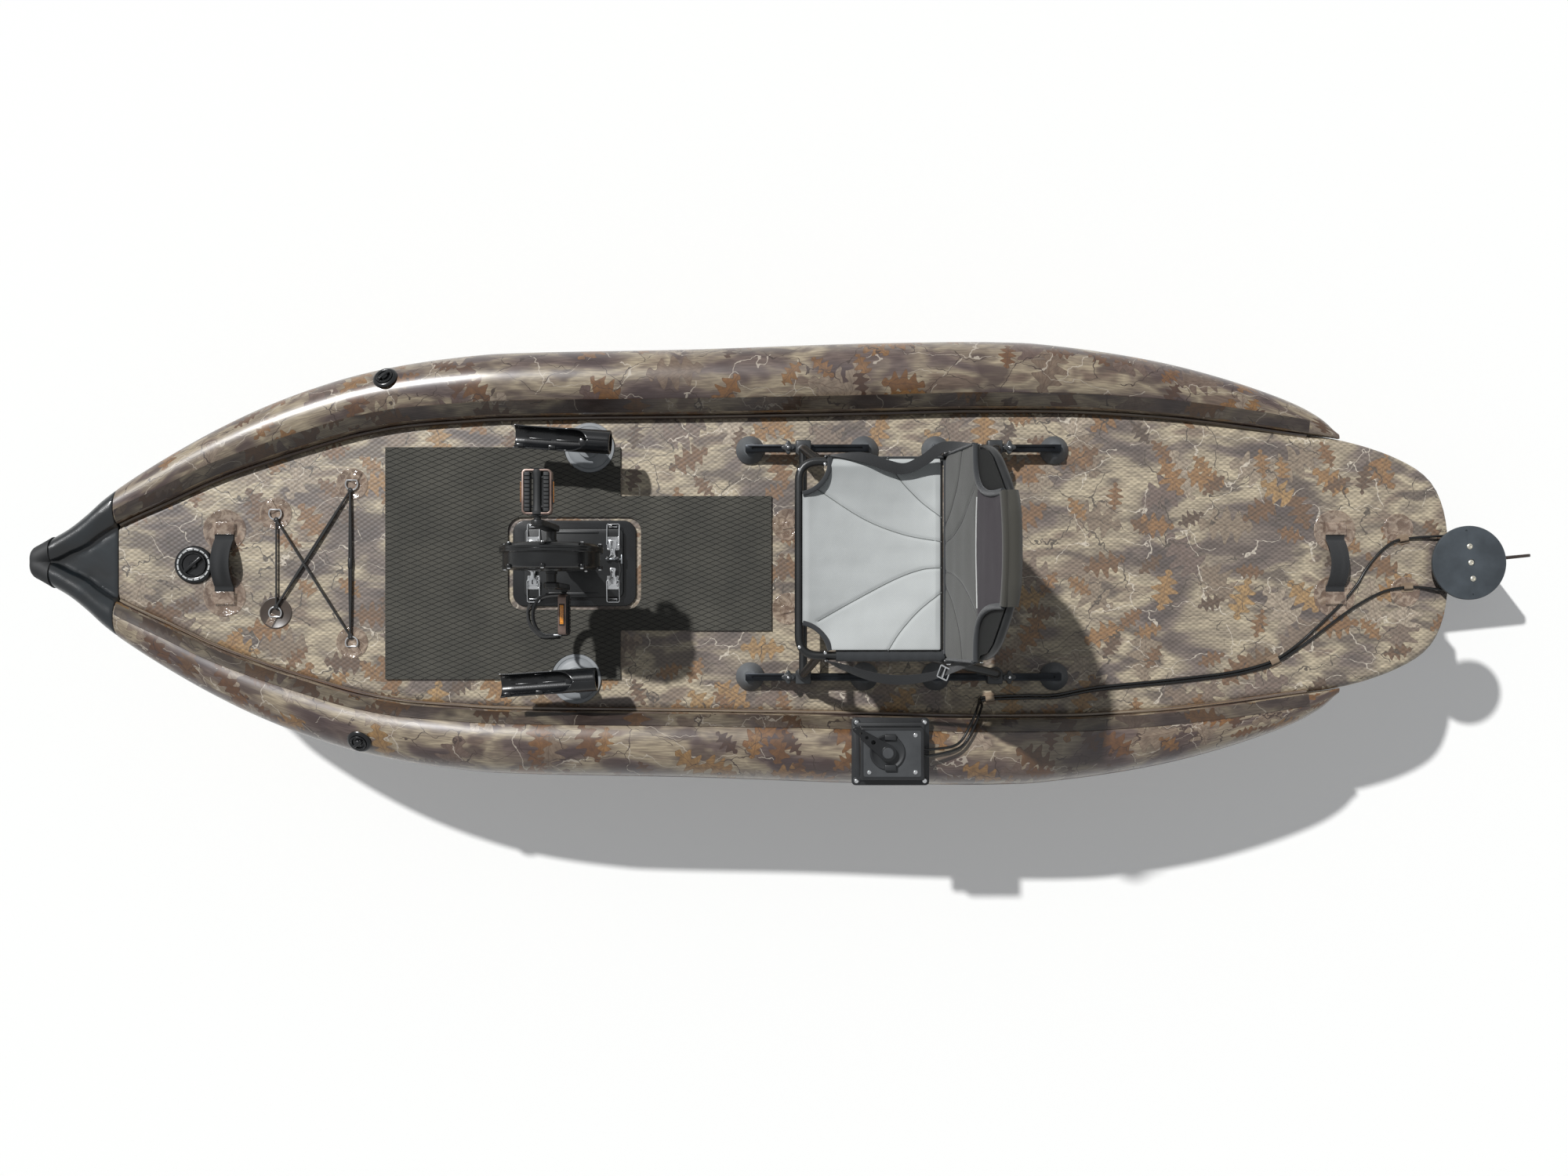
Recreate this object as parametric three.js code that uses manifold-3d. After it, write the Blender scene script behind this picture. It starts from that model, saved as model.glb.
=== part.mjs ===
// Inflatable pedal kayak for fishing: a drop-stitch floor between two side tubes, a pedal drive
// that lifts out of a well, a folding seat on slotted rails, two rod holders and a cable rudder.
// Millimetres. +X points to the bow, +Y to port and +Z up. The origin is the middle of the flat bottom.

import * as THREE from 'three';
import { mergeVertices } from 'three/addons/utils/BufferGeometryUtils.js';
import Module from 'manifold-3d';

const wasm = await Module();
wasm.setup();

// Clearances shared by all pieces
const seatGap = 0.3;
const runningGap = 0.5;
const overrun = 3;
const sink = 0.6;
const patchSink = 3;
const nearHalf = 0.45;
const weldDistance = 0.001;

// Hull
const hull = {
  length: 3400,
  beam: 1064,
  floorThickness: 150,
  floorEdgeRadius: 22,
  tubeRadius: 83,
  tubeDrop: 10,
  glueFlat: 8,
  bowRise: 60,
  keelRise: 165,
  capJoint: 0.3,
  tubeSides: 14,
};
const riseStartShare = 0.5;
const capStartShare = 0.8665;
const tubeEndShare = -0.848;
const keelPower = 2.5;
// Columns: place along the half length, deck edge and outer edge as shares of the half beam,
// and the height of the tube as a share of its radius.
const hullShares = [
  [-1, 0.132, 0.132, 0],
  [-0.9965, 0.226, 0.226, 0],
  [-0.991, 0.295, 0.295, 0],
  [-0.981, 0.363, 0.363, 0],
  [-0.965, 0.417, 0.417, 0],
  [-0.941, 0.464, 0.464, 0],
  [-0.903, 0.515, 0.515, 0],
  [-0.848, 0.563, 0.585, 0.06],
  [-0.825, 0.575, 0.648, 0.2],
  [-0.792, 0.587, 0.709, 0.37],
  [-0.726, 0.617, 0.791, 0.55],
  [-0.659, 0.645, 0.857, 0.67],
  [-0.594, 0.667, 0.908, 0.77],
  [-0.527, 0.682, 0.947, 0.855],
  [-0.461, 0.692, 0.976, 0.915],
  [-0.394, 0.694, 0.996, 0.96],
  [-0.328, 0.694, 1, 0.988],
  [-0.195, 0.684, 0.994, 1],
  [0.07, 0.669, 0.966, 0.964],
  [0.336, 0.658, 0.947, 0.94],
  [0.402, 0.645, 0.928, 0.904],
  [0.468, 0.628, 0.898, 0.867],
  [0.535, 0.59, 0.853, 0.843],
  [0.601, 0.53, 0.789, 0.795],
  [0.667, 0.461, 0.707, 0.735],
  [0.734, 0.38, 0.602, 0.65],
  [0.8, 0.278, 0.479, 0.554],
  [0.8665, 0.173, 0.335, 0.458],
  [0.8855, 0.135, 0.286, 0.45],
  [0.9074, 0.08, 0.218, 0.434],
  [0.9301, 0.045, 0.156, 0.41],
  [0.952, 0.025, 0.111, 0.386],
  [0.9706, 0.014, 0.074, 0.36],
  [0.9769, 0.01, 0.062, 0.3],
  [0.979, 0.006, 0.04, 0.17],
];

// Pedal drive. Heights are above the hull's bottom.
const drive = {
  placeShare: 0.233,
  trunkLength: 200,
  trunkWidth: 130,
  trunkWall: 4,
  frameLength: 295,
  frameWidth: 205,
  frameThickness: 6,
  frameCorner: 30,
  plateLength: 237,
  plateWidth: 165,
  plateThickness: 12,
  plateCorner: 14,
  rimDepth: 30,
  rimWall: 5,
  axleHeight: 450,
  caseRadius: 104,
  flangeRadius: 111,
  caseHalfWidth: 27.5,
  caseWall: 4,
  flangeThickness: 6,
  flangeOffset: 14,
  neckLength: 66,
  neckWidth: 44,
  neckDrop: 22,
  legLength: 62,
  legWidth: 36,
  legBottom: -182,
  propAxisHeight: -215,
  unitRadius: 27,
  unitFront: 84,
  unitBack: 58,
  noseLength: 40,
};
const crank = {
  axleRadius: 7.5,
  axleHalfLength: 66,
  armLength: 155,
  armWidth: 26,
  armInner: 55,
  armThickness: 13,
  hubRadius: 17,
  eyeRadius: 13,
  spindleRadius: 5.5,
  spindleReach: 166,
};
const pedal = {
  inner: 78,
  width: 92,
  depth: 61,
  thickness: 18,
  cageWall: 3.5,
  barrelRadius: 10.5,
  blockDepth: 15,
  blockThickness: 22,
  reflectorHeight: 9,
  reflectorWidth: 44,
  strapReach: 72,
  strapWidth: 24,
  strapThickness: 2.4,
  strapStartShare: 0.45,
  strapSide: 7,
};
const gears = {
  crownTeeth: 32,
  pinionTeeth: 8,
  lowerCrownTeeth: 12,
  lowerPinionTeeth: 6,
  crownRadius: 60,
  lowerCrownRadius: 16,
  toothHeight: 3.5,
  toothFace: 12,
  lowerToothFace: 6,
  engagement: 1.5,
  plateThickness: 5,
  lowerPlateThickness: 3,
  toothFill: 0.34,
  pinionFill: 0.78,
  shaftRadius: 6,
  shaftTop: 12,
  propShaftRadius: 5,
};
const propeller = {
  radius: 120,
  hubRadius: 20,
  hubLength: 34,
  coneLength: 14,
  bladeChord: 46,
  bladeThickness: 5,
  rootPitch: 58,
  tipPitch: 28,
};
const latch = {
  alongShare: 0.4,
  side: 50,
  baseBack: 20,
  baseFront: 13,
  baseWidth: 30,
  baseThickness: 2,
  earX: 10,
  earWall: 1.5,
  earReach: 5,
  pivotOut: 2,
  pivotHeight: 7,
  pinRadius: 1.8,
  pinSides: 6,
  leverLength: 40,
  leverTail: 2,
  leverHalfWidth: 9,
  leverWall: 1.5,
  leverTop: 10.5,
  leverBottom: 4.2,
  leverFlange: 18,
  bailBack: 8,
  bailHeight: 9,
  bailHalfWidth: 14.5,
  bailRadius: 1.4,
  bailReach: 43,
  bailLow: 1.6,
  catchWidth: 20,
  catchThickness: 5,
  catchHeight: 16,
};

// Foam deck pad
const pad = {
  thickness: 6,
  ringGap: 80.8,
  stepBack: 110,
  tongueBack: 472,
  frontShare: 0.52256,
  tongueHalfWidth: 161,
  cutLength: 319,
  cutWidth: 222,
  cutCorner: 34,
};

// Seat. Heights are above the deck.
const seat = {
  placeShare: -0.0818,
  depth: 319,
  height: 230,
  tubeRadius: 9.5,
  bend: 45,
  slingThickness: 7,
  slingSag: 22,
  sagPower: 0.6,
  slingRows: 12,
  cornerCut: 72,
  channelDepth: 2.2,
  channelWidth: 9,
  legSpread: 46,
  frontLeg: 12,
  rearLeg: 463,
  braceHeight: 96,
  backHeight: 372,
  backStart: 30,
  pivotRise: 21,
  pinRadius: 4,
  backLean: 12,
  backInset: 3,
  backCorner: 150,
  backThickness: 12,
  backCutWidth: 98,
  backCutHeight: 120,
};
const rail = {
  sideShare: 0.5094,
  seatGap: 46,
  frontLength: 273,
  frontOffset: -22,
  rearLength: 284,
  rearOffset: -472,
  width: 18,
  thickness: 12,
  slotWidth: 7,
  slotDepth: 5,
  footRadius: 34,
  footRim: 5,
  footHeight: 28,
  footTop: 15,
  overhang: 10,
  clampLength: 32,
  clampWidth: 30,
  clampHeight: 30,
  cheekDrop: 9,
  cheekGap: 0.5,
  tongueLength: 46,
  tongueThickness: 5,
  knobOffset: 35,
  knobRadius: 9,
  knobHeight: 15,
  lobeRadius: 4.5,
  lobeCount: 4,
};

// Rod holders
const rod = {
  placePort: -4,
  placeStarboard: -36,
  sideShare: 0.52068,
  baseRadius: 57,
  baseHeight: 12,
  bossRadius: 26,
  bossHeight: 24,
  postRadius: 16,
  postHeight: 34,
  forkWidth: 30,
  forkWall: 6,
  forkReach: 15,
  pivotHeight: 82,
  trayForward: 158,
  trayBack: 67,
  ringLength: 54,
  trayRadius: 25,
  trayWall: 4,
  lugWidth: 17,
  yaw: 4,
};

// Rudder and steering
const rudder = {
  behind: 34,
  drumRadius: 62,
  drumHeight: 12,
  discRadius: 88,
  discThickness: 8,
  drumLift: 12,
  pinRadius: 10,
  sleeveRadius: 18,
  sleeveBottom: 34,
  lugWidth: 56,
  plateThickness: 6,
  plateHeight: 104,
  plateWidth: 108,
  yokeHeight: 44,
  yokeWidth: 40,
  yokeBack: 46,
  yokeFront: 18,
  slotWidth: 9,
  pivotBack: 26,
  pivotHeight: 6,
  pivotRadius: 5,
  bladeThickness: 8,
  bladeTop: 14,
  bladeChord: 285,
  bladeDepth: 330,
  bladeRake: 16,
  frontRake: 91,
  neckWidth: 30,
  neckHeight: 76,
  angle: 6,
};
const steering = {
  placeShare: -0.2085,
  flangeLength: 181,
  flangeWidth: 158,
  flangeThickness: 5,
  caseLength: 146,
  caseWidth: 120,
  caseHeight: 46,
  wall: 4,
  lidThickness: 5,
  saddleDepth: 40,
  tubeClearance: 4,
  dialRadius: 40,
  dialHeight: 6,
  hubRadius: 16,
  hubHeight: 14,
  leverLength: 92,
  leverWidth: 20,
  leverThickness: 6,
  leverAngle: -36,
  holeRadius: 3.5,
  holeCount: 4,
  dialForward: -11,
  dialSide: -3,
  shaftRadius: 7,
  hornLength: 40,
  hornThickness: 6,
  hornDepth: 24,
  screwInset: 9,
  cableHole: 5,
};
const cable = {
  radius: 2.5,
  spacing: 7,
  lift: 2.8,
  patchLift: 4.8,
  clipLift: 5.2,
  edgeLift: 11,
  drumLift: 18,
  boxHeight: 24,
  straight: 22,
  sides: 5,
  bend: 13,
};
const clip = {
  length: 34,
  width: 27,
  base: 1.8,
  bridgeHeight: 9.5,
  bridgeWidth: 16,
  bridgeLength: 14,
  wall: 2,
  runShare: 0.62,
};
// Cable clips: shares of the half length and of the half beam, and the turn on the deck
const clipShares = [
  [-0.35235, 0.60902, 6],
  [-0.75353, 0.43985, 26],
  [-0.93588, -0.10714, 10],
  [-0.94176, 0.10902, 3],
];
// The steering cables between the clips: the same shares, and the height over the deck
const cableShares = {
  fromBox: [
    [-0.30235, 0.80451, 90],
    [-0.32294, 0.71053, 74],
    [-0.33706, 0.63534, 26],
  ],
  alongDeck: [
    [-0.40588, 0.6015, cable.lift],
    [-0.44706, 0.59774, cable.lift],
    [-0.50588, 0.56391, cable.lift],
    [-0.61529, 0.5282, cable.lift],
    [-0.69412, 0.49624, cable.lift],
  ],
  toStarboard: [
    [-0.78824, 0.3609, cable.lift],
    [-0.80882, 0.30075, cable.patchLift],
    [-0.82941, 0.23872, cable.patchLift],
    [-0.85, 0.17293, cable.patchLift],
    [-0.86941, 0.09774, cable.patchLift],
    [-0.88412, 0.02256, cable.lift],
    [-0.90471, -0.05639, cable.lift],
  ],
  toPort: [
    [-0.79118, 0.37594, cable.lift],
    [-0.81294, 0.32331, cable.patchLift],
    [-0.84118, 0.25376, cable.patchLift],
    [-0.87059, 0.18797, cable.patchLift],
    [-0.90412, 0.13158, cable.lift],
  ],
  starboardEdge: [
    [-0.97647, -0.1203, cable.edgeLift],
  ],
  portEdge: [
    [-0.97941, 0.11654, cable.edgeLift],
  ],
};

// Deck fittings
const valve = {
  deckShare: 0.765,
  deckSide: 4,
  deckRadius: 45,
  capRadius: 30,
  tubeRadius: 29,
  tubeCapRadius: 19,
  starboardShare: 0.491,
  portShare: 0.527,
  tubeTilt: 32,
  height: 7,
  skirt: 9,
  capHeight: 10,
  gripWidth: 8,
  gripHeight: 6,
};
const handle = {
  bowShare: 0.724,
  sternShare: -0.8394,
  width: 44,
  thickness: 4,
  span: 112,
  rise: 32,
  tab: 22,
  patchSide: 78,
  patchRadius: 50,
  patchThickness: 1.6,
};
const ring = {
  frontShare: 0.6535,
  rearShare: 0.547,
  frontSide: 119,
  rearSide: 190,
  patchRadius: 38,
  patchThickness: 1.6,
  wireRadius: 2,
  size: 15,
  lift: 4,
};
const cord = { radius: 2.5, sides: 5, steps: 4, crossing: 6, loop: 4, knotShare: 1.7 };

const halfLength = hull.length / 2;
const halfBeam = hull.beam / 2;
const deck = hull.floorThickness;
const railSide = rail.sideShare * halfBeam;
const seatHalfWidth = railSide - rail.seatGap;
const backHalfWidth = seatHalfWidth - seat.backInset;

// Helpers

function solidOf(geometry) {
  const bare = geometry.clone();
  bare.deleteAttribute('normal');
  bare.deleteAttribute('uv');
  const merged = mergeVertices(bare, weldDistance);
  const mesh = new wasm.Mesh({
    numProp: 3,
    vertProperties: new Float32Array(merged.attributes.position.array),
    triVerts: new Uint32Array(merged.index.array),
  });
  return new wasm.Manifold(mesh);
}

function geometryOf(solid) {
  const mesh = solid.getMesh();
  const geometry = new THREE.BufferGeometry();
  geometry.setAttribute('position', new THREE.BufferAttribute(mesh.vertProperties, 3));
  geometry.setIndex(new THREE.BufferAttribute(mesh.triVerts, 1));
  return geometry;
}

function join(...geometries) {
  return geometryOf(geometries.map(solidOf).reduce((all, next) => all.add(next)));
}

function cut(geometry, ...tools) {
  return geometryOf(tools.map(solidOf).reduce((rest, tool) => rest.subtract(tool), solidOf(geometry)));
}

// A box from its centre in X and Y and its lowest Z
function block(length, width, height, x = 0, y = 0, bottom = 0) {
  return new THREE.BoxGeometry(length, width, height).translate(x, y, bottom + height / 2);
}

// A round bar along one axis, from one end to the other
function bar(axis, radius, from, to, centre, sides = 14) {
  const low = Math.min(from, to);
  const high = Math.max(from, to);
  const geometry = new THREE.CylinderGeometry(radius, radius, high - low, sides);
  const middle = (low + high) / 2;
  if (axis === 'x') return geometry.rotateZ(-Math.PI / 2).translate(middle, centre[0], centre[1]);
  if (axis === 'y') return geometry.translate(centre[0], middle, centre[1]);
  return geometry.rotateX(Math.PI / 2).translate(centre[0], centre[1], middle);
}

// A plate with rounded corners, from its centre and lowest Z
function plate(length, width, height, corner, bottom = 0, corners = 4) {
  return extrude(roundedOutline(length, width, corner), height, bottom, corners);
}

function roundedOutline(length, width, corner, Kind = THREE.Shape) {
  const x = length / 2;
  const y = width / 2;
  const outline = new Kind();
  outline.moveTo(-x + corner, -y);
  outline.lineTo(x - corner, -y);
  outline.absarc(x - corner, -y + corner, corner, -Math.PI / 2, 0);
  outline.lineTo(x, y - corner);
  outline.absarc(x - corner, y - corner, corner, 0, Math.PI / 2);
  outline.lineTo(-x + corner, y);
  outline.absarc(-x + corner, y - corner, corner, Math.PI / 2, Math.PI);
  outline.lineTo(-x, -y + corner);
  outline.absarc(-x + corner, -y + corner, corner, Math.PI, Math.PI * 1.5);
  return outline;
}

function extrude(shape, height, bottom = 0, curveSegments = 6) {
  const options = { depth: height, bevelEnabled: false, curveSegments };
  return new THREE.ExtrudeGeometry(shape, options).translate(0, 0, bottom);
}

// A closed skin through rings of equally many points
function loft(rings) {
  const count = rings[0].length;
  const positions = rings.flat(2);
  const faces = [];
  for (let row = 0; row < rings.length - 1; row += 1) {
    for (let i = 0; i < count; i += 1) {
      const a = row * count + i;
      const b = row * count + (i + 1) % count;
      faces.push(a, b, b + count, a, b + count, a + count);
    }
  }
  [0, rings.length - 1].forEach((row, end) => {
    const centre = positions.length / 3;
    for (let axis = 0; axis < 3; axis += 1) {
      positions.push(rings[row].reduce((sum, point) => sum + point[axis], 0) / count);
    }
    for (let i = 0; i < count; i += 1) {
      const a = row * count + i;
      const b = row * count + (i + 1) % count;
      faces.push(...(end === 0 ? [b, a, centre] : [a, b, centre]));
    }
  });
  return outward(positions, faces);
}

function outward(positions, faces) {
  let volume = 0;
  const corner = (i) => new THREE.Vector3(positions[3 * i], positions[3 * i + 1], positions[3 * i + 2]);
  for (let i = 0; i < faces.length; i += 3) {
    volume += corner(faces[i]).dot(corner(faces[i + 1]).cross(corner(faces[i + 2])));
  }
  const order = volume < 0 ? faces.map((_, i) => faces[i - (i % 3) + [0, 2, 1][i % 3]]) : faces;
  const geometry = new THREE.BufferGeometry();
  geometry.setAttribute('position', new THREE.Float32BufferAttribute(positions, 3));
  geometry.setIndex(order);
  return geometry;
}

// A tube of round section along a list of points
function tubeAlong(points, radius, sides, steps, tension = 0.5) {
  const vectors = points.map((point) => new THREE.Vector3(...point));
  const path = vectors.length === 2
    ? new THREE.LineCurve3(...vectors)
    : new THREE.CatmullRomCurve3(vectors, false, 'centripetal', tension);
  return sweep(path, radius, sides, steps);
}

function sweep(path, radius, sides, steps) {
  const section = new THREE.Shape();
  for (let i = 0; i < sides; i += 1) {
    const angle = (2 * Math.PI * i) / sides;
    const point = [radius * Math.cos(angle), radius * Math.sin(angle)];
    if (i === 0) section.moveTo(...point);
    else section.lineTo(...point);
  }
  section.closePath();
  return new THREE.ExtrudeGeometry(section, { steps, extrudePath: path, bevelEnabled: false });
}

// A path of straight runs with rounded bends
function bentPath(points, bend, arcSteps = 4) {
  const vectors = points.map((point) => new THREE.Vector3(...point));
  const out = [vectors[0]];
  for (let i = 1; i < vectors.length - 1; i += 1) {
    const toBack = vectors[i - 1].clone().sub(vectors[i]);
    const toAhead = vectors[i + 1].clone().sub(vectors[i]);
    const back = toBack.setLength(Math.min(bend, toBack.length() * nearHalf)).add(vectors[i]);
    const ahead = toAhead.setLength(Math.min(bend, toAhead.length() * nearHalf)).add(vectors[i]);
    const arc = new THREE.QuadraticBezierCurve3(back, vectors[i], ahead);
    out.push(...arc.getPoints(arcSteps));
  }
  out.push(vectors[vectors.length - 1]);
  return out;
}

// A round tube through the points of a bent path, with mitred joints
function bentTube(points, radius, bend, sides = 10, arcSteps = 4) {
  const path = bentPath(points, bend, arcSteps);
  const rings = [];
  let side = null;
  path.forEach((point, i) => {
    const before = path[Math.max(i - 1, 0)];
    const after = path[Math.min(i + 1, path.length - 1)];
    const ahead = after.clone().sub(before).normalize();
    if (!side) {
      side = new THREE.Vector3(0, 0, 1);
      if (Math.abs(ahead.z) > 0.9) side.set(1, 0, 0);
    }
    side = side.clone().sub(ahead.clone().multiplyScalar(side.dot(ahead))).normalize();
    const other = ahead.clone().cross(side);
    const ringPoints = [];
    for (let k = 0; k < sides; k += 1) {
      const angle = (2 * Math.PI * k) / sides;
      const place = point.clone()
        .add(side.clone().multiplyScalar(radius * Math.cos(angle)))
        .add(other.clone().multiplyScalar(radius * Math.sin(angle)));
      ringPoints.push(place.toArray());
    }
    rings.push(ringPoints);
  });
  return loft(rings);
}

// A body of revolution about Z, from pairs of radius and height
function turned(pairs, sides = 24) {
  const points = pairs.map(([radius, height]) => new THREE.Vector2(radius, height));
  return new THREE.LatheGeometry(points, sides).rotateX(Math.PI / 2);
}

// The same piece on the other side of the boat
function flipped(geometry) {
  const copy = mergeVertices(bareCopy(geometry), weldDistance);
  const positions = Array.from(copy.attributes.position.array);
  for (let i = 1; i < positions.length; i += 3) positions[i] = -positions[i];
  return outward(positions, Array.from(copy.index.array));
}

function bareCopy(geometry) {
  const copy = geometry.clone();
  copy.deleteAttribute('normal');
  copy.deleteAttribute('uv');
  return copy;
}

function moved(geometry, x, y, z) {
  return geometry.clone().translate(x, y, z);
}

const model = new THREE.Group();

function add(parent, name, geometry, finish) {
  const mesh = new THREE.Mesh(geometry, new THREE.MeshStandardMaterial(finish));
  mesh.name = name;
  parent.add(mesh);
  return mesh;
}

function groupAt(parent, x, y, z) {
  const group = new THREE.Group();
  group.position.set(x, y, z);
  parent.add(group);
  return group;
}

// Finishes
const camoCloth = { color: 0x8f7f66, roughness: 0.55, metalness: 0 };
const blackVinyl = { color: 0x17191a, roughness: 0.3, metalness: 0 };
const foam = { color: 0x4a4945, roughness: 0.95, metalness: 0 };
const blackPlastic = { color: 0x1b1c1e, roughness: 0.45, metalness: 0 };
const greyPlastic = { color: 0x7f8488, roughness: 0.5, metalness: 0 };
const blackMetal = { color: 0x202224, roughness: 0.4, metalness: 0.6 };
const steel = { color: 0xc9cbcd, roughness: 0.25, metalness: 1 };
const aluminium = { color: 0x2a2b2d, roughness: 0.35, metalness: 0.8 };
const webbing = { color: 0x24272a, roughness: 0.85, metalness: 0 };
const paleMesh = { color: 0xc4c8c6, roughness: 0.8, metalness: 0 };
const darkMesh = { color: 0x5e5e5c, roughness: 0.85, metalness: 0 };
const slate = { color: 0x3f454a, roughness: 0.5, metalness: 0.2 };
const gearSteel = { color: 0x8d9093, roughness: 0.4, metalness: 1 };

// Hull

const rows = hullShares.map(([place, deckEdge, outerEdge, tubeShare]) => ({
  place,
  x: place * halfLength,
  deckEdge: deckEdge * halfBeam,
  outerEdge: outerEdge * halfBeam,
  tubeHeight: tubeShare * hull.tubeRadius,
}));

function between(key, x) {
  let i = 0;
  while (i < rows.length - 2 && x > rows[i + 1].x) i += 1;
  const share = (x - rows[i].x) / (rows[i + 1].x - rows[i].x);
  return rows[i][key] + share * (rows[i + 1][key] - rows[i][key]);
}

function risen(x) {
  return Math.max(0, x / halfLength - riseStartShare) / (1 - riseStartShare);
}

function deckHeight(x) {
  return deck + hull.bowRise * risen(x) ** 2;
}

function deckTilt(x) {
  return -Math.atan((2 * hull.bowRise * risen(x)) / (halfLength * (1 - riseStartShare)));
}

function keelHeight(x) {
  return hull.keelRise * risen(x) ** keelPower;
}

function floorRing(row) {
  const top = deckHeight(row.x);
  const bottom = keelHeight(row.x);
  const radius = Math.min(hull.floorEdgeRadius, row.deckEdge / 2, (top - bottom) / 3);
  const corners = [
    [row.deckEdge - radius, bottom + radius, -90],
    [row.deckEdge - radius, top - radius, 0],
    [-row.deckEdge + radius, top - radius, 90],
    [-row.deckEdge + radius, bottom + radius, 180],
  ];
  const points = [];
  corners.forEach(([y, z, start]) => {
    for (let step = 0; step <= 2; step += 1) {
      const angle = THREE.MathUtils.degToRad(start + step * 45);
      points.push([row.x, y + radius * Math.cos(angle), z + radius * Math.sin(angle)]);
    }
  });
  return points;
}

function tubeMiddle(row) {
  const halfWidth = (row.outerEdge - row.deckEdge + hull.glueFlat) / 2;
  return { y: row.outerEdge - halfWidth, z: deckHeight(row.x) - hull.tubeDrop, halfWidth };
}

function tubeRing(row, side, isNose) {
  const middle = tubeMiddle(row);
  if (isNose) {
    middle.halfWidth = Math.max(middle.halfWidth, row.tubeHeight);
    middle.y = row.outerEdge - middle.halfWidth;
  }
  const points = [];
  for (let i = 0; i < hull.tubeSides; i += 1) {
    const angle = (2 * Math.PI * i) / hull.tubeSides;
    let y = middle.y + middle.halfWidth * Math.cos(angle);
    if (!isNose) y = Math.max(y, row.deckEdge + seatGap);
    points.push([row.x, side * y, middle.z + row.tubeHeight * Math.sin(angle)]);
  }
  return points;
}

function buildHull() {
  const floorRows = rows.filter((row) => row.place <= capStartShare);
  const tubeRows = floorRows.filter((row) => row.place >= tubeEndShare);
  const noseRows = rows.filter((row) => row.place >= capStartShare);
  const capRows = noseRows.map((row, i) => (i === 0 ? { ...row, x: row.x + hull.capJoint } : row));
  const driveX = drive.placeShare * halfLength;
  const well = block(
    drive.trunkLength + 2 * (drive.trunkWall + seatGap),
    drive.trunkWidth + 2 * (drive.trunkWall + seatGap),
    deck + 2 * overrun,
    driveX,
    0,
    -overrun,
  );
  const floor = join(loft(floorRows.map(floorRing)), ...weldedPatches());
  add(model, 'drop_stitch_floor', cut(floor, well), camoCloth);
  add(model, 'side_tube_port', loft(tubeRows.map((row) => tubeRing(row, 1, false))), camoCloth);
  add(model, 'side_tube_starboard', loft(tubeRows.map((row) => tubeRing(row, -1, false))), camoCloth);
  const cap = join(
    loft(capRows.map(floorRing)),
    loft(capRows.map((row) => tubeRing(row, 1, true))),
    loft(capRows.map((row) => tubeRing(row, -1, true))),
  );
  add(model, 'bow_cap', cap, blackVinyl);
}

function padOutline(driveX) {
  const front = ring.rearShare * halfLength - pad.ringGap;
  const side = pad.frontShare * halfBeam;
  const step = driveX - pad.stepBack;
  const back = driveX - pad.tongueBack;
  const outline = new THREE.Shape();
  outline.moveTo(front, -side);
  outline.lineTo(front, side);
  outline.lineTo(step, side);
  outline.lineTo(step, pad.tongueHalfWidth);
  outline.lineTo(back, pad.tongueHalfWidth);
  outline.lineTo(back, -pad.tongueHalfWidth);
  outline.lineTo(step, -pad.tongueHalfWidth);
  outline.lineTo(step, -side);
  outline.closePath();
  return outline;
}

function rodPlace(side) {
  const driveX = drive.placeShare * halfLength;
  return { x: driveX + (side > 0 ? rod.placePort : rod.placeStarboard), y: side * rod.sideShare * halfBeam };
}

function buildPad() {
  const driveX = drive.placeShare * halfLength;
  const bottom = deck + seatGap;
  const sheet = extrude(padOutline(driveX), pad.thickness, bottom);
  const windowHeight = pad.thickness + 2 * overrun;
  const window = plate(pad.cutLength, pad.cutWidth, windowHeight, pad.cutCorner, bottom - overrun);
  const bites = [1, -1].map((side) => {
    const place = rodPlace(side);
    const reach = [bottom - overrun, bottom + pad.thickness + overrun];
    return bar('z', rod.baseRadius + 2 * seatGap, ...reach, [place.x, place.y], 20);
  });
  add(model, 'deck_pad', cut(sheet, moved(window, driveX, 0, 0), ...bites), foam);
}

// Patches, clips, handles and rings glued to the deck

function onDeck(geometry, x, y, lift = seatGap) {
  return geometry.clone().rotateY(deckTilt(x)).translate(x, y, deckHeight(x) + lift);
}

const ringPlaces = [
  { x: ring.frontShare * halfLength, y: -ring.frontSide },
  { x: ring.rearShare * halfLength, y: -ring.rearSide },
  { x: ring.frontShare * halfLength, y: ring.frontSide },
  { x: ring.rearShare * halfLength, y: ring.rearSide },
];
const handlePlaces = [handle.bowShare * halfLength, handle.sternShare * halfLength];

// The clips that hold the two steering cables on the deck
const clipPlaces = clipShares.map(([along, side, turn]) => ({
  x: along * halfLength,
  y: side * halfBeam,
  turn,
}));

function clipSolid(turn, lanes) {
  const height = clip.bridgeHeight;
  const width = lanes === 2 ? clip.bridgeWidth + cable.spacing : clip.bridgeWidth;
  const base = block(clip.length, clip.width + (width - clip.bridgeWidth), clip.base);
  const foot = clip.base - clip.wall / 4;
  const bridge = cut(
    block(clip.bridgeLength, width, height, 0, 0, foot),
    block(clip.bridgeLength + 2 * overrun, width - 2 * clip.wall, height - clip.wall, 0, 0, foot),
  );
  return join(base, bridge).rotateZ(THREE.MathUtils.degToRad(turn));
}

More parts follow.
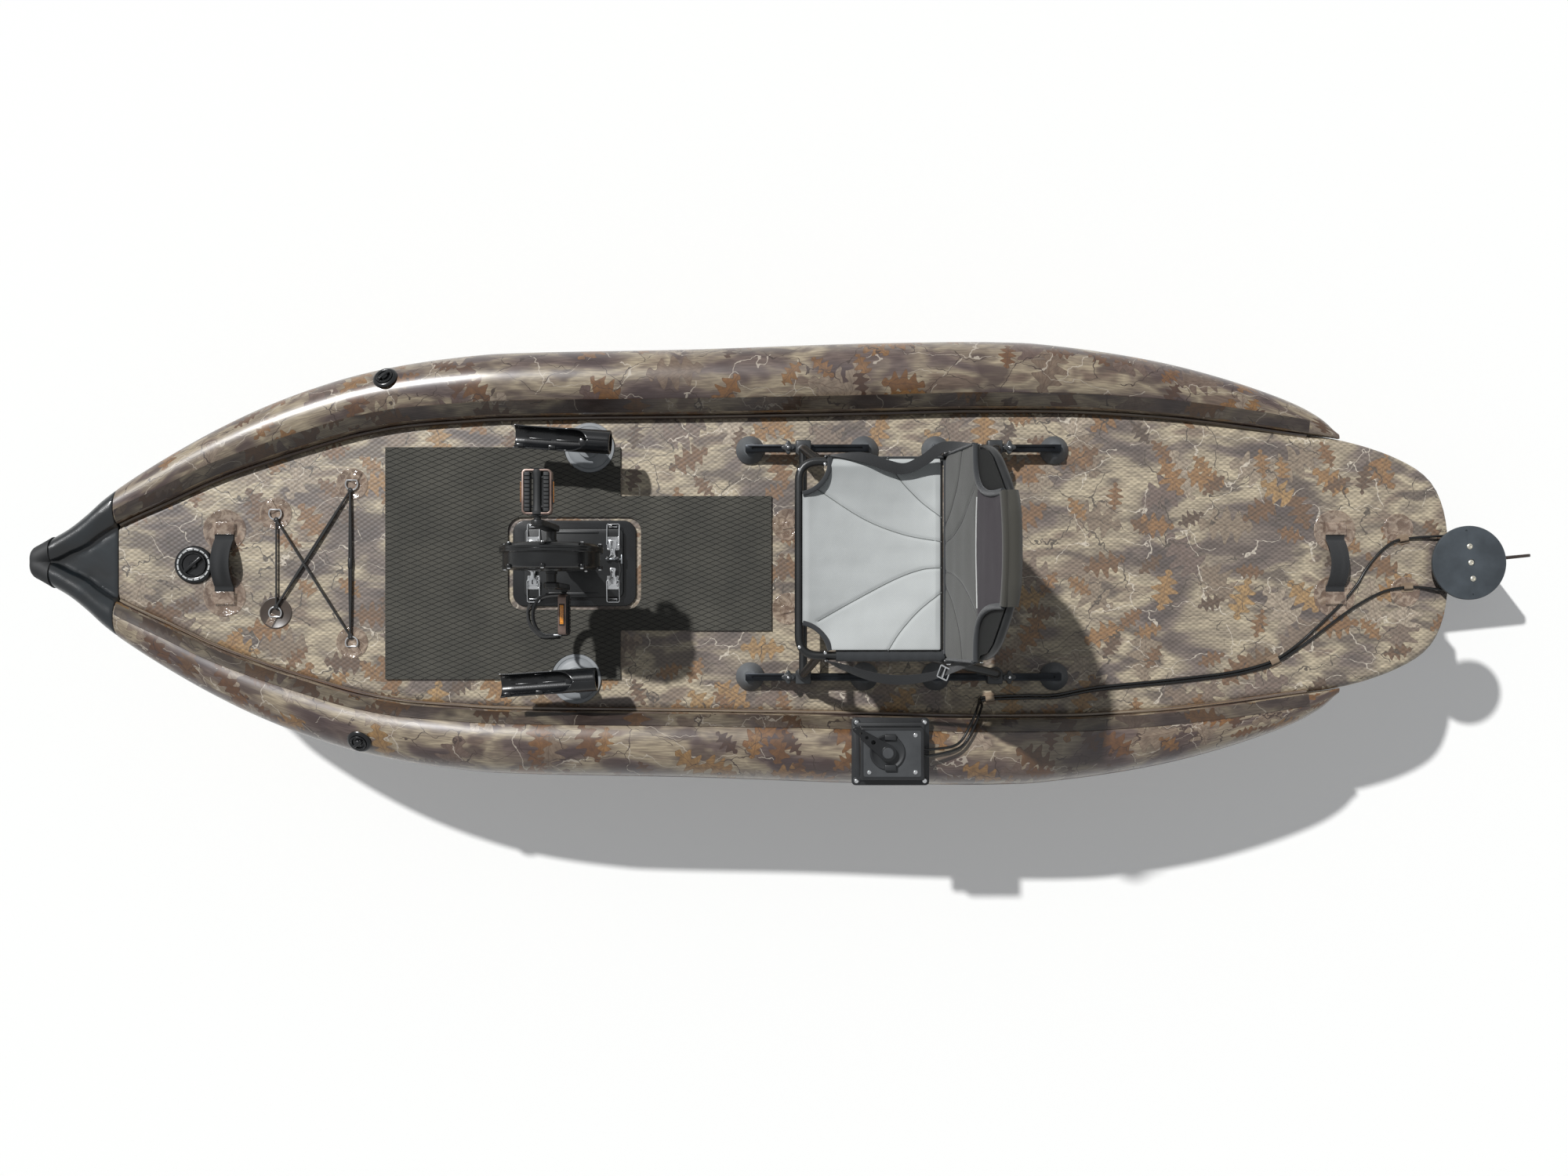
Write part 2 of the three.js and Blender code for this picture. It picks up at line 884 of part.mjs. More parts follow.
function weldedPatches() {
  const handleDisc = bar('z', handle.patchRadius, -patchSink, handle.patchThickness, [0, 0], 14);
  const ringDisc = bar('z', ring.patchRadius, -patchSink, ring.patchThickness, [0, 0], 10);
  const pieces = [];
  handlePlaces.forEach((x) => {
    [1, -1].forEach((side) => pieces.push(onDeck(handleDisc, x, side * handle.patchSide, 0)));
  });
  ringPlaces.forEach((place) => pieces.push(onDeck(ringDisc, place.x, place.y, 0)));
  clipPlaces.forEach((place, i) => {
    pieces.push(onDeck(clipSolid(place.turn, i < 2 ? 2 : 1), place.x, place.y, -sink));
  });
  return pieces;
}

function handleSolid() {
  const outer = new THREE.Shape();
  const reach = handle.span / 2;
  const foot = reach + handle.tab;
  const steps = 10;
  const arch = (lift, y) => lift + handle.rise * Math.cos((Math.PI * y) / (2 * reach)) ** 0.75;
  outer.moveTo(-foot, 0);
  outer.lineTo(-foot, handle.thickness);
  outer.lineTo(-reach, handle.thickness);
  for (let i = 1; i < steps; i += 1) {
    const y = -reach + (2 * reach * i) / steps;
    outer.lineTo(y, arch(handle.thickness, y));
  }
  outer.lineTo(reach, handle.thickness);
  outer.lineTo(foot, handle.thickness);
  outer.lineTo(foot, 0);
  outer.lineTo(reach - handle.thickness, 0);
  for (let i = steps - 1; i > 0; i -= 1) {
    const y = -reach + (2 * reach * i) / steps;
    outer.lineTo(y * (1 - handle.thickness / reach), arch(0, y));
  }
  outer.lineTo(-reach + handle.thickness, 0);
  outer.closePath();
  const strap = new THREE.ExtrudeGeometry(outer, { depth: handle.width, bevelEnabled: false });
  return strap.translate(0, 0, -handle.width / 2).rotateX(Math.PI / 2).rotateZ(Math.PI / 2);
}

function buildHandlesAndRings() {
  const lift = handle.patchThickness + 2 * seatGap;
  ['bow', 'stern'].forEach((name, i) => {
    add(model, `grab_handle_${name}`, onDeck(handleSolid(), handlePlaces[i], 0, lift), webbing);
  });
}

function ringSolids() {
  return ringPlaces.map((place) => {
    const wire = new THREE.TorusGeometry(ring.size, ring.wireRadius, 4, 8);
    const tab = block(ring.size, ring.size * 1.4, ring.lift, -ring.size, 0, -ring.lift / 2);
    const both = join(wire, tab).rotateZ(THREE.MathUtils.degToRad(place.y > 0 ? -90 : 90));
    return onDeck(both, place.x, place.y, ring.patchThickness + ring.lift / 2 + 2 * seatGap);
  });
}

function ringEye(index, turn = 0) {
  const place = ringPlaces[index];
  const inward = place.y > 0 ? -1 : 1;
  const lift = ring.patchThickness + ring.lift / 2 + ring.wireRadius + 2 * seatGap;
  return [place.x + turn, place.y + inward * ring.size, deckHeight(place.x) + lift];
}

function buildBungee() {
  const runs = [[0, 2], [0, 3], [2, 1], [1, 3]];
  const tubes = runs.map(([from, to], i) => {
    const start = ringEye(from, from === 0 || from === 2 ? -cord.loop : cord.loop);
    const end = ringEye(to, to === 0 || to === 2 ? -cord.loop : cord.loop);
    const lift = i === 1 ? cord.crossing / 2 : 0;
    const sink = i === 2 ? cord.crossing / 2 : 0;
    const middle = start.map((value, axis) => (value + end[axis]) / 2);
    middle[2] += lift - sink;
    return tubeAlong([start, middle, end], cord.radius, cord.sides, cord.steps);
  });
  const knots = [0, 1, 2, 3].map((i) => {
    const inset = i === 0 || i === 2 ? -cord.loop : cord.loop;
    const [x, y, z] = ringEye(i, inset);
    return new THREE.SphereGeometry(cord.radius * cord.knotShare, 5, 3).translate(x, y, z);
  });
  const from = ringEye(1, cord.loop);
  const to = ringEye(3, cord.loop);
  const crimp = block(cord.radius * 4, cord.radius * 6, cord.radius * 3);
  const crimpMiddle = from.map((value, axis) => (value + to[axis]) / 2);
  crimp.translate(crimpMiddle[0], crimpMiddle[1], crimpMiddle[2] - cord.radius * 1.5);
  add(model, 'bungee_cord', join(...tubes, ...knots, crimp, ...ringSolids()), webbing);
}

// Feet, rails and rod holder bases

function railRuns() {
  const seatX = seat.placeShare * halfLength;
  return [
    { middle: seatX + rail.frontOffset, length: rail.frontLength },
    { middle: seatX + rail.rearOffset, length: rail.rearLength },
  ];
}

function buildFeetAndRails() {
  const profile = [
    [0, 0], [rail.footRadius, 0], [rail.footRadius, rail.footRim],
    [rail.footRadius - rail.footTop / 2, rail.footHeight - rail.footTop / 2],
    [rail.footTop, rail.footHeight], [0, rail.footHeight],
  ];
  railRuns().forEach((run, i) => {
    [1, -1].forEach((side) => {
      const feet = [1, -1].map((end) => {
        const x = run.middle + (end * run.length) / 2;
        return moved(turned(profile, 12), x, side * railSide, deck + seatGap);
      });
      const length = run.length + 2 * rail.overhang;
      const bottom = deck + rail.footHeight;
      const slotted = cut(
        block(length, rail.width, rail.thickness, run.middle, side * railSide, bottom),
        block(
          length - 2 * rail.footTop,
          rail.slotWidth,
          rail.thickness,
          run.middle,
          side * railSide,
          bottom + rail.thickness - rail.slotDepth,
        ),
      );
      const name = `seat_rail_${['front', 'rear'][i]}_${side > 0 ? 'port' : 'starboard'}`;
      add(model, name, join(slotted, ...feet), aluminium);
    });
  });
  const base = turned([
    [0, 0], [rod.baseRadius, 0], [rod.baseRadius, rod.baseHeight / 3],
    [rod.bossRadius + rod.baseHeight, rod.baseHeight], [rod.bossRadius, rod.baseHeight],
    [rod.bossRadius, rod.bossHeight], [0, rod.bossHeight],
  ], 20);
  [['port', 1], ['starboard', -1]].forEach(([name, side]) => {
    const place = rodPlace(side);
    add(model, `rod_base_${name}`, moved(base, place.x, place.y, deck + seatGap), greyPlastic);
  });
}

function buildRodHolders() {
  [['port', 1], ['starboard', -1]].forEach(([name, side]) => {
    const place = rodPlace(side);
    const group = groupAt(model, place.x, place.y, deck + seatGap);
    group.rotation.z = THREE.MathUtils.degToRad(side * rod.yaw);
    const start = rod.bossHeight + seatGap;
    const top = start + rod.postHeight;
    const forkBottom = top - rod.forkWall;
    const half = rod.forkWidth / 2;
    const fork = cut(
      join(
        block(2 * rod.forkReach, rod.forkWidth, rod.pivotHeight - forkBottom, 0, 0, forkBottom),
        bar('y', rod.forkReach, -half, half, [0, rod.pivotHeight], 16),
      ),
      block(
        2 * rod.forkReach + 2 * overrun,
        rod.forkWidth - 2 * rod.forkWall,
        2 * rod.forkReach + rod.postHeight,
        0,
        0,
        top,
      ),
    );
    const pin = bar('y', rod.forkWall, -rod.forkWidth / 2, rod.forkWidth / 2, [0, rod.pivotHeight], 12);
    const post = join(bar('z', rod.postRadius, start, top, [0, 0], 20), fork, pin);
    add(group, `rod_post_${name}`, post, blackPlastic);

    const trayAxis = rod.pivotHeight + rod.forkReach + rod.trayRadius + runningGap + seatGap;
    const outer = bar('x', rod.trayRadius, -rod.trayBack, rod.trayForward, [0, trayAxis], 20);
    const bore = bar(
      'x',
      rod.trayRadius - rod.trayWall,
      -rod.trayBack - overrun,
      rod.trayForward + overrun,
      [0, trayAxis],
      20,
    );
    const opening = block(
      rod.trayForward + rod.trayBack,
      2 * rod.trayRadius + 2 * overrun,
      2 * rod.trayRadius,
      rod.ringLength + overrun,
      0,
      trayAxis,
    );
    const lugTop = trayAxis - rod.trayRadius + rod.trayWall / 2;
    const lugWidth = rod.forkWidth - 2 * rod.forkWall - 2 * runningGap;
    const lugBottom = rod.pivotHeight - rod.lugWidth / 2;
    const lug = cut(
      block(rod.lugWidth, lugWidth, lugTop - lugBottom, 0, 0, lugBottom),
      bar('y', rod.forkWall + seatGap, -rod.forkWidth, rod.forkWidth, [0, rod.pivotHeight], 12),
    );
    add(group, `rod_tray_${name}`, join(cut(outer, bore, opening), lug), blackPlastic);
  });
}

// Valves

function valveParts(radius, capRadius, isFlat) {
  const skirt = isFlat ? 0 : -valve.skirt;
  const body = cut(
    turned([
      [0, skirt], [radius, skirt], [radius, valve.height / 3], [radius - valve.height / 2, valve.height],
      [0, valve.height],
    ], 18),
    bar('z', capRadius + runningGap, valve.height / 2, valve.height + overrun, [0, 0], 18),
  );
  const bottom = valve.height / 2 + seatGap;
  const disc = bar('z', capRadius, bottom, bottom + valve.capHeight / 2, [0, 0], 18);
  const grip = block(
    2 * capRadius - valve.gripWidth,
    valve.gripWidth,
    valve.gripHeight,
    0,
    0,
    bottom + valve.capHeight / 2 - seatGap,
  );
  return { body, cap: join(disc, grip) };
}

function rowAt(x) {
  return {
    x,
    deckEdge: between('deckEdge', x),
    outerEdge: between('outerEdge', x),
    tubeHeight: between('tubeHeight', x),
  };
}

// A point on a side tube, with the angle measured outwards from the top
function onTube(x, angle, side) {
  const row = rowAt(x);
  const middle = tubeMiddle(row);
  return new THREE.Vector3(
    x,
    side * (middle.y + middle.halfWidth * Math.sin(angle)),
    middle.z + row.tubeHeight * Math.cos(angle),
  );
}

function tubeValvePlace(share, side) {
  const x = share * halfLength;
  const angle = THREE.MathUtils.degToRad(valve.tubeTilt);
  const reach = valve.tubeRadius / 2;
  const along = onTube(x + reach, angle, side).sub(onTube(x - reach, angle, side)).normalize();
  const step = reach / hull.tubeRadius;
  const around = onTube(x, angle + step, side).sub(onTube(x, angle - step, side)).normalize();
  const up = along.clone().cross(around).multiplyScalar(side).normalize();
  const across = up.clone().cross(along).normalize();
  return new THREE.Matrix4().makeBasis(along, across, up).setPosition(onTube(x, angle, side));
}

function buildValves() {
  const deckX = valve.deckShare * halfLength;
  const deckPlace = new THREE.Matrix4()
    .makeRotationY(deckTilt(deckX))
    .setPosition(deckX, valve.deckSide, deckHeight(deckX) + 3 * seatGap);
  const places = [
    { name: 'deck', place: deckPlace, side: 0, radius: valve.deckRadius, capRadius: valve.capRadius },
    { name: 'port', place: tubeValvePlace(valve.portShare, 1), side: 1 },
    { name: 'starboard', place: tubeValvePlace(valve.starboardShare, -1), side: -1 },
  ];
  places.forEach(({ name, place, side, radius, capRadius }) => {
    const parts = valveParts(radius ?? valve.tubeRadius, capRadius ?? valve.tubeCapRadius, side === 0);
    let body = parts.body.applyMatrix4(place);
    if (side !== 0) body = cut(body, grownTube(side));
    add(model, `${name}_valve_seat`, body, blackPlastic);
    const group = groupAt(model, 0, 0, 0);
    group.applyMatrix4(place);
    add(group, `${name}_valve_cap`, parts.cap, blackPlastic);
  });
}

// Pedal drive

const axleHeight = drive.axleHeight;
const pinionRadius = (gears.crownRadius * gears.pinionTeeth) / gears.crownTeeth;
const lowerPinionRadius = (gears.lowerCrownRadius * gears.lowerPinionTeeth) / gears.lowerCrownTeeth;
const plateBottom = deck + drive.frameThickness + 2 * seatGap;
const plateTop = plateBottom + drive.plateThickness;
const neckBottom = axleHeight - drive.caseRadius - drive.neckDrop;

function legOutline(grow = 0) {
  const outline = new THREE.Shape();
  outline.absellipse(0, 0, drive.legLength / 2 + grow, drive.legWidth / 2 + grow, 0, 2 * Math.PI);
  return outline;
}

function buildWell(driveX) {
  const hole = roundedOutline(drive.trunkLength, drive.trunkWidth, drive.trunkWall, THREE.Path);
  const face = roundedOutline(drive.frameLength, drive.frameWidth, drive.frameCorner);
  face.holes.push(hole);
  const outerLength = drive.trunkLength + 2 * drive.trunkWall;
  const outerWidth = drive.trunkWidth + 2 * drive.trunkWall;
  const wall = roundedOutline(outerLength, outerWidth, drive.trunkWall);
  wall.holes.push(hole);
  const bottom = deck + seatGap;
  const catches = latchPlaces().map((place) => {
    const post = block(
      latch.catchWidth,
      latch.catchThickness,
      latch.catchHeight,
      0,
      latch.bailReach - latch.bailRadius - runningGap - latch.catchThickness / 2,
      bottom + drive.frameThickness - sink,
    );
    return post.rotateZ(place.turn).translate(place.x, place.y, 0);
  });
  const frame = join(
    extrude(face, drive.frameThickness, bottom, 3),
    extrude(wall, bottom + drive.frameThickness / 2, 0, 2),
    ...catches,
  );
  add(groupAt(model, driveX, 0, 0), 'well_frame', frame, blackPlastic);
}

function latchPlaces() {
  const along = latch.alongShare * drive.plateLength;
  return [
    { x: along, y: latch.side, turn: 0 },
    { x: -along, y: latch.side, turn: 0 },
    { x: along, y: -latch.side, turn: Math.PI },
    { x: -along, y: -latch.side, turn: Math.PI },
  ];
}

function buildDrivePlate(group) {
  const face = roundedOutline(drive.plateLength, drive.plateWidth, drive.plateCorner);
  const legHole = new THREE.Path();
  const reach = [drive.legLength / 2 + runningGap, drive.legWidth / 2 + runningGap];
  legHole.absellipse(0, 0, ...reach, 0, 2 * Math.PI);
  face.holes.push(legHole);
  const rimLength = drive.trunkLength - 2 * runningGap;
  const rimWidth = drive.trunkWidth - 2 * runningGap;
  const rim = roundedOutline(rimLength, rimWidth, drive.rimWall);
  const inside = [rimLength - 2 * drive.rimWall, rimWidth - 2 * drive.rimWall];
  rim.holes.push(roundedOutline(...inside, drive.rimWall / 2, THREE.Path));
  const plateSolid = join(
    extrude(face, drive.plateThickness, plateBottom, 6),
    extrude(rim, drive.rimDepth + drive.plateThickness / 2, plateBottom - drive.rimDepth, 2),
    ...latchBases(),
  );
  add(group, 'drive_plate', plateSolid, blackMetal);
}

function latchBases() {
  const earBox = (side) => block(
    latch.earWall,
    2 * latch.earReach,
    latch.pivotHeight + latch.earReach - latch.baseThickness / 2,
    side * (latch.earX + latch.earWall / 2),
    latch.pivotOut,
    latch.baseThickness / 2,
  );
  const pinHole = bar(
    'x',
    (latch.pinRadius + runningGap / 2) / Math.cos(Math.PI / latch.pinSides),
    -latch.baseWidth,
    latch.baseWidth,
    [latch.pivotOut, latch.pivotHeight],
    latch.pinSides,
  );
  const baseLength = latch.baseBack + latch.baseFront;
  const baseY = (latch.baseFront - latch.baseBack) / 2;
  const base = join(
    block(latch.baseWidth, baseLength, latch.baseThickness, 0, baseY, 0),
    cut(earBox(1), pinHole),
    cut(earBox(-1), pinHole),
  );
  return latchPlaces().map((place) => base.clone()
    .rotateZ(place.turn)
    .translate(place.x, place.y, plateTop - sink));
}

function buildLatches(group) {
  const topLength = latch.leverLength + latch.leverTail;
  const topY = latch.pivotOut + latch.leverTail - topLength / 2;
  const sideLength = latch.leverFlange + latch.leverTail;
  const sideY = latch.pivotOut + latch.leverTail - sideLength / 2;
  const cheek = (side) => block(
    latch.leverWall,
    sideLength,
    latch.leverTop - latch.leverBottom,
    side * (latch.leverHalfWidth - latch.leverWall / 2),
    sideY,
    latch.leverBottom,
  );
  const pinHalf = latch.earX + latch.earWall;
  const lever = join(
    block(2 * latch.leverHalfWidth, topLength, latch.leverWall, 0, topY, latch.leverTop - latch.leverWall),
    cheek(1),
    cheek(-1),
    bar('x', latch.pinRadius, -pinHalf, pinHalf, [latch.pivotOut, latch.pivotHeight], latch.pinSides),
  );
  const back = -latch.bailBack;
  const stub = latch.leverHalfWidth + runningGap;
  const bail = bentTube([
    [stub, back, latch.bailHeight],
    [latch.bailHalfWidth, back, latch.bailHeight],
    [latch.bailHalfWidth, latch.bailReach, latch.bailLow],
    [-latch.bailHalfWidth, latch.bailReach, latch.bailLow],
    [-latch.bailHalfWidth, back, latch.bailHeight],
    [-stub, back, latch.bailHeight],
  ], latch.bailRadius, latch.bailRadius * 1.6, 5, 1);
  latchPlaces().forEach((place, i) => {
    const spot = groupAt(group, place.x, place.y, plateTop - sink);
    spot.rotation.z = place.turn;
    add(spot, `latch_lever_${i + 1}`, lever.clone(), steel);
    add(spot, `latch_bail_${i + 1}`, bail.clone(), steel);
  });
}

function buildGearbox(group) {
  const centre = [0, axleHeight];
  const inner = drive.caseHalfWidth - drive.caseWall;
  const split = -drive.flangeOffset;
  const neck = block(
    drive.neckLength,
    drive.neckWidth,
    drive.neckDrop + drive.caseRadius / 2,
    0,
    0,
    neckBottom,
  );
  const axleHole = crank.axleRadius + runningGap;
  const shaftHole = gears.shaftRadius + runningGap;
  const sides = 28;
  const shell = cut(
    join(
      bar('y', drive.caseRadius, split, drive.caseHalfWidth, centre, sides),
      bar('y', drive.flangeRadius, split, split + drive.flangeThickness, centre, sides),
      neck,
    ),
    bar('y', drive.caseRadius - drive.caseWall, -drive.caseHalfWidth, inner, centre, sides),
    bar('y', axleHole, 0, drive.caseHalfWidth + overrun, centre),
    bar('z', shaftHole, neckBottom - overrun, axleHeight, [0, 0]),
    block(
      2 * drive.caseRadius,
      drive.neckWidth,
      drive.neckDrop + drive.caseRadius,
      0,
      split - seatGap - drive.neckWidth / 2,
      neckBottom + drive.neckDrop,
    ),
  );
  add(group, 'gearbox_shell', shell, blackMetal);
  const coverInner = split - seatGap;
  const cover = cut(
    join(
      bar('y', drive.caseRadius, -drive.caseHalfWidth, coverInner, centre, sides),
      bar('y', drive.flangeRadius, coverInner - drive.flangeThickness, coverInner, centre, sides),
    ),
    bar('y', drive.caseRadius - drive.caseWall, -inner, coverInner + overrun, centre, sides),
    bar('y', axleHole, -drive.caseHalfWidth - overrun, 0, centre),
    block(
      2 * drive.caseRadius,
      drive.neckWidth,
      drive.neckDrop + 2 * seatGap,
      0,
      -drive.neckWidth / 2,
      neckBottom - seatGap,
    ),
  );
  add(group, 'gearbox_cover', cover, blackMetal);
}

function buildLeg(group) {
  const outline = legOutline();
  const bore = new THREE.Path();
  bore.absarc(0, 0, gears.shaftRadius + 2 * runningGap, 0, 2 * Math.PI);
  outline.holes.push(bore);
  const top = neckBottom - seatGap;
  add(group, 'drive_leg', extrude(outline, top - drive.legBottom, drive.legBottom, 6), blackMetal);

  const unitAxis = [0, drive.propAxisHeight];
  const profile = [
    [0, 0], [drive.unitRadius / 2, drive.noseLength / 6], [drive.unitRadius, drive.noseLength],
    [drive.unitRadius, drive.unitFront + drive.unitBack - 2 * drive.legWidth / 3],
    [drive.unitRadius * 0.8, drive.unitFront + drive.unitBack], [0, drive.unitFront + drive.unitBack],
  ];
  const pod = turned(profile, 14).rotateY(-Math.PI / 2)
    .translate(drive.unitFront, 0, drive.propAxisHeight);
  const crownBottom = drive.propAxisHeight + lowerPinionRadius - gears.engagement;
  const cavityTop = crownBottom + gears.toothHeight + gears.lowerPlateThickness + 2 * runningGap;
  const saddleHeight = drive.legBottom - seatGap - drive.propAxisHeight;
  const saddle = extrude(legOutline(), saddleHeight, drive.propAxisHeight, 6);
  const crownRoom = gears.lowerCrownRadius + gears.lowerToothFace / 2 + 2 * runningGap;
  const unit = cut(
    join(pod, saddle),
    bar('z', Math.min(crownRoom, drive.unitRadius), drive.propAxisHeight, cavityTop, [0, 0], 12),
    bar('z', gears.shaftRadius + 2 * runningGap, drive.propAxisHeight, drive.legBottom + overrun, [0, 0], 14),
    bar(
      'x',
      lowerPinionRadius + gears.engagement + 2 * runningGap,
      -gears.lowerCrownRadius - gears.lowerToothFace,
      gears.lowerCrownRadius,
      unitAxis,
      16,
    ),
    bar('x', gears.propShaftRadius + runningGap, -drive.unitBack - overrun, 0, unitAxis, 14),
  );
  add(group, 'lower_unit', unit, blackMetal);
}

// A disc with radial teeth on one face. The axis is Z, the teeth point down.
function crownWheel(radius, teeth, face, thickness, bore, quarter) {
  const pitch = (2 * Math.PI * radius) / teeth;
  const outer = radius + face / 2;
  const pieces = [
    cut(
      bar('z', outer, gears.toothHeight, gears.toothHeight + thickness, [0, 0], quarter * 4),
      bar('z', bore, -overrun, gears.toothHeight + thickness + overrun, [0, 0], 16),
    ),
  ];
  const embed = seatGap;
  for (let i = 0; i < teeth; i += 1) {
    const tooth = block(face, pitch * gears.toothFill, gears.toothHeight + embed, radius - embed, 0, 0);
    pieces.push(tooth.rotateZ((2 * Math.PI * i) / teeth));
  }
  return join(...pieces);
}

// A straight-cut wheel about Z with one gap on the +X side
function spurWheel(radius, teeth, height) {
  const pitch = (2 * Math.PI * radius) / teeth;
  const root = radius - gears.engagement - runningGap;
  const pieces = [bar('z', root, 0, height, [0, 0], teeth * 2)];
  for (let i = 0; i < teeth; i += 1) {
    const reach = radius + gears.engagement - root + runningGap;
    const middle = root - runningGap + reach / 2;
    const tooth = block(reach, pitch * gears.toothFill * gears.pinionFill, height, middle, 0, 0);
    pieces.push(tooth.rotateZ((2 * Math.PI * (i + 1 / 2)) / teeth));
  }
  return join(...pieces);
}

function buildGears(group) {
  const toothBottom = pinionRadius - gears.engagement;
  const placed = crownWheel(
    gears.crownRadius,
    gears.crownTeeth,
    gears.toothFace,
    gears.plateThickness,
    crank.axleRadius + seatGap,
    6,
  ).rotateX(-Math.PI / 2).translate(0, toothBottom, axleHeight);
  add(group, 'crown_gear', placed, gearSteel);

  const pinionMiddle = axleHeight - gears.crownRadius;
  const pinion = spurWheel(pinionRadius, gears.pinionTeeth, gears.toothFace)
    .rotateZ(Math.PI / 2)
    .translate(0, 0, pinionMiddle - gears.toothFace / 2);
  const lowerToothTip = drive.propAxisHeight + lowerPinionRadius - gears.engagement;
  const lowerCrown = crownWheel(
    gears.lowerCrownRadius,
    gears.lowerCrownTeeth,
    gears.lowerToothFace,
    gears.lowerPlateThickness,
    gears.shaftRadius - seatGap,
    8,
  ).translate(0, 0, lowerToothTip);
  const shaftBottom = lowerToothTip + gears.toothHeight;
  const shaft = bar('z', gears.shaftRadius, shaftBottom, pinionMiddle + gears.shaftTop, [0, 0], 16);
  add(group, 'drive_shaft', join(shaft, pinion, lowerCrown), gearSteel);

  const unitAxis = [0, drive.propAxisHeight];
  const lowerPinion = spurWheel(lowerPinionRadius, gears.lowerPinionTeeth, gears.lowerToothFace)
    .rotateY(-Math.PI / 2)
    .translate(-gears.lowerCrownRadius + gears.lowerToothFace / 2, 0, drive.propAxisHeight);
  const propShaft = bar(
    'x',
    gears.propShaftRadius,
    -drive.unitBack - propeller.hubLength,
    -gears.lowerCrownRadius + gears.lowerToothFace / 2 + seatGap,
    unitAxis,
    14,
  );
  return join(propShaft, lowerPinion);
}

function buildCrank(group) {
  const half = crank.axleHalfLength;
  const axle = bar('y', crank.axleRadius, -half, half, [0, axleHeight], 14);
  const outer = crank.armInner + crank.armThickness;
  const middle = (crank.armInner + outer) / 2;
  const arm = join(
    bar('y', crank.hubRadius, crank.armInner, outer, [0, 0], 14),
    bar('y', crank.eyeRadius, crank.armInner, outer, [0, -crank.armLength], 12),
    block(crank.armWidth * 0.8, crank.armThickness, crank.armLength, 0, middle, -crank.armLength),
    bar('y', crank.spindleRadius, outer - seatGap, crank.spindleReach, [0, -crank.armLength], 14),
  );
  const port = moved(arm, 0, 0, axleHeight);
  const starboard = arm.clone().rotateX(Math.PI).translate(0, 0, axleHeight);
  add(group, 'crank', join(axle, port, starboard), blackMetal);
}

// A pedal on the port side, level, with its toe strap hanging down
function pedalSolid() {
  const inner = pedal.inner;
  const outer = inner + pedal.width;
  const middle = (inner + outer) / 2;
  const cage = cut(
    block(pedal.depth, pedal.width, pedal.thickness, 0, middle, -pedal.thickness / 2),
    block(
      pedal.depth - 2 * pedal.cageWall,
      pedal.width - 2 * pedal.cageWall,
      pedal.thickness + 2 * overrun,
      0,
      middle,
      -pedal.thickness / 2 - overrun,
    ),
  );
  const blocks = [1, -1].map((side) => block(
    pedal.blockDepth,
    pedal.width - pedal.cageWall,
    pedal.blockThickness,
    side * (pedal.depth / 2 - pedal.blockDepth / 2 - pedal.cageWall / 2),
    middle,
    -pedal.blockThickness / 2,
  ));
  const reflectors = [1, -1].map((side) => block(
    pedal.cageWall,
    pedal.reflectorWidth,
    pedal.reflectorHeight,
    side * (pedal.depth / 2 + pedal.cageWall / 2 - seatGap),
    middle,
    -pedal.reflectorHeight / 2,
  ));
  const barrel = bar('y', pedal.barrelRadius, inner, outer, [0, 0], 12);
  const bore = bar(
    'y',
    crank.spindleRadius + runningGap,
    inner - 2 * overrun,
    crank.spindleReach + runningGap,
    [0, 0],
    12,
  );
  return cut(join(cage, ...blocks, ...reflectors, barrel, strapSolid()), bore);
}

function strapSolid() {
  const inner = pedal.inner - pedal.strapThickness + sink;
  const outer = pedal.inner + pedal.width + pedal.strapThickness - sink;
  const middle = (inner + outer) / 2;
  const half = (outer - inner) / 2;
  const start = pedal.thickness * pedal.strapStartShare;
  const steps = 10;
  const band = (shrink, grow) => {
    const points = [[middle - half + shrink, start]];
    for (let i = 0; i <= steps; i += 1) {
      const angle = Math.PI - (Math.PI * i) / steps;
      const y = middle + (half + grow * pedal.strapSide - shrink) * Math.cos(angle);
      const height = pedal.strapReach / 2 + (pedal.strapReach / 2 - shrink) * Math.sin(angle);
      points.push([y, -height]);
    }
    points.push([middle + half - shrink, start]);
    return points;
  };
  const outline = [...band(0, 0), ...band(pedal.strapThickness, 0).reverse()];
  const shape = new THREE.Shape(outline.map(([y, z]) => new THREE.Vector2(y, z)));
  const strap = new THREE.ExtrudeGeometry(shape, { depth: pedal.strapWidth, bevelEnabled: false });
  return strap.translate(0, 0, -pedal.strapWidth / 2).rotateX(Math.PI / 2).rotateZ(Math.PI / 2);
}

function buildPedals(group) {
  const port = groupAt(group, 0, 0, axleHeight - crank.armLength);
  port.rotation.y = -Math.PI / 2;
  add(port, 'pedal_port', pedalSolid(), blackPlastic);
  const starboard = groupAt(group, 0, 0, axleHeight + crank.armLength);
  add(starboard, 'pedal_starboard', flipped(pedalSolid()), blackPlastic);
}

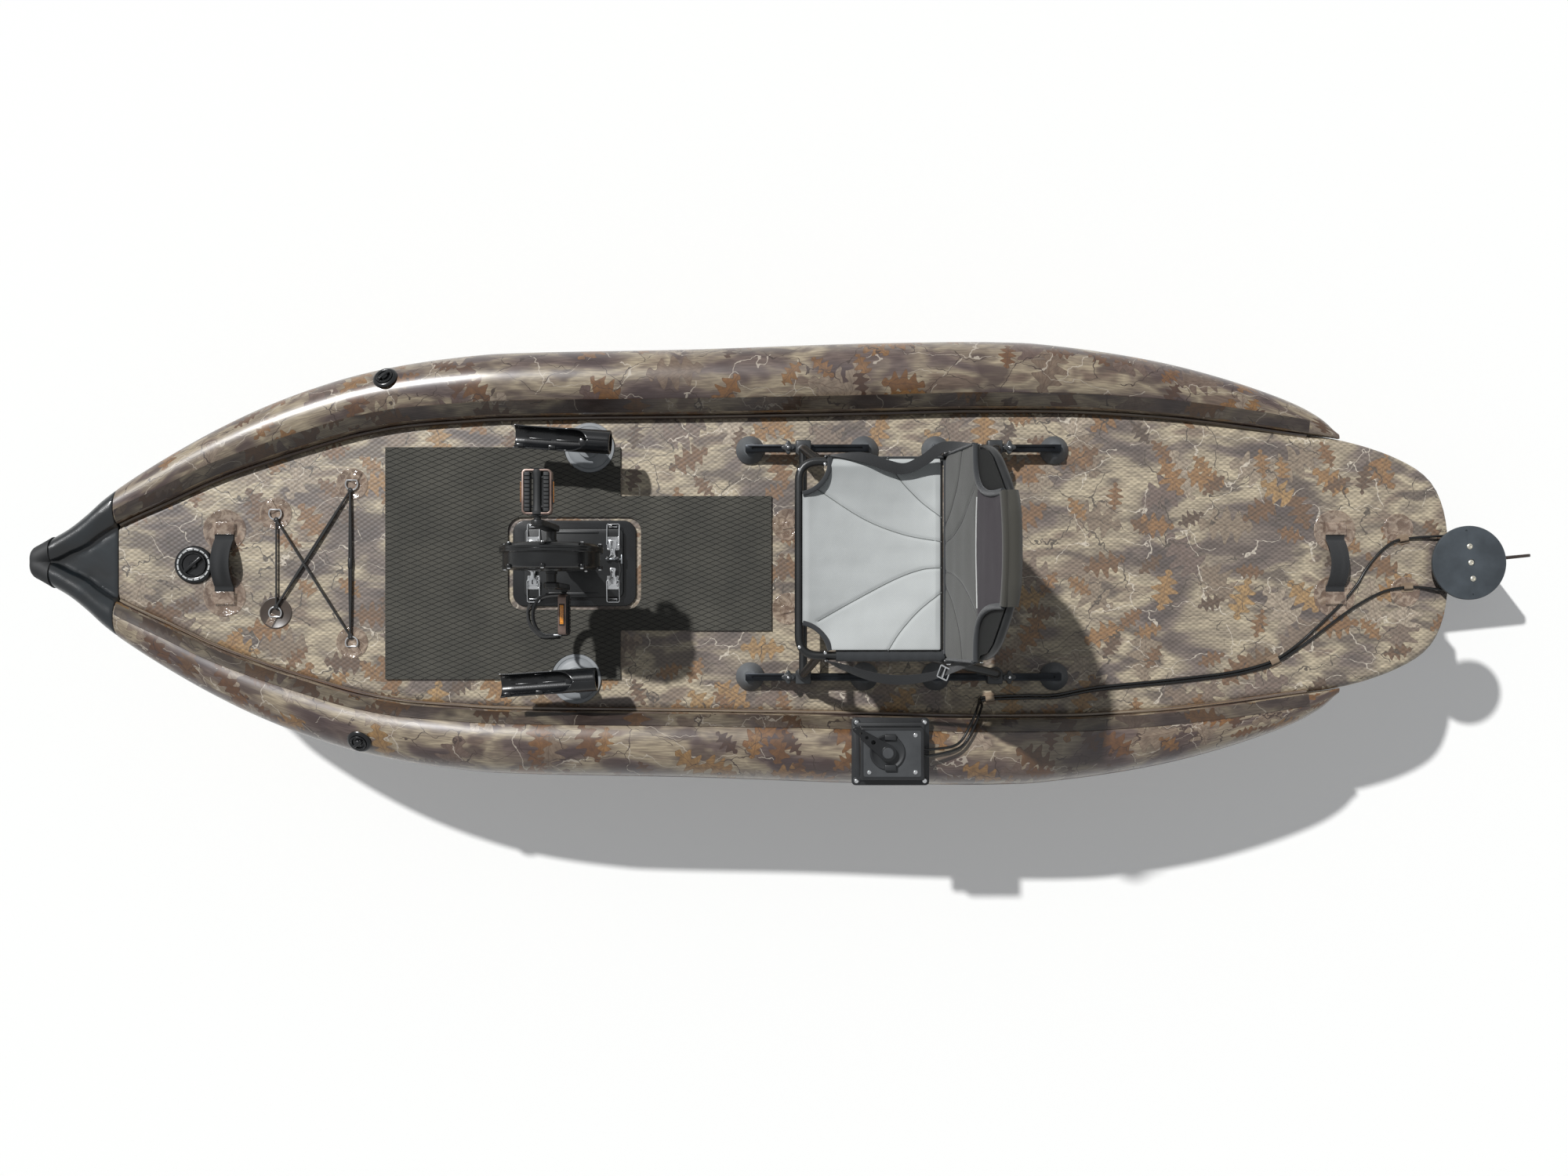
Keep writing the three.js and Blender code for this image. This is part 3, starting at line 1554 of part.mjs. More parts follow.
function bladeSolid() {
  const rings = [];
  const stations = 5;
  const points = 6;
  for (let i = 0; i < stations; i += 1) {
    const share = i / (stations - 1);
    const radius = propeller.hubRadius * 0.6 + share * (propeller.radius - propeller.hubRadius * 0.6);
    const twist = propeller.tipPitch - propeller.rootPitch;
    const pitch = THREE.MathUtils.degToRad(propeller.rootPitch + share * twist);
    const chord = propeller.bladeChord * (0.55 + 0.75 * share - 0.85 * share ** 3);
    const ringPoints = [];
    for (let k = 0; k < points; k += 1) {
      const angle = (2 * Math.PI * k) / points;
      const along = (chord / 2) * Math.cos(angle);
      const across = (propeller.bladeThickness / 2) * (1 - share / 2) * Math.sin(angle);
      const x = along * Math.sin(pitch) + across * Math.cos(pitch);
      const y = along * Math.cos(pitch) - across * Math.sin(pitch);
      ringPoints.push([x, y, radius]);
    }
    rings.push(ringPoints);
  }
  return loft(rings);
}

function buildPropeller(group, shaft) {
  const back = -drive.unitBack - runningGap;
  const middle = back - propeller.hubLength / 2;
  const profile = [
    [0, 0], [propeller.hubRadius * 0.5, 0], [propeller.hubRadius, propeller.coneLength],
    [propeller.hubRadius, propeller.hubLength], [0, propeller.hubLength],
  ];
  const hub = turned(profile, 14).rotateY(Math.PI / 2).translate(back - propeller.hubLength, 0, 0);
  const blade = bladeSolid().translate(middle + propeller.coneLength / 4, 0, 0);
  const other = blade.clone().rotateX(Math.PI);
  const screw = moved(join(hub, blade, other), 0, 0, drive.propAxisHeight);
  add(group, 'propeller', join(screw, shaft), blackPlastic);
}

function buildDrive() {
  const driveX = drive.placeShare * halfLength;
  buildWell(driveX);
  const group = groupAt(model, driveX, 0, 0);
  buildDrivePlate(group);
  buildLatches(group);
  buildGearbox(group);
  buildLeg(group);
  const shaft = buildGears(group);
  buildCrank(group);
  buildPedals(group);
  buildPropeller(group, shaft);
}

// Seat

const slingTop = seat.height + seat.tubeRadius + 2 * seatGap;
const tubeSide = seatHalfWidth - seat.tubeRadius - seatGap;
const railTop = rail.footHeight + rail.thickness;
const clampTop = railTop + rail.clampHeight + 2 * seatGap;

// A sewn sheet over a grid. Rows run from front to back and columns across.
function sheet(columns, rowsCount, place, thickness) {
  const positions = [];
  const faces = [];
  const wide = columns + 1;
  const count = wide * (rowsCount + 1);
  for (let layer = 0; layer < 2; layer += 1) {
    for (let r = 0; r <= rowsCount; r += 1) {
      for (let c = 0; c <= columns; c += 1) {
        const { point, normal, groove } = place(c / columns, r / rowsCount);
        const lift = layer === 0 ? thickness - groove : 0;
        positions.push(...point.clone().add(normal.clone().multiplyScalar(lift)).toArray());
      }
    }
  }
  const quad = (a, b, c, d) => faces.push(a, b, c, a, c, d);
  for (let r = 0; r < rowsCount; r += 1) {
    for (let c = 0; c < columns; c += 1) {
      const a = r * wide + c;
      quad(a, a + 1, a + wide + 1, a + wide);
      quad(count + a + wide, count + a + wide + 1, count + a + 1, count + a);
    }
  }
  for (let c = 0; c < columns; c += 1) {
    quad(c + 1, c, count + c, count + c + 1);
    const a = rowsCount * wide + c;
    quad(a, a + 1, count + a + 1, count + a);
  }
  for (let r = 0; r < rowsCount; r += 1) {
    const a = r * wide;
    quad(a, a + wide, count + a + wide, count + a);
    const b = r * wide + columns;
    quad(b + wide, b, count + b, count + b + wide);
  }
  return outward(positions, faces);
}

// Places of the sewn lines on the seat, from front centre: shares of depth and half width
const seamShares = [
  [[0.12, -0.78], [0.32, -0.72], [0.68, -0.52], [1, -0.15]],
  [[0.12, 0.78], [0.32, 0.6], [0.7, 0.33], [1, 0.13]],
  [[0.58, -1], [0.72, -0.82], [0.87, -0.62], [1, -0.42]],
  [[0.58, 1], [0.72, 0.76], [0.87, 0.54], [1, 0.42]],
];

function grooveAt(lines, along, across, scaleAlong, scaleAcross) {
  let nearest = Infinity;
  lines.forEach((line) => {
    for (let i = 0; i < line.length - 1; i += 1) {
      const a = new THREE.Vector2(line[i][0] * scaleAlong, line[i][1] * scaleAcross);
      const b = new THREE.Vector2(line[i + 1][0] * scaleAlong, line[i + 1][1] * scaleAcross);
      const p = new THREE.Vector2(along * scaleAlong, across * scaleAcross);
      const run = b.clone().sub(a);
      const t = Math.min(1, Math.max(0, p.clone().sub(a).dot(run) / run.lengthSq()));
      nearest = Math.min(nearest, p.distanceTo(a.add(run.multiplyScalar(t))));
    }
  });
  return Math.max(0, 1 - nearest / seat.channelWidth);
}

function seatSling() {
  const half = seatHalfWidth;
  const up = new THREE.Vector3(0, 0, 1);
  const cell = seat.depth / seat.slingRows;
  const place = (u, v) => {
    const across = 2 * u - 1;
    const fromSide = (1 - Math.abs(across)) * half;
    const front = seat.cornerCut * Math.sqrt(Math.max(0, 1 - (fromSide / seat.cornerCut) ** 2));
    const inset = fromSide < seat.cornerCut ? front : 0;
    const x = -inset - v * (seat.depth - inset);
    const fromTube = 1 - Math.abs(across * half) / (tubeSide - 3 * seat.tubeRadius);
    const fromFront = (-x - cell) / (seat.depth - 2 * cell);
    const lengthwise = Math.sin(Math.PI * Math.min(1, Math.max(0, fromFront))) ** seat.sagPower;
    const sag = seat.slingSag * Math.sqrt(Math.max(0, Math.min(1, 2 * fromTube))) * lengthwise;
    const groove = seat.channelDepth * grooveAt(seamShares, -x / seat.depth, across, seat.depth, half);
    return { point: new THREE.Vector3(x, across * half, -sag), normal: up, groove };
  };
  return sheet(20, seat.slingRows, place, seat.slingThickness);
}

function buildSeat() {
  const seatX = seat.placeShare * halfLength;
  const group = groupAt(model, seatX, 0, deck);
  const side = tubeSide;
  const height = seat.height;
  const radius = seat.tubeRadius;
  const legOut = side + seat.legSpread;
  const legEnd = clampTop + seatGap;
  const loop = bentTube([
    [-seat.depth - radius * 2, -side, height],
    [0, -side, height],
    [0, side, height],
    [-seat.depth - radius * 2, side, height],
  ], radius, seat.bend, 7, 3);
  const rearCross = bentTube([
    [-seat.depth + radius, -side, height],
    [-seat.depth + radius, side, height],
  ], radius, seat.bend, 7);
  const legs = [];
  [1, -1].forEach((hand) => {
    legs.push(bentTube([
      [-seat.bend, hand * side, height],
      [-seat.frontLeg, hand * legOut, legEnd + seat.tubeRadius * 3],
      [-seat.frontLeg, hand * legOut, legEnd],
    ], radius, seat.tubeRadius, 7, 1));
    legs.push(bentTube([
      [-seat.depth + seat.bend, hand * side, height],
      [-seat.rearLeg, hand * legOut, legEnd + seat.tubeRadius * 3],
      [-seat.rearLeg, hand * legOut, legEnd],
    ], radius, seat.tubeRadius, 7, 1));
  });
  const braceShare = (height - seat.braceHeight) / (height - legEnd - seat.tubeRadius * 3);
  const braceX = -seat.bend + braceShare * (seat.bend - seat.frontLeg);
  const braceSide = side + braceShare * seat.legSpread;
  const brace = bentTube([
    [braceX, -braceSide, seat.braceHeight],
    [braceX, braceSide, seat.braceHeight],
  ], radius, seat.bend, 7);
  const ears = [1, -1].map((hand) => block(
    2.6 * radius,
    radius,
    seat.pivotRise + 2 * radius,
    -seat.depth - radius,
    hand * (side + radius * 1.3),
    height - radius / 2,
  ));
  const pivotHole = bar('y', seat.pinRadius + runningGap, -2 * side, 2 * side, [
    -seat.depth - radius,
    height + seat.pivotRise,
  ], 8);
  const solid = cut(join(loop, rearCross, ...legs, brace, ...ears), pivotHole);
  add(group, 'seat_frame', solid, blackMetal);
  add(group, 'seat_sling', moved(seatSling(), radius / 2, 0, slingTop), paleMesh);
  buildClamps(group);
  buildBack(group, side);
}

function buildClamps(group) {
  [[-seat.frontLeg, 1], [-seat.rearLeg, -1]].forEach(([x, toBow], i) => {
    [1, -1].forEach((hand) => {
      const y = hand * railSide;
      const bottom = railTop - rail.cheekDrop;
      const body = cut(
        join(
          block(rail.clampLength, rail.clampWidth, rail.clampHeight + rail.cheekDrop + seatGap, x, y, bottom),
          block(
            rail.tongueLength,
            rail.width,
            rail.tongueThickness,
            x + toBow * (rail.tongueLength / 2),
            y,
            railTop + seatGap,
          ),
        ),
        block(
          rail.clampLength + 2 * overrun,
          rail.width + 2 * rail.cheekGap,
          rail.cheekDrop + overrun + seatGap,
          x,
          y,
          bottom - overrun,
        ),
      );
      const knobX = x + toBow * rail.knobOffset;
      const knobBottom = railTop + rail.tongueThickness;
      const lobes = [bar('z', rail.knobRadius, knobBottom, knobBottom + rail.knobHeight, [knobX, y], 10)];
      for (let i = 0; i < rail.lobeCount; i += 1) {
        const angle = (2 * Math.PI * i) / rail.lobeCount;
        const spot = [knobX + rail.knobRadius * Math.cos(angle), y + rail.knobRadius * Math.sin(angle)];
        lobes.push(bar('z', rail.lobeRadius, knobBottom, knobBottom + rail.knobHeight * 0.7, spot, 6));
      }
      const name = `seat_clamp_${['front', 'rear'][i]}_${hand > 0 ? 'port' : 'starboard'}`;
      add(group, name, join(body, ...lobes), blackPlastic);
    });
  });
}

function backSling() {
  const half = backHalfWidth;
  const height = seat.backHeight - seat.backStart;
  const normal = new THREE.Vector3(1, 0, 0);
  const arcs = [0.3, 0.56, 0.8];
  const place = (u, v) => {
    const across = 2 * u - 1;
    const fromSide = (1 - Math.abs(across)) * half;
    const opening = seat.backCutHeight * Math.sqrt(Math.max(0, 1 - (fromSide / seat.backCutWidth) ** 2));
    const top = height - opening - seat.backCorner * 0.35 * across ** 2;
    const z = v * top;
    const lines = arcs.map((share) => Math.abs(z - height * (share + 0.12 * across ** 2)));
    const groove = seat.channelDepth * Math.max(0, 1 - Math.min(...lines) / seat.channelWidth);
    const crown = seat.channelDepth * (1 - across ** 2) * Math.sin(Math.PI * v);
    return { point: new THREE.Vector3(crown, across * half, z), normal, groove };
  };
  return sheet(16, 15, place, seat.backThickness);
}

function buildBack(group, side) {
  const radius = seat.tubeRadius;
  const back = groupAt(group, -seat.depth - radius, 0, seat.height + seat.pivotRise);
  back.rotation.y = -THREE.MathUtils.degToRad(seat.backLean);
  const width = side - radius / 2 - seatGap - runningGap;
  const frame = bentTube([
    [0, -width, -radius / 2],
    [0, -width, seat.backHeight - seat.backCorner * 0.7],
    [0, -width * 0.45, seat.backHeight],
    [0, width * 0.45, seat.backHeight],
    [0, width, seat.backHeight - seat.backCorner * 0.7],
    [0, width, -radius / 2],
  ], radius, seat.backCorner * 0.4, 7, 2);
  const cross = bentTube([[0, -width, radius * 5], [0, width, radius * 5]], radius * 0.8, radius, 8);
  const reach = side + 2 * radius;
  const pins = [1, -1].map((hand) => bar('y', seat.pinRadius, hand * width, hand * reach, [0, 0], 8));
  add(back, 'back_frame', join(frame, cross, ...pins), blackMetal);
  add(back, 'back_sling', moved(backSling(), radius + 2 * seatGap, 0, seat.backStart), darkMesh);
}

// Steering box, lever and cables

function steeringSpot() {
  const x = steering.placeShare * halfLength;
  const row = rowAt(x);
  const middle = tubeMiddle(row);
  return { x, y: middle.y, top: middle.z + row.tubeHeight };
}

function buildSteering() {
  const spot = steeringSpot();
  const group = groupAt(model, spot.x, spot.y, spot.top + steering.tubeClearance);
  const caseTop = steering.flangeThickness + steering.caseHeight;
  const face = [steering.caseLength, steering.caseWidth];
  const saddle = cut(
    block(...face, steering.saddleDepth, 0, 0, -steering.saddleDepth + seatGap),
    moved(grownTube(1), -spot.x, -spot.y, -spot.top - steering.tubeClearance),
  );
  const box = cut(
    join(
      plate(steering.flangeLength, steering.flangeWidth, steering.flangeThickness, steering.screwInset, 0, 3),
      plate(...face, steering.caseHeight, steering.wall, steering.flangeThickness - seatGap, 3),
      saddle,
    ),
    block(
      steering.caseLength - 2 * steering.wall,
      steering.caseWidth - 2 * steering.wall,
      steering.caseHeight,
      0,
      0,
      steering.flangeThickness,
    ),
    ...[1, -1].map((hand) => bar(
      'x',
      steering.cableHole,
      -steering.caseLength,
      0,
      [(hand * cable.spacing), cable.boxHeight],
      12,
    )),
  );
  add(group, 'control_box', box, blackPlastic);
  const lidBottom = caseTop;
  const dial = [-steering.dialForward, steering.dialSide];
  const dialTop = lidBottom + steering.lidThickness + steering.dialHeight;
  const lid = cut(
    join(
      plate(...face, steering.lidThickness, steering.wall, lidBottom, 3),
      bar('z', steering.dialRadius, lidBottom, dialTop, dial, 28),
    ),
    bar('z', steering.shaftRadius + runningGap, lidBottom - overrun, dialTop + overrun, dial, 14),
  );
  add(group, 'control_lid', lid, blackPlastic);
  const hubBottom = dialTop + seatGap;
  const armBottom = hubBottom + steering.hubHeight / 2;
  const armTop = armBottom + steering.leverThickness;
  const hornBottom = lidBottom - steering.hornDepth;
  const lever = cut(
    join(
      bar('z', steering.hubRadius, hubBottom, hubBottom + steering.hubHeight, [0, 0], 20),
      block(
        steering.leverLength,
        steering.leverWidth,
        steering.leverThickness,
        steering.leverLength / 2,
        0,
        armBottom,
      ),
      bar('z', steering.leverWidth / 2, armBottom, armTop, [steering.leverLength, 0], 16),
      bar('z', steering.shaftRadius, hornBottom, hubBottom + seatGap, [0, 0], 14),
      block(steering.leverWidth / 2, 2 * steering.hornLength, steering.hornThickness, 0, 0, hornBottom),
    ),
    ...Array.from({ length: steering.holeCount }, (_, i) => bar(
      'z',
      steering.holeRadius,
      hubBottom,
      hubBottom + 2 * steering.hubHeight,
      [steering.leverLength * (1 - i / (steering.holeCount + 1)), 0],
      10,
    )),
  );
  const leverGroup = groupAt(group, dial[0], dial[1], 0);
  leverGroup.rotation.z = THREE.MathUtils.degToRad(steering.leverAngle);
  add(leverGroup, 'steering_lever', lever, blackPlastic);
}

// A side tube's own form, grown by the seat gap, to cut what rests on it
function grownTube(side) {
  const grown = rows.filter((row) => row.tubeHeight > 0 && row.place <= capStartShare).map((row) => ({
    ...row,
    outerEdge: row.outerEdge + seatGap,
    tubeHeight: row.tubeHeight + seatGap,
  }));
  return loft(grown.map((row) => tubeRing(row, side, false)));
}

function drumSpot() {
  return { x: -halfLength - rudder.behind, side: rudder.drumRadius + cable.radius + runningGap };
}

// The straight run of a cable through a clip, from the forward end to the aft end
function throughClip(index, shift = 0) {
  const place = clipPlaces[index];
  const turn = THREE.MathUtils.degToRad(place.turn);
  const ahead = new THREE.Vector2(Math.cos(turn), Math.sin(turn)).multiplyScalar(clip.length * clip.runShare);
  const aside = new THREE.Vector2(-Math.sin(turn), Math.cos(turn)).multiplyScalar(shift);
  const height = deck + cable.clipLift;
  return [1, -1].map((end) => [
    place.x + end * ahead.x + aside.x,
    place.y + end * ahead.y + aside.y,
    height,
  ]);
}

function onRoute(stretch, shift = 0, back = 0) {
  return cableShares[stretch].map(([along, side, lift]) => [
    along * halfLength - back,
    side * halfBeam + shift,
    deck + lift,
  ]);
}

function cableRoute(hand) {
  const spot = steeringSpot();
  const shift = (hand * cable.spacing) / 2;
  const drum = drumSpot();
  const boxZ = spot.top + steering.tubeClearance + cable.boxHeight;
  const boxX = spot.x - steering.caseLength / 2;
  const fromBox = [
    [boxX + steering.wall, spot.y + hand * cable.spacing, boxZ],
    [boxX - cable.straight, spot.y + hand * cable.spacing, boxZ],
    ...onRoute('fromBox', shift, shift),
    ...throughClip(0, shift),
    ...onRoute('alongDeck', shift),
    ...throughClip(1, shift),
  ];
  const toRudder = hand < 0
    ? [...onRoute('toStarboard'), ...throughClip(2), ...onRoute('starboardEdge')]
    : [...onRoute('toPort'), ...throughClip(3), ...onRoute('portEdge')];
  return [
    ...fromBox,
    ...toRudder,
    [-halfLength, hand * drum.side, deck + cable.drumLift],
    [drum.x, hand * drum.side, deck + cable.drumLift],
  ];
}

function buildCables() {
  [['starboard', -1], ['port', 1]].forEach(([name, hand]) => {
    const line = bentTube(cableRoute(hand), cable.radius, cable.bend, cable.sides, 1);
    add(model, `steering_cable_${name}`, line, webbing);
  });
}

function buildRudder() {
  const x = -halfLength - rudder.behind;
  const plateX = -halfLength - seatGap - rudder.plateThickness / 2;
  const sleeveTop = deck + rudder.drumLift - runningGap;
  const plateBottomHeight = (deck - rudder.plateHeight) / 2;
  const bracket = cut(
    join(
      block(rudder.plateThickness, rudder.plateWidth, rudder.plateHeight, plateX, 0, plateBottomHeight),
      block(
        rudder.behind,
        rudder.lugWidth,
        sleeveTop - rudder.sleeveBottom - rudder.drumLift - rudder.sleeveBottom,
        x + rudder.behind / 2 - seatGap - rudder.plateThickness / 2,
        0,
        rudder.sleeveBottom + rudder.drumLift,
      ),
      bar('z', rudder.sleeveRadius, rudder.sleeveBottom, sleeveTop, [x, 0], 20),
    ),
    bar('z', rudder.pinRadius + runningGap, rudder.sleeveBottom - overrun, sleeveTop + overrun, [x, 0], 18),
  );
  add(model, 'rudder_bracket', bracket, steel);

  const group = groupAt(model, x, 0, 0);
  group.rotation.z = THREE.MathUtils.degToRad(rudder.angle);
  const drumBottom = deck + rudder.drumLift;
  const drumTop = drumBottom + rudder.drumHeight;
  const yokeTop = rudder.sleeveBottom - runningGap;
  const yokeLength = rudder.yokeBack + rudder.yokeFront;
  const yokeX = (rudder.yokeFront - rudder.yokeBack) / 2;
  const head = cut(
    join(
      bar('z', rudder.drumRadius, drumBottom, drumTop, [0, 0], 24),
      bar('z', rudder.discRadius, drumTop - seatGap, drumTop + rudder.discThickness, [0, 0], 36),
      bar('z', rudder.pinRadius, yokeTop - seatGap, drumBottom + seatGap, [0, 0], 18),
      block(yokeLength, rudder.yokeWidth, rudder.yokeHeight, yokeX, 0, yokeTop - rudder.yokeHeight),
    ),
    block(
      rudder.yokeBack + rudder.yokeFront,
      rudder.slotWidth,
      rudder.yokeHeight,
      yokeX - rudder.yokeFront + seatGap,
      0,
      yokeTop - rudder.yokeHeight - rudder.pivotHeight,
    ),
  );
  const pivot = [-rudder.pivotBack, rudder.pivotHeight];
  const pin = bar('y', rudder.pivotRadius, -rudder.slotWidth, rudder.slotWidth, pivot, 12);
  add(group, 'rudder_head', join(head, pin), slate);
  const outline = new THREE.Shape();
  const rear = -rudder.bladeChord;
  outline.moveTo(0, rudder.bladeTop);
  outline.lineTo(-rudder.bladeTop, rudder.bladeTop);
  outline.lineTo(-rudder.neckWidth, 0);
  outline.lineTo(-rudder.neckWidth, -rudder.neckHeight / 2);
  outline.quadraticCurveTo(-rudder.neckWidth, -rudder.neckHeight, -2 * rudder.neckWidth, -rudder.neckHeight);
  outline.lineTo(rear + rudder.bladeTop, -rudder.neckHeight);
  outline.quadraticCurveTo(rear, -rudder.neckHeight, rear - rudder.bladeTop / 2, -rudder.neckHeight * 1.3);
  outline.lineTo(rear - rudder.bladeRake, -rudder.bladeDepth * 0.93);
  outline.quadraticCurveTo(rear - rudder.bladeRake, -rudder.bladeDepth, rear, -rudder.bladeDepth);
  outline.lineTo(-rudder.frontRake, -rudder.bladeDepth * 0.96);
  outline.lineTo(0, -rudder.bladeDepth * 0.3);
  outline.closePath();
  const half = rudder.bladeThickness / 2;
  const blade = new THREE.ExtrudeGeometry(outline, {
    depth: rudder.bladeThickness,
    bevelEnabled: false,
    curveSegments: 4,
  })
    .rotateX(Math.PI / 2)
    .translate(-rudder.pivotBack + rudder.bladeTop * 0.7, half, rudder.pivotHeight);
  const bore = bar('y', rudder.pivotRadius + seatGap, -rudder.slotWidth, rudder.slotWidth, pivot, 12);
  const bored = cut(blade, bore);
  add(group, 'rudder_blade', bored, slate);
}

buildHull();
buildPad();
buildHandlesAndRings();
buildBungee();
buildFeetAndRails();
buildRodHolders();
buildValves();
buildDrive();
buildSeat();
buildSteering();
buildCables();
buildRudder();

export default model;
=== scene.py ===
# %% [markdown]
# # An inflatable pedal kayak, seen from straight above
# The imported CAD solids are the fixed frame. Each cell below dresses one piece of it, in metres and
# in the CAD's own place: +X is the bow, +Y port and +Z up, with the origin under the flat bottom.

# %% The frame
import math

import bmesh
import bpy
import numpy as np
from mathutils import Matrix, Vector, noise
from mathutils.bvhtree import BVHTree


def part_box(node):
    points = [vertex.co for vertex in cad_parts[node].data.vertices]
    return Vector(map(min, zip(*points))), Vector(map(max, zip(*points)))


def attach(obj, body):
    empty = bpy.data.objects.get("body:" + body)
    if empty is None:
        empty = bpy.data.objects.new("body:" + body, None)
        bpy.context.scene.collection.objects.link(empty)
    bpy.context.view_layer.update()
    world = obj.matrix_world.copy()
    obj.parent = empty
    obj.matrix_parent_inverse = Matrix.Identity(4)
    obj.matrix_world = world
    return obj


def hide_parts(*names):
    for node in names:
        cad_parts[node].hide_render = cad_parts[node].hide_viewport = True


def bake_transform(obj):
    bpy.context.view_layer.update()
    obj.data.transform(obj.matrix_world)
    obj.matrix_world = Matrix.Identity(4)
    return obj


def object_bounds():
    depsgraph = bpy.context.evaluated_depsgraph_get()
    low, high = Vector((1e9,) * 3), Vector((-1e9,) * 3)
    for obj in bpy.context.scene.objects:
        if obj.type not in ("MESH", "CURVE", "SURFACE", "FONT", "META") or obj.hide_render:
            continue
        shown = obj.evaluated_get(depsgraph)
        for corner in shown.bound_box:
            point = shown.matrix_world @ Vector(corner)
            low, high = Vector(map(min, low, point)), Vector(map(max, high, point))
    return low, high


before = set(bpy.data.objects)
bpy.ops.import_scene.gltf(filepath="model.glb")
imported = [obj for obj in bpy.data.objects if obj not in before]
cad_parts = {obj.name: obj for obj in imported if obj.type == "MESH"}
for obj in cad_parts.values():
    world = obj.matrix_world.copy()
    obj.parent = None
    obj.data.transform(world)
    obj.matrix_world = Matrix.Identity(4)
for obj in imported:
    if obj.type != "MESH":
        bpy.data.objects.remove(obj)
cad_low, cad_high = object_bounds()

mm = 0.001
print("CAD box", [round(value, 4) for value in (*cad_low, *cad_high)])

# %% [markdown]
# ## Camera
# The photograph looks straight down from about three metres, with the bow on the left. So the
# camera hangs over the deck and is turned half round. It is made first, because everything
# else is judged through it.

# %% Camera
camera = bpy.data.objects.new("camera", bpy.data.cameras.new("camera"))
bpy.context.scene.collection.objects.link(camera)
camera.location = (-0.106, 0.14, 3.15)
camera.rotation_euler = (0, 0, math.pi)
camera.data.lens = 28.7
camera.data.sensor_width = 36
camera.data.shift_y = 0.0215
bpy.context.scene.camera = camera
print("camera at", tuple(round(value, 3) for value in camera.location))

# %% [markdown]
# ## Small tools
# Nothing may stay selected by accident, because an operator acts on all that is selected. These
# few helpers start a primitive, cut or join pieces, and settle a finished piece at the origin.

# %% Selecting and applying
def only(*pieces):
    bpy.ops.object.select_all(action="DESELECT")
    for piece in pieces:
        piece.select_set(True)
    bpy.context.view_layer.objects.active = pieces[0]


def editing(piece, select="SELECT"):
    only(piece)
    bpy.ops.object.mode_set(mode="EDIT")
    bpy.ops.mesh.select_all(action=select)


def done_editing():
    bpy.ops.object.mode_set(mode="OBJECT")


def tidy_mesh(piece, gap=1e-5):
    editing(piece)
    bpy.ops.mesh.remove_doubles(threshold=gap)
    bpy.ops.mesh.normals_make_consistent(inside=False)
    done_editing()
    return piece


def modify(piece, kind, **settings):
    only(piece)
    modifier = piece.modifiers.new(kind.lower(), kind)
    for key, value in settings.items():
        setattr(modifier, key, value)
    bpy.ops.object.modifier_apply(modifier=modifier.name)
    return piece


def bevelled(piece, width, segments=2, angle=35):
    return modify(piece, "BEVEL", width=width, segments=segments, limit_method="ANGLE",
                  angle_limit=math.radians(angle), use_clamp_overlap=True)


def subdivided(piece, levels=1):
    return modify(piece, "SUBSURF", levels=levels, render_levels=levels)


def carved(piece, *tools, operation="DIFFERENCE"):
    for tool in tools:
        modify(piece, "BOOLEAN", operation=operation, object=tool, solver="MANIFOLD")
        bpy.data.objects.remove(tool)
    return piece


def settle(piece):
    only(piece)
    bpy.ops.object.transform_apply(location=True, rotation=True, scale=True)
    return piece


def moved(piece, matrix):
    settle(piece)
    piece.data.transform(matrix)
    return piece


def joined(name, *pieces):
    only(*pieces)
    if len(pieces) > 1:
        bpy.ops.object.join()
    pieces[0].name = name
    return settle(pieces[0])


def copied(piece, name, matrix=Matrix.Identity(4)):
    copy = piece.copy()
    copy.data = piece.data.copy()
    copy.name = name
    bpy.context.scene.collection.objects.link(copy)
    copy.data.transform(matrix)
    if matrix.determinant() < 0:
        copy.data.flip_normals()
    return copy


def placed(piece, centre=(0, 0, 0), axis=(0, 0, 1), turn=0):
    """Stands a piece that was made about the upright axis on another axis and centre."""
    lean = Vector((0, 0, 1)).rotation_difference(Vector(axis).normalized()).to_matrix().to_4x4()
    return moved(piece, Matrix.Translation(Vector(centre)) @ lean @ Matrix.Rotation(turn, 4, "Z"))


def dress(piece, material, body, slot, stands_for=(), smooth=35):
    """The last step for every piece: its finish, its shading, and the CAD body that it moves with."""
    settle(piece)
    if material:
        piece.data.materials.clear()
        piece.data.materials.append(material)
    if smooth:
        bpy.ops.object.shade_smooth_by_angle(angle=math.radians(smooth))
    if body:
        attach(piece, body)
    if stands_for:
        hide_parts(*stands_for)
    print(piece.name, len(piece.data.polygons), "faces on", body)
    return piece

# %% [markdown]
# ## Starting shapes
# A box, a slab from an outline, a turned body, a tube along a path and a wrapped grid are enough
# for this boat. Each starts as a primitive or a drawn profile and is then extruded, spun or bent.

# %% Starting shapes
def box(name, low, high, bevel=0, segments=2):
    bpy.ops.object.select_all(action="DESELECT")
    middle = [(a + b) / 2 for a, b in zip(low, high)]
    bpy.ops.mesh.primitive_cube_add(size=1, location=middle)
    piece = bpy.context.object
    piece.name = name
    piece.scale = [b - a for a, b in zip(low, high)]
    settle(piece)
    return bevelled(piece, bevel, segments) if bevel else piece


def rod(name, radius, start, end, sides=24, bevel=0, segments=2):
    bpy.ops.object.select_all(action="DESELECT")
    start, end = Vector(start), Vector(end)
    bpy.ops.mesh.primitive_cylinder_add(vertices=sides, radius=radius, depth=(end - start).length)
    piece = bpy.context.object
    piece.name = name
    if bevel:
        bevelled(piece, bevel, segments, 60)
    return placed(piece, (start + end) / 2, end - start)


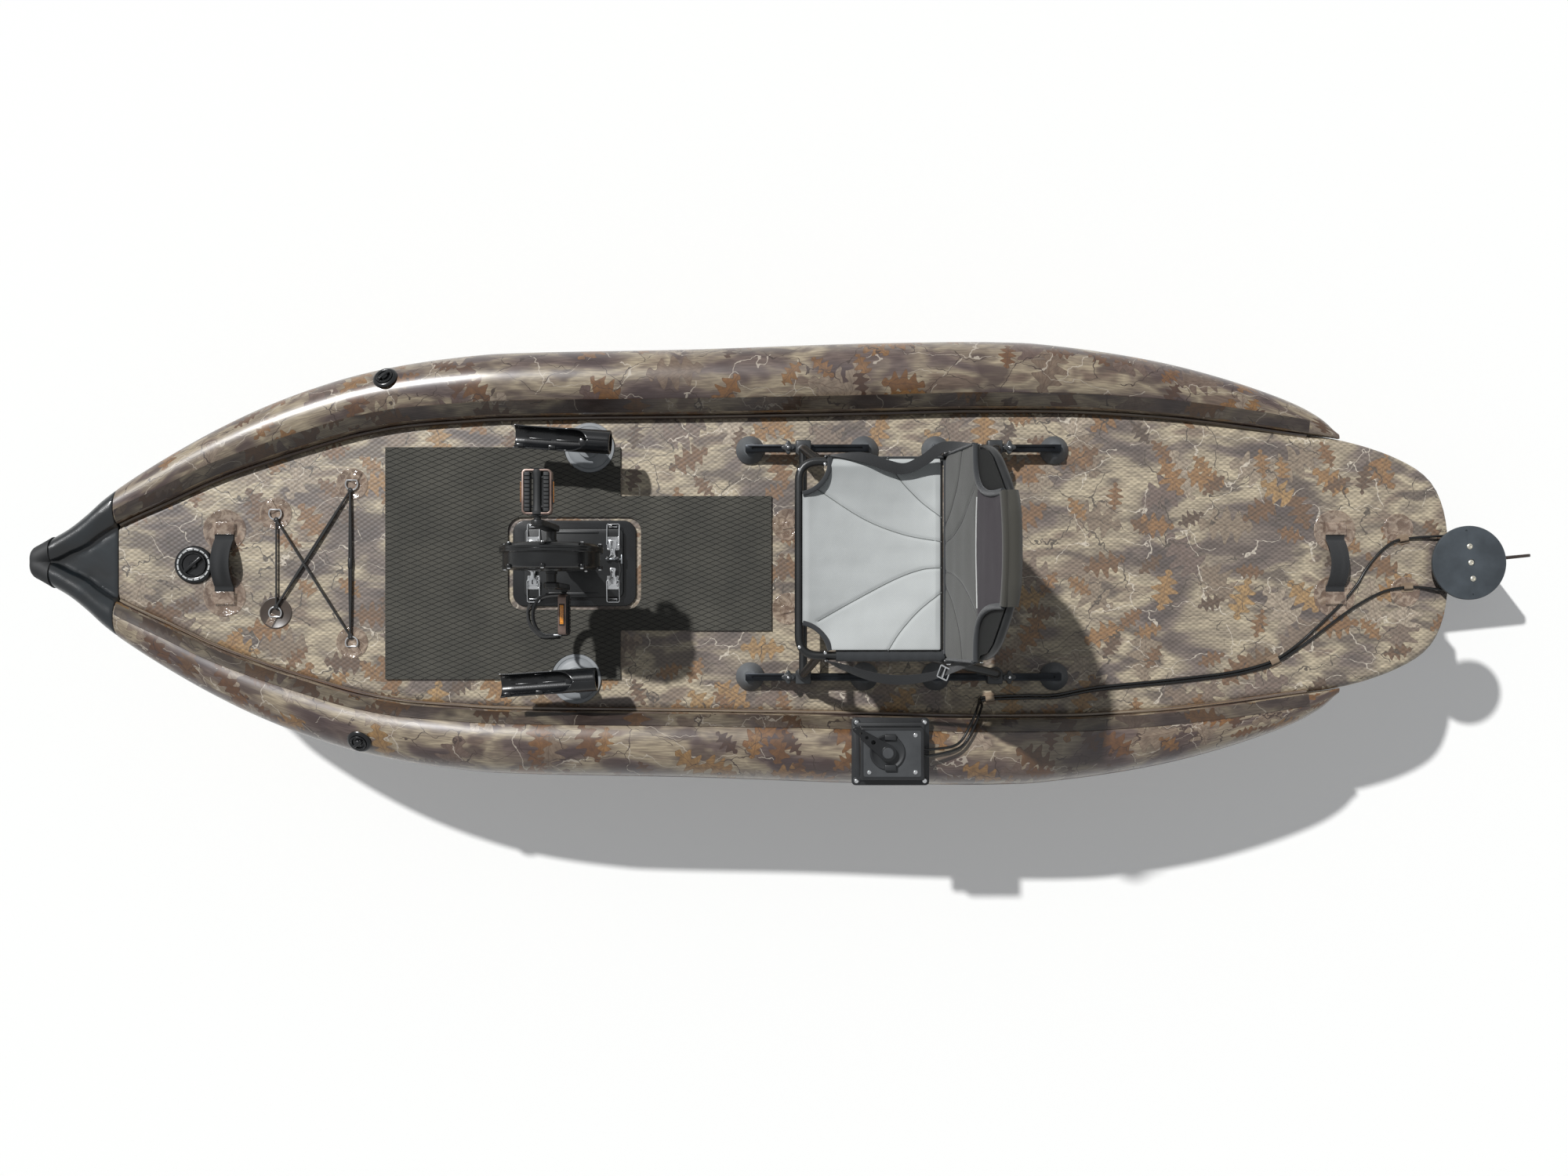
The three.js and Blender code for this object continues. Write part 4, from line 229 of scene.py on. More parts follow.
def drawn(name, points, edges):
    mesh = bpy.data.meshes.new(name)
    mesh.from_pydata([tuple(point) for point in points], edges, [])
    piece = bpy.data.objects.new(name, mesh)
    bpy.context.scene.collection.objects.link(piece)
    return piece


def slab(name, outline, low, high, bevel=0, segments=2, angle=35):
    """A face drawn round an outline in XY, extruded upwards."""
    count = len(outline)
    piece = drawn(name, [(x, y, low) for x, y in outline], [(i, (i + 1) % count) for i in range(count)])
    editing(piece)
    bpy.ops.mesh.edge_face_add()
    bpy.ops.mesh.extrude_region_move(TRANSFORM_OT_translate={"value": (0, 0, high - low)})
    bpy.ops.mesh.select_all(action="SELECT")
    bpy.ops.mesh.normals_make_consistent(inside=False)
    done_editing()
    return bevelled(piece, bevel, segments, angle) if bevel else piece


def turned(name, profile, steps=48):
    """A body of revolution about Z, spun from pairs of radius and height."""
    points = [(radius, 0, height) for radius, height in profile]
    piece = drawn(name, points, [(i, i + 1) for i in range(len(points) - 1)])
    editing(piece)
    bpy.ops.mesh.spin(steps=steps, angle=2 * math.pi, center=(0, 0, 0), axis=(0, 0, 1))
    bpy.ops.mesh.select_all(action="SELECT")
    bpy.ops.mesh.remove_doubles(threshold=1e-6)
    bpy.ops.mesh.normals_make_consistent(inside=False)
    done_editing()
    return piece


def rounded_path(points, bend, steps=6):
    """Straight runs with a smooth arc at each corner."""
    vectors = [Vector(point) for point in points]
    path = [vectors[0]]
    for before, corner, after in zip(vectors, vectors[1:], vectors[2:]):
        back, ahead = before - corner, after - corner
        start = corner + back.normalized() * min(bend, back.length * 0.45)
        end = corner + ahead.normalized() * min(bend, ahead.length * 0.45)
        for i in range(steps + 1):
            t = i / steps
            path.append(start * (1 - t) ** 2 + corner * 2 * t * (1 - t) + end * t * t)
    return path + [vectors[-1]]


def smooth_path(points, per_run=8):
    """A soft curve through all the points."""
    vectors = [Vector(point) for point in points]
    vectors = [2 * vectors[0] - vectors[1], *vectors, 2 * vectors[-1] - vectors[-2]]
    path = []
    for a, b, c, d in zip(vectors, vectors[1:], vectors[2:], vectors[3:]):
        for i in range(per_run):
            t = i / per_run
            path.append(0.5 * (2 * b + (c - a) * t + (2 * a - 5 * b + 4 * c - d) * t * t
                               + (3 * b - a - 3 * c + d) * t ** 3))
    return path + [vectors[-2]]


def tube(name, path, radius, sides=12, closed=False):
    curve = bpy.data.curves.new(name, "CURVE")
    curve.dimensions = "3D"
    curve.bevel_depth = radius
    curve.bevel_resolution = max(0, sides // 4 - 1)
    curve.use_fill_caps = True
    spline = curve.splines.new("POLY")
    spline.points.add(len(path) - 1)
    for point, place in zip(spline.points, path):
        point.co = (*place, 1)
    spline.use_cyclic_u = closed
    piece = bpy.data.objects.new(name, curve)
    bpy.context.scene.collection.objects.link(piece)
    only(piece)
    bpy.ops.object.convert(target="MESH")
    return tidy_mesh(bpy.context.object, 1e-6)


def path_point(path, u):
    """The point at the share u of a path, counted in its steps."""
    share = u * (len(path) - 1)
    index = min(int(share), len(path) - 2)
    return path[index].lerp(path[index + 1], share - index)


def rounder(value, power):
    """Squares a round section a little: the same sign, with its size raised to a power."""
    return math.copysign(abs(value) ** power, value)


def ring_angles(count):
    return np.linspace(0, 2 * math.pi, count + 1)[:-1]


def wrapped(name, place, columns, rows, size=(1, 1), close=False):
    """A flat grid moved onto a surface: place(u, v) gives each point, and size the pattern's metres."""
    bpy.ops.object.select_all(action="DESELECT")
    bpy.ops.mesh.primitive_grid_add(x_subdivisions=columns, y_subdivisions=rows, size=1)
    piece = bpy.context.object
    piece.name = name
    for loop in piece.data.uv_layers.active.data:
        loop.uv = (loop.uv[0] * size[0], loop.uv[1] * size[1])
    for vertex in piece.data.vertices:
        vertex.co = place(vertex.co.x + 0.5, vertex.co.y + 0.5)
    if close:
        editing(piece)
        bpy.ops.mesh.remove_doubles(threshold=1e-5)
        bpy.ops.mesh.fill_holes(sides=0)
        bpy.ops.mesh.normals_make_consistent(inside=False)
        done_editing()
    return piece


def rounded_rectangle(length, width, corner, centre=(0, 0), steps=6):
    points = []
    for k, (sx, sy) in enumerate(((1, 1), (-1, 1), (-1, -1), (1, -1))):
        for i in range(steps + 1):
            angle = math.radians(90 * k + 90 * i / steps)
            points.append((centre[0] + sx * (length / 2 - corner) + corner * math.cos(angle),
                           centre[1] + sy * (width / 2 - corner) + corner * math.sin(angle)))
    return points


def dressed_copy(node, name, bevel, segments=2, angle=30):
    """A CAD node's own shape as a new piece, with its triangles merged and its edges rounded."""
    piece = copied(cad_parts[node], name)
    piece.parent = None
    for key in list(piece.keys()):
        if key.startswith("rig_"):
            del piece[key]
    editing(piece)
    bpy.ops.mesh.remove_doubles(threshold=1e-5)
    bpy.ops.mesh.dissolve_limited(angle_limit=math.radians(1))
    done_editing()
    return bevelled(piece, bevel, segments, angle) if bevel else piece


print("tools ready")
# %% [markdown]
# ## Light, floor and background
# One sun from the bow's starboard side gives the photograph's shadows, and a plain even sky fills
# them. The floor lies under the rudder and the drive leg, and only the camera sees it as pure white.

# %% Light
scene = bpy.context.scene
scene.view_settings.view_transform = "Standard"

sun = bpy.data.objects.new("sun", bpy.data.lights.new("sun", "SUN"))
sun.data.energy = 3.3
sun.data.angle = math.radians(1.6)
sun.rotation_euler = Vector((0.52, -0.62, 0.95)).to_track_quat("Z", "Y").to_euler()
scene.collection.objects.link(sun)

# %% [markdown]
# ## Colours and nodes
# Colours are written as the sRGB values seen on screen, and one function turns them to the linear
# values that Blender mixes. One more function adds any node with its settings and links.

# %% Colour and node helpers
def linear(code):
    values = [int(code[i:i + 2], 16) / 255 for i in (1, 3, 5)]
    return (*[v / 12.92 if v <= 0.04045 else ((v + 0.055) / 1.055) ** 2.4 for v in values], 1)


def add(tree, kind, settings=None, **inputs):
    node = tree.nodes.new("ShaderNode" + kind)
    for key, value in (settings or {}).items():
        setattr(node, key, value)
    for key, value in inputs.items():
        socket = node.inputs[int(key[1:]) if key[1:].isdigit() else key.replace("_", " ")]
        if isinstance(value, bpy.types.NodeSocket):
            tree.links.new(value, socket)
        else:
            socket.default_value = value
    return node


def math_of(tree, operation, *values):
    return add(tree, "Math", {"operation": operation},
               **{f"i{i}": value for i, value in enumerate(values)}).outputs[0]


def ramp(tree, factor, *stops, constant=False):
    node = add(tree, "ValToRGB", i0=factor)
    elements = node.color_ramp.elements
    node.color_ramp.interpolation = "CONSTANT" if constant else "LINEAR"
    while len(elements) < len(stops):
        elements.new(0.5)
    for element, (place, code) in zip(elements, stops):
        element.position = place
        element.color = linear(code) if isinstance(code, str) else (code, code, code, 1)
    return node.outputs[0]


def mixed(tree, factor, under, over, blend="MIX"):
    node = add(tree, "Mix", {"data_type": "RGBA", "blend_type": blend}, i0=factor)
    for socket, value in ((node.inputs[6], under), (node.inputs[7], over)):
        if isinstance(value, bpy.types.NodeSocket):
            tree.links.new(value, socket)
        else:
            socket.default_value = linear(value)
    return node.outputs[2]


def new_finish(name, **shader_values):
    """A material with its shader, on which the constant values are set."""
    material = bpy.data.materials.new(name)
    material.use_nodes = True
    shader = material.node_tree.nodes["Principled BSDF"]
    for key, value in shader_values.items():
        shader.inputs[key.replace("_", " ")].default_value = value
    return material, material.node_tree, shader


def object_places(tree, scale=(1, 1, 1), turn=(0, 0, 0)):
    places = add(tree, "TexCoord").outputs["Object"]
    return add(tree, "Mapping", Vector=places, Scale=scale, Rotation=turn).outputs[0]


def cloth_places(tree, scale=(1, 1, 1), turn=(0, 0, 0)):
    places = add(tree, "UVMap").outputs[0]
    return add(tree, "Mapping", Vector=places, Scale=scale, Rotation=turn).outputs[0]


def coloured(tree, shader, colour):
    tree.links.new(colour, shader.inputs["Base Color"])


def bumped(tree, shader, height, strength, distance):
    bump = add(tree, "Bump", Height=height, Strength=strength, Distance=distance)
    tree.links.new(bump.outputs[0], shader.inputs["Normal"])
    return bump

# %% [markdown]
# ## Backdrop
# The world is white for the camera, for reflections and through clear pieces, and a mid grey
# for light, so that the background costs the object no contrast.

# %% World and floor
world = bpy.data.worlds.new("sky")
world.use_nodes = True
scene.world = world
sky = world.node_tree
sky.nodes.clear()
rays = add(sky, "LightPath")
seen = math_of(sky, "MAXIMUM", rays.outputs["Is Camera Ray"], rays.outputs["Is Transmission Ray"])
seen = math_of(sky, "MAXIMUM", seen, math_of(sky, "MULTIPLY", rays.outputs["Is Glossy Ray"], 0.45))
plain = add(sky, "Background", Color=linear("#e9eef4"), Strength=0.22)
bright = add(sky, "Background", Color=(1, 1, 1, 1), Strength=1)
both = add(sky, "MixShader", i0=seen, i1=plain.outputs[0], i2=bright.outputs[0])
add(sky, "OutputWorld", Surface=both.outputs[0])

bpy.ops.object.select_all(action="DESELECT")
bpy.ops.mesh.primitive_plane_add(size=24, location=(0, 0, cad_low.z - 0.004))
floor = bpy.context.object
floor.name = "studio_floor"
paper, tree, shader = new_finish("matt_white_paper", Roughness=0.95)
shader.inputs["Base Color"].default_value = linear("#e8e8e6")
rays = add(tree, "LightPath")
glow = add(tree, "Emission", Color=(1, 1, 1, 1), Strength=0.2)
output = tree.nodes["Material Output"]
lit = add(tree, "AddShader", i0=shader.outputs[0], i1=glow.outputs[0])
shown = add(tree, "MixShader", i0=rays.outputs["Is Camera Ray"], i1=shader.outputs[0], i2=lit.outputs[0])
tree.links.new(shown.outputs[0], output.inputs["Surface"])
floor.data.materials.append(paper)
print("floor at", round(floor.location.z, 4))
# %% [markdown]
# ## Printed camouflage
# The hull is coated PVC cloth with a printed leaf-and-branch pattern. The print is made of layers:
# soft bark patches, streaks, scattered lobed leaves and thin twigs. Each leaf sits in its own
# Voronoi cell, where the cell's random colour turns it and picks its shade. It reads the cloth's
# own map in metres, so that a leaf is as long as a real one, about 10 cm.

# %% Camouflage layers
def leaf_layer(tree, cloth, under, cell, length, width, share, palette, shift):
    """Lobed leaves scattered over the colour under them, one to a cell of the given size."""
    wobble = add(tree, "TexNoise", Vector=cloth, Scale=42, Detail=1).outputs["Color"]
    wobble = add(tree, "VectorMath", {"operation": "MULTIPLY_ADD"}, i0=wobble,
                 i1=(0.011, 0.011, 0), i2=cloth).outputs[0]
    spots = add(tree, "VectorMath", {"operation": "ADD"}, i0=wobble, i1=(*shift, 0)).outputs[0]
    cells = add(tree, "TexVoronoi", {"voronoi_dimensions": "2D"}, Vector=spots, Scale=1 / cell)
    chance = add(tree, "SeparateColor", i0=cells.outputs["Color"])
    local = add(tree, "VectorMath", {"operation": "SUBTRACT"}, i0=spots,
                i1=cells.outputs["Position"]).outputs[0]
    turned_by = math_of(tree, "MULTIPLY", chance.outputs[0], 2 * math.pi)
    axis = add(tree, "VectorRotate", {"rotation_type": "Z_AXIS"}, Vector=local, Angle=turned_by)
    place = add(tree, "SeparateXYZ", i0=axis.outputs[0])
    along = math_of(tree, "ADD", math_of(tree, "DIVIDE", place.outputs[0], length), 0.5)
    clipped = add(tree, "Clamp", i0=along).outputs[0]
    belly = math_of(tree, "POWER", math_of(tree, "SINE", math_of(tree, "MULTIPLY", clipped, math.pi)), 0.75)
    lobes = math_of(tree, "SINE", math_of(tree, "MULTIPLY", clipped, 2 * math.pi * 4.5))
    lobes = math_of(tree, "MULTIPLY_ADD", lobes, 0.34, 0.66)
    edge = math_of(tree, "MULTIPLY", math_of(tree, "MULTIPLY", belly, lobes), width)
    aside = math_of(tree, "ABSOLUTE", place.outputs[1])
    inside = math_of(tree, "MULTIPLY", math_of(tree, "SUBTRACT", edge, aside), 900)
    inside = add(tree, "Clamp", i0=inside).outputs[0]
    picked = math_of(tree, "GREATER_THAN", share, chance.outputs[2])
    mask = math_of(tree, "MULTIPLY", inside, picked)
    colour = ramp(tree, chance.outputs[1], *palette)
    shade = add(tree, "TexNoise", Vector=cloth, Scale=70, Detail=3).outputs[0]
    colour = mixed(tree, 1, colour, ramp(tree, shade, (0.3, 0.55), (0.7, 1.1)), "MULTIPLY")
    rib = math_of(tree, "LESS_THAN", aside, 0.0011)
    veins = math_of(tree, "SINE", math_of(tree, "ADD", math_of(tree, "MULTIPLY", along, 55),
                                          math_of(tree, "MULTIPLY", aside, 700)))
    lines = math_of(tree, "MAXIMUM", rib, math_of(tree, "GREATER_THAN", veins, 0.93))
    colour = mixed(tree, math_of(tree, "MULTIPLY", lines, 0.45), colour, "#4a3323")
    rim = math_of(tree, "MULTIPLY", math_of(tree, "LESS_THAN", math_of(
        tree, "SUBTRACT", edge, aside), 0.0022), 0.5)
    colour = mixed(tree, rim, colour, "#3a2a1f")
    return mixed(tree, mask, under, colour)


def twig_layer(tree, cloth, under, cell, width, code, shift, strength=0.9):
    """Thin branching lines: the borders of stretched, crumpled cells, broken up by a soft noise."""
    bent = add(tree, "TexNoise", Vector=cloth, Scale=9, Detail=4).outputs["Color"]
    bent = add(tree, "VectorMath", {"operation": "MULTIPLY_ADD"}, i0=bent, i1=(0.16, 0.16, 0),
               i2=cloth).outputs[0]
    spots = add(tree, "Mapping", Vector=bent, Location=(*shift, 0), Rotation=(0, 0, 0.5),
                Scale=(1, 2.1, 1)).outputs[0]
    lines = add(tree, "TexVoronoi", {"voronoi_dimensions": "2D", "feature": "DISTANCE_TO_EDGE"},
                Vector=spots, Scale=1 / cell).outputs["Distance"]
    thin = math_of(tree, "LESS_THAN", lines, width / cell)
    seen = add(tree, "TexNoise", Vector=spots, Scale=6, Detail=1).outputs[0]
    seen = math_of(tree, "GREATER_THAN", seen, 0.46)
    return mixed(tree, math_of(tree, "MULTIPLY", math_of(tree, "MULTIPLY", thin, seen), strength),
                 under, code)


def camouflage(tree, cloth):
    large = add(tree, "Mapping", Vector=cloth, Rotation=(0, 0, 0.7), Scale=(1, 2.2, 1)).outputs[0]
    patches = add(tree, "TexNoise", Vector=large, Scale=5.2, Detail=3, Distortion=0.6).outputs[0]
    colour = ramp(tree, patches, (0.34, "#40373a"), (0.43, "#6e615b"), (0.5, "#9c8f7a"),
                  (0.58, "#c2b498"), (0.66, "#7f6e5f"))
    grain = add(tree, "Mapping", Vector=cloth, Rotation=(0, 0, -0.45), Scale=(26, 260, 1)).outputs[0]
    streaks = add(tree, "TexNoise", Vector=grain, Scale=1, Detail=4).outputs[0]
    colour = mixed(tree, 0.75, colour, ramp(tree, streaks, (0.38, 0.5), (0.62, 1.15)), "MULTIPLY")
    drifted = add(tree, "Mapping", Vector=large, Location=(3.1, 1.7, 0)).outputs[0]
    smoke = add(tree, "TexNoise", Vector=drifted, Scale=8.5, Detail=2).outputs[0]
    colour = mixed(tree, ramp(tree, smoke, (0.54, 0), (0.64, 0.85)), colour, "#3f3433")
    colour = leaf_layer(tree, cloth, colour, 0.155, 0.135, 0.048, 0.62,
                        ((0, "#6b5a55"), (0.5, "#877663"), (1, "#baab97")), (0.31, 0.17))
    colour = twig_layer(tree, cloth, colour, 0.17, 0.0016, "#dcd2c1", (0.7, 0.2), 0.7)
    colour = leaf_layer(tree, cloth, colour, 0.125, 0.105, 0.034, 0.6,
                        ((0, "#5f4028"), (0.4, "#94693a"), (0.8, "#b08c58"), (1, "#513728")),
                        (0.05, 0.63))
    colour = leaf_layer(tree, cloth, colour, 0.1, 0.07, 0.022, 0.5,
                        ((0, "#3b2d27"), (0.5, "#7d5733"), (1, "#a37a48")), (0.47, 0.41))
    return twig_layer(tree, cloth, colour, 0.13, 0.0017, "#241d19", (0.1, 0.9))


def stitched_dots(tree, cloth, pitch_along, pitch_across):
    """Drop-stitch cloth: the threads inside pull it to staggered dimples."""
    place = add(tree, "SeparateXYZ", i0=cloth)
    along = math_of(tree, "MULTIPLY", place.outputs[0], 2 * math.pi / pitch_along)
    across = math_of(tree, "MULTIPLY", place.outputs[1], 2 * math.pi / pitch_across)
    first = math_of(tree, "COSINE", math_of(tree, "ADD", along, across))
    second = math_of(tree, "COSINE", math_of(tree, "SUBTRACT", along, across))
    return math_of(tree, "MULTIPLY_ADD", math_of(tree, "ADD", first, second), 0.25, 0.5)

# %% [markdown]
# ## Finishes of the hull
# Three finishes share the print. The deck's cloth is matt and paler, with staggered dimples of
# 16 mm by 11 mm, whose hollows are painted darker and whose tops are painted lighter: painted
# shade and highlight. The tubes are the same print under a clear glossy coat. The seam tape is
# the print darkened as painted shade, for the tube's inner flank that faces away from the sun.

# %% Hull finishes
def make_deck_cloth():
    material, tree, shader = new_finish("drop_stitch_cloth_printed", Roughness=0.5, Coat_Weight=0.12,
                                        Coat_Roughness=0.35)
    cloth = cloth_places(tree)
    colour = mixed(tree, 0.14, camouflage(tree, cloth), "#d0c4b6")
    dots = stitched_dots(tree, cloth, 0.0165, 0.0115)
    # Painted shade and highlight: the dot pattern darkens the dimples' hollows and lightens the tops between
    # them in the colour, besides the bump.
    shade = ramp(tree, dots, (0.15, 0.76), (0.75, 1.1))
    coloured(tree, shader, mixed(tree, 1, colour, shade, "MULTIPLY"))
    bumped(tree, shader, dots, 0.35, 0.0012)
    return material


def make_tube_cloth():
    material, tree, shader = new_finish("coated_pvc_printed", Roughness=0.36, Coat_Weight=0.9,
                                        Coat_Roughness=0.22)
    cloth = cloth_places(tree)
    colour = mixed(tree, 0.34, camouflage(tree, cloth), "#452616")
    coloured(tree, shader, colour)
    weave = add(tree, "TexNoise", Vector=cloth_places(tree, (900, 900, 900)), Scale=1).outputs[0]
    puckers = add(tree, "TexNoise", Vector=cloth_places(tree, (24, 9, 1)), Scale=1, Detail=2)
    height = math_of(tree, "MULTIPLY_ADD", weave, 0.1, puckers.outputs[0])
    bumped(tree, shader, height, 0.25, 0.0015)
    return material


def make_seam_tape():
    material, tree, shader = new_finish("pvc_seam_tape_printed", Roughness=0.32, Coat_Weight=0.4,
                                        Coat_Roughness=0.2)
    # Painted shade: the print is mixed far towards dark brown, standing for the shade on the tube's inner
    # flank.
    colour = mixed(tree, 0.72, camouflage(tree, cloth_places(tree)), "#2c211a")
    coloured(tree, shader, colour)
    ribs = add(tree, "TexWave", {"bands_direction": "Y"}, Vector=cloth_places(tree, (1, 120, 1)),
               Scale=1, Distortion=0.4).outputs[1]
    bumped(tree, shader, ribs, 0.3, 0.0006)
    return material


def make_black_vinyl():
    material, tree, shader = new_finish("coated_pvc_black", Roughness=0.28, Coat_Weight=0.7,
                                        Coat_Roughness=0.1)
    places = object_places(tree)
    folds = add(tree, "TexNoise", Vector=places, Scale=11, Detail=3, Distortion=0.5).outputs[0]
    fine = add(tree, "TexNoise", Vector=places, Scale=700).outputs[0]
    colour = ramp(tree, folds, (0.35, "#0a0f12"), (0.6, "#141c21"), (0.8, "#1e282d"))
    coloured(tree, shader, colour)
    bumped(tree, shader, math_of(tree, "MULTIPLY_ADD", fine, 0.12, folds), 0.35, 0.004)
    return material


deck_cloth, tube_cloth = make_deck_cloth(), make_tube_cloth()
shade_painted_seam_tape, black_vinyl = make_seam_tape(), make_black_vinyl()
print("hull finishes", deck_cloth.name, tube_cloth.name, shade_painted_seam_tape.name, black_vinyl.name)

# %% [markdown]
# ## The hull's outline
# The table repeats the boat's own stations: the place along the half length, the deck's edge and
# the outer edge as shares of the half beam, and the tube's height as a share of its radius. A
# curve through the stations gives the smooth outline that a tight inflated skin has.

# %% Outline of the hull
HALF_LENGTH, HALF_BEAM, DECK = 1.7, 0.532, 0.15
TUBE_RADIUS, EDGE_RADIUS, BOW_RISE, KEEL_RISE = 0.083, 0.022, 0.06, 0.165
CAP_START, TUBE_END = 0.8665, -0.848
STATIONS = np.array([
    [-1, 0.132, 0.132, 0], [-0.9965, 0.226, 0.226, 0], [-0.991, 0.295, 0.295, 0],
    [-0.981, 0.363, 0.363, 0], [-0.965, 0.417, 0.417, 0], [-0.941, 0.464, 0.464, 0],
    [-0.903, 0.515, 0.515, 0], [-0.848, 0.563, 0.585, 0.06], [-0.825, 0.575, 0.648, 0.2],
    [-0.792, 0.587, 0.709, 0.37], [-0.726, 0.617, 0.791, 0.55], [-0.659, 0.645, 0.857, 0.67],
    [-0.594, 0.667, 0.908, 0.77], [-0.527, 0.682, 0.947, 0.855], [-0.461, 0.692, 0.976, 0.915],
    [-0.394, 0.694, 0.996, 0.96], [-0.328, 0.694, 1, 0.988], [-0.195, 0.684, 0.994, 1],
    [0.07, 0.669, 0.966, 0.964], [0.336, 0.658, 0.947, 0.94], [0.402, 0.645, 0.928, 0.904],
    [0.468, 0.628, 0.898, 0.867], [0.535, 0.59, 0.853, 0.843], [0.601, 0.53, 0.789, 0.795],
    [0.667, 0.461, 0.707, 0.735], [0.734, 0.38, 0.602, 0.65], [0.8, 0.278, 0.479, 0.554],
    [0.8665, 0.173, 0.335, 0.458], [0.8855, 0.135, 0.286, 0.45], [0.9074, 0.08, 0.218, 0.434],
    [0.9301, 0.045, 0.156, 0.41], [0.952, 0.025, 0.111, 0.386], [0.9706, 0.014, 0.074, 0.36],
    [0.9769, 0.01, 0.062, 0.3], [0.979, 0.006, 0.04, 0.17]])
BOW_TIP = HALF_LENGTH * STATIONS[-1, 0]
SLOPES = np.zeros_like(STATIONS)
for column in (1, 2, 3):
    steps = np.diff(STATIONS[:, 0])
    rises = np.diff(STATIONS[:, column]) / steps
    same_way = rises[1:] * rises[:-1] > 0
    weights = (2 * steps[1:] + steps[:-1], steps[1:] + 2 * steps[:-1])
    with np.errstate(divide="ignore", invalid="ignore"):
        between = sum(weights) / (weights[0] / rises[:-1] + weights[1] / rises[1:])
    SLOPES[1:-1, column] = np.where(same_way, between, 0)
    SLOPES[0, column], SLOPES[-1, column] = rises[0], rises[-1]


def station(x):
    """Deck edge, outer edge and tube height at a place along the hull, on a smooth curve."""
    place = x / HALF_LENGTH
    i = int(np.clip(np.searchsorted(STATIONS[:, 0], place) - 1, 0, len(STATIONS) - 2))
    span = STATIONS[i + 1, 0] - STATIONS[i, 0]
    t = (place - STATIONS[i, 0]) / span
    values = []
    for column in (1, 2, 3):
        low, high = STATIONS[i, column], STATIONS[i + 1, column]
        start, end = SLOPES[i, column] * span, SLOPES[i + 1, column] * span
        values.append((2 * t ** 3 - 3 * t ** 2 + 1) * low + (t ** 3 - 2 * t ** 2 + t) * start
                      + (3 * t ** 2 - 2 * t ** 3) * high + (t ** 3 - t ** 2) * end)
    return values[0] * HALF_BEAM, values[1] * HALF_BEAM, max(values[2], 0) * TUBE_RADIUS


def risen(x):
    return max(0, x / HALF_LENGTH - 0.5) / 0.5


def deck_height(x):
    return DECK + BOW_RISE * risen(x) ** 2


def deck_tilt(x):
    return -math.atan(2 * BOW_RISE * risen(x) / (HALF_LENGTH * 0.5))


def on_deck(piece, x, y, lift=0, turn=0):
    """Lays a piece, made round the origin, on the sloping deck."""
    return moved(piece, Matrix.Translation((x, y, deck_height(x) + lift))
                 @ Matrix.Rotation(deck_tilt(x), 4, "Y") @ Matrix.Rotation(turn, 4, "Z"))


TUBE_OVERLAP, TUBE_DROP = 0.008, 0.01      # how far a tube reaches under the deck's edge and lies below it


def tube_point(x, angle, side):
    """A point on a side tube, with the angle from its outer side upwards."""
    edge, outer, height = station(x)
    half = (outer - edge + TUBE_OVERLAP) / 2
    y = max(outer - half + half * math.cos(angle), edge + 0.0006)
    return Vector((x, side * y, deck_height(x) - TUBE_DROP + height * math.sin(angle)))


def run_along(places, sides=0):
    """The length run so far at each point of a line."""
    return np.concatenate([[0], np.cumsum(np.hypot(np.diff(places), np.diff(places * 0 + sides)))])


def outline_places(start, end, count):
    """Places along the hull, closer together where the outline turns fast."""
    fine = np.linspace(start, end, 600)
    edges = np.array([station(x)[1] for x in fine])
    path = run_along(fine, edges)
    return np.interp(np.linspace(0, path[-1], count), path, fine)


print("widest outer edge", round(max(station(x)[1] for x in np.linspace(-1.6, 1.6, 200)), 4))

# %% [markdown]
# ## Drop-stitch floor
# The floor is a flat inflated board: level on top and below, with tightly rounded edges. A grid is
# wrapped round its sections from stern to bow, and the drive well is cut through it. The print
# is mapped in metres, from above on the deck and round the outline on the edges.

# %% Floor
FLOOR_SIDES = 40


def floor_ring(x):
    edge = station(x)[0]
    top, bottom = deck_height(x), KEEL_RISE * risen(x) ** 2.5
    radius = min(EDGE_RADIUS, edge / 2, (top - bottom) / 3)
    ring = []
    for y, z, start in ((edge - radius, bottom + radius, -90), (edge - radius, top - radius, 0),
                        (radius - edge, top - radius, 90), (radius - edge, bottom + radius, 180)):
        for step in range(FLOOR_SIDES // 4):
            angle = math.radians(start + 90 * step / (FLOOR_SIDES // 4 - 1))
            ring.append((y + radius * math.cos(angle), z + radius * math.sin(angle)))
    return ring


def wrapped_round(name, places, ring_of, sides):
    """A closed skin wrapped round the sections at the given places along the hull."""
    rings = [ring_of(x) for x in places]
    last = len(places) - 1

    def place(u, v):
        row, column = round(u * last), round(v * sides) % sides
        return (places[row], *rings[row][column])

    return wrapped(name, place, last, sides, close=True)


def mapped_in_metres(piece):
    """The print's map: from above on level faces, and round the outline on the edges."""
    run = np.linspace(-HALF_LENGTH, BOW_TIP, 800)
    edges = np.array([station(x)[1] for x in run])
    path = run_along(run, edges)
    layer = piece.data.uv_layers.active
    for polygon in piece.data.polygons:
        level = abs(polygon.normal.z) > 0.5
        for index in polygon.loop_indices:
            point = piece.data.vertices[piece.data.loops[index].vertex_index].co
            along = point.x if level else float(np.interp(point.x, run, path)) - HALF_LENGTH
            layer.data[index].uv = (along, point.y if level else point.z + 1.3)
    return piece


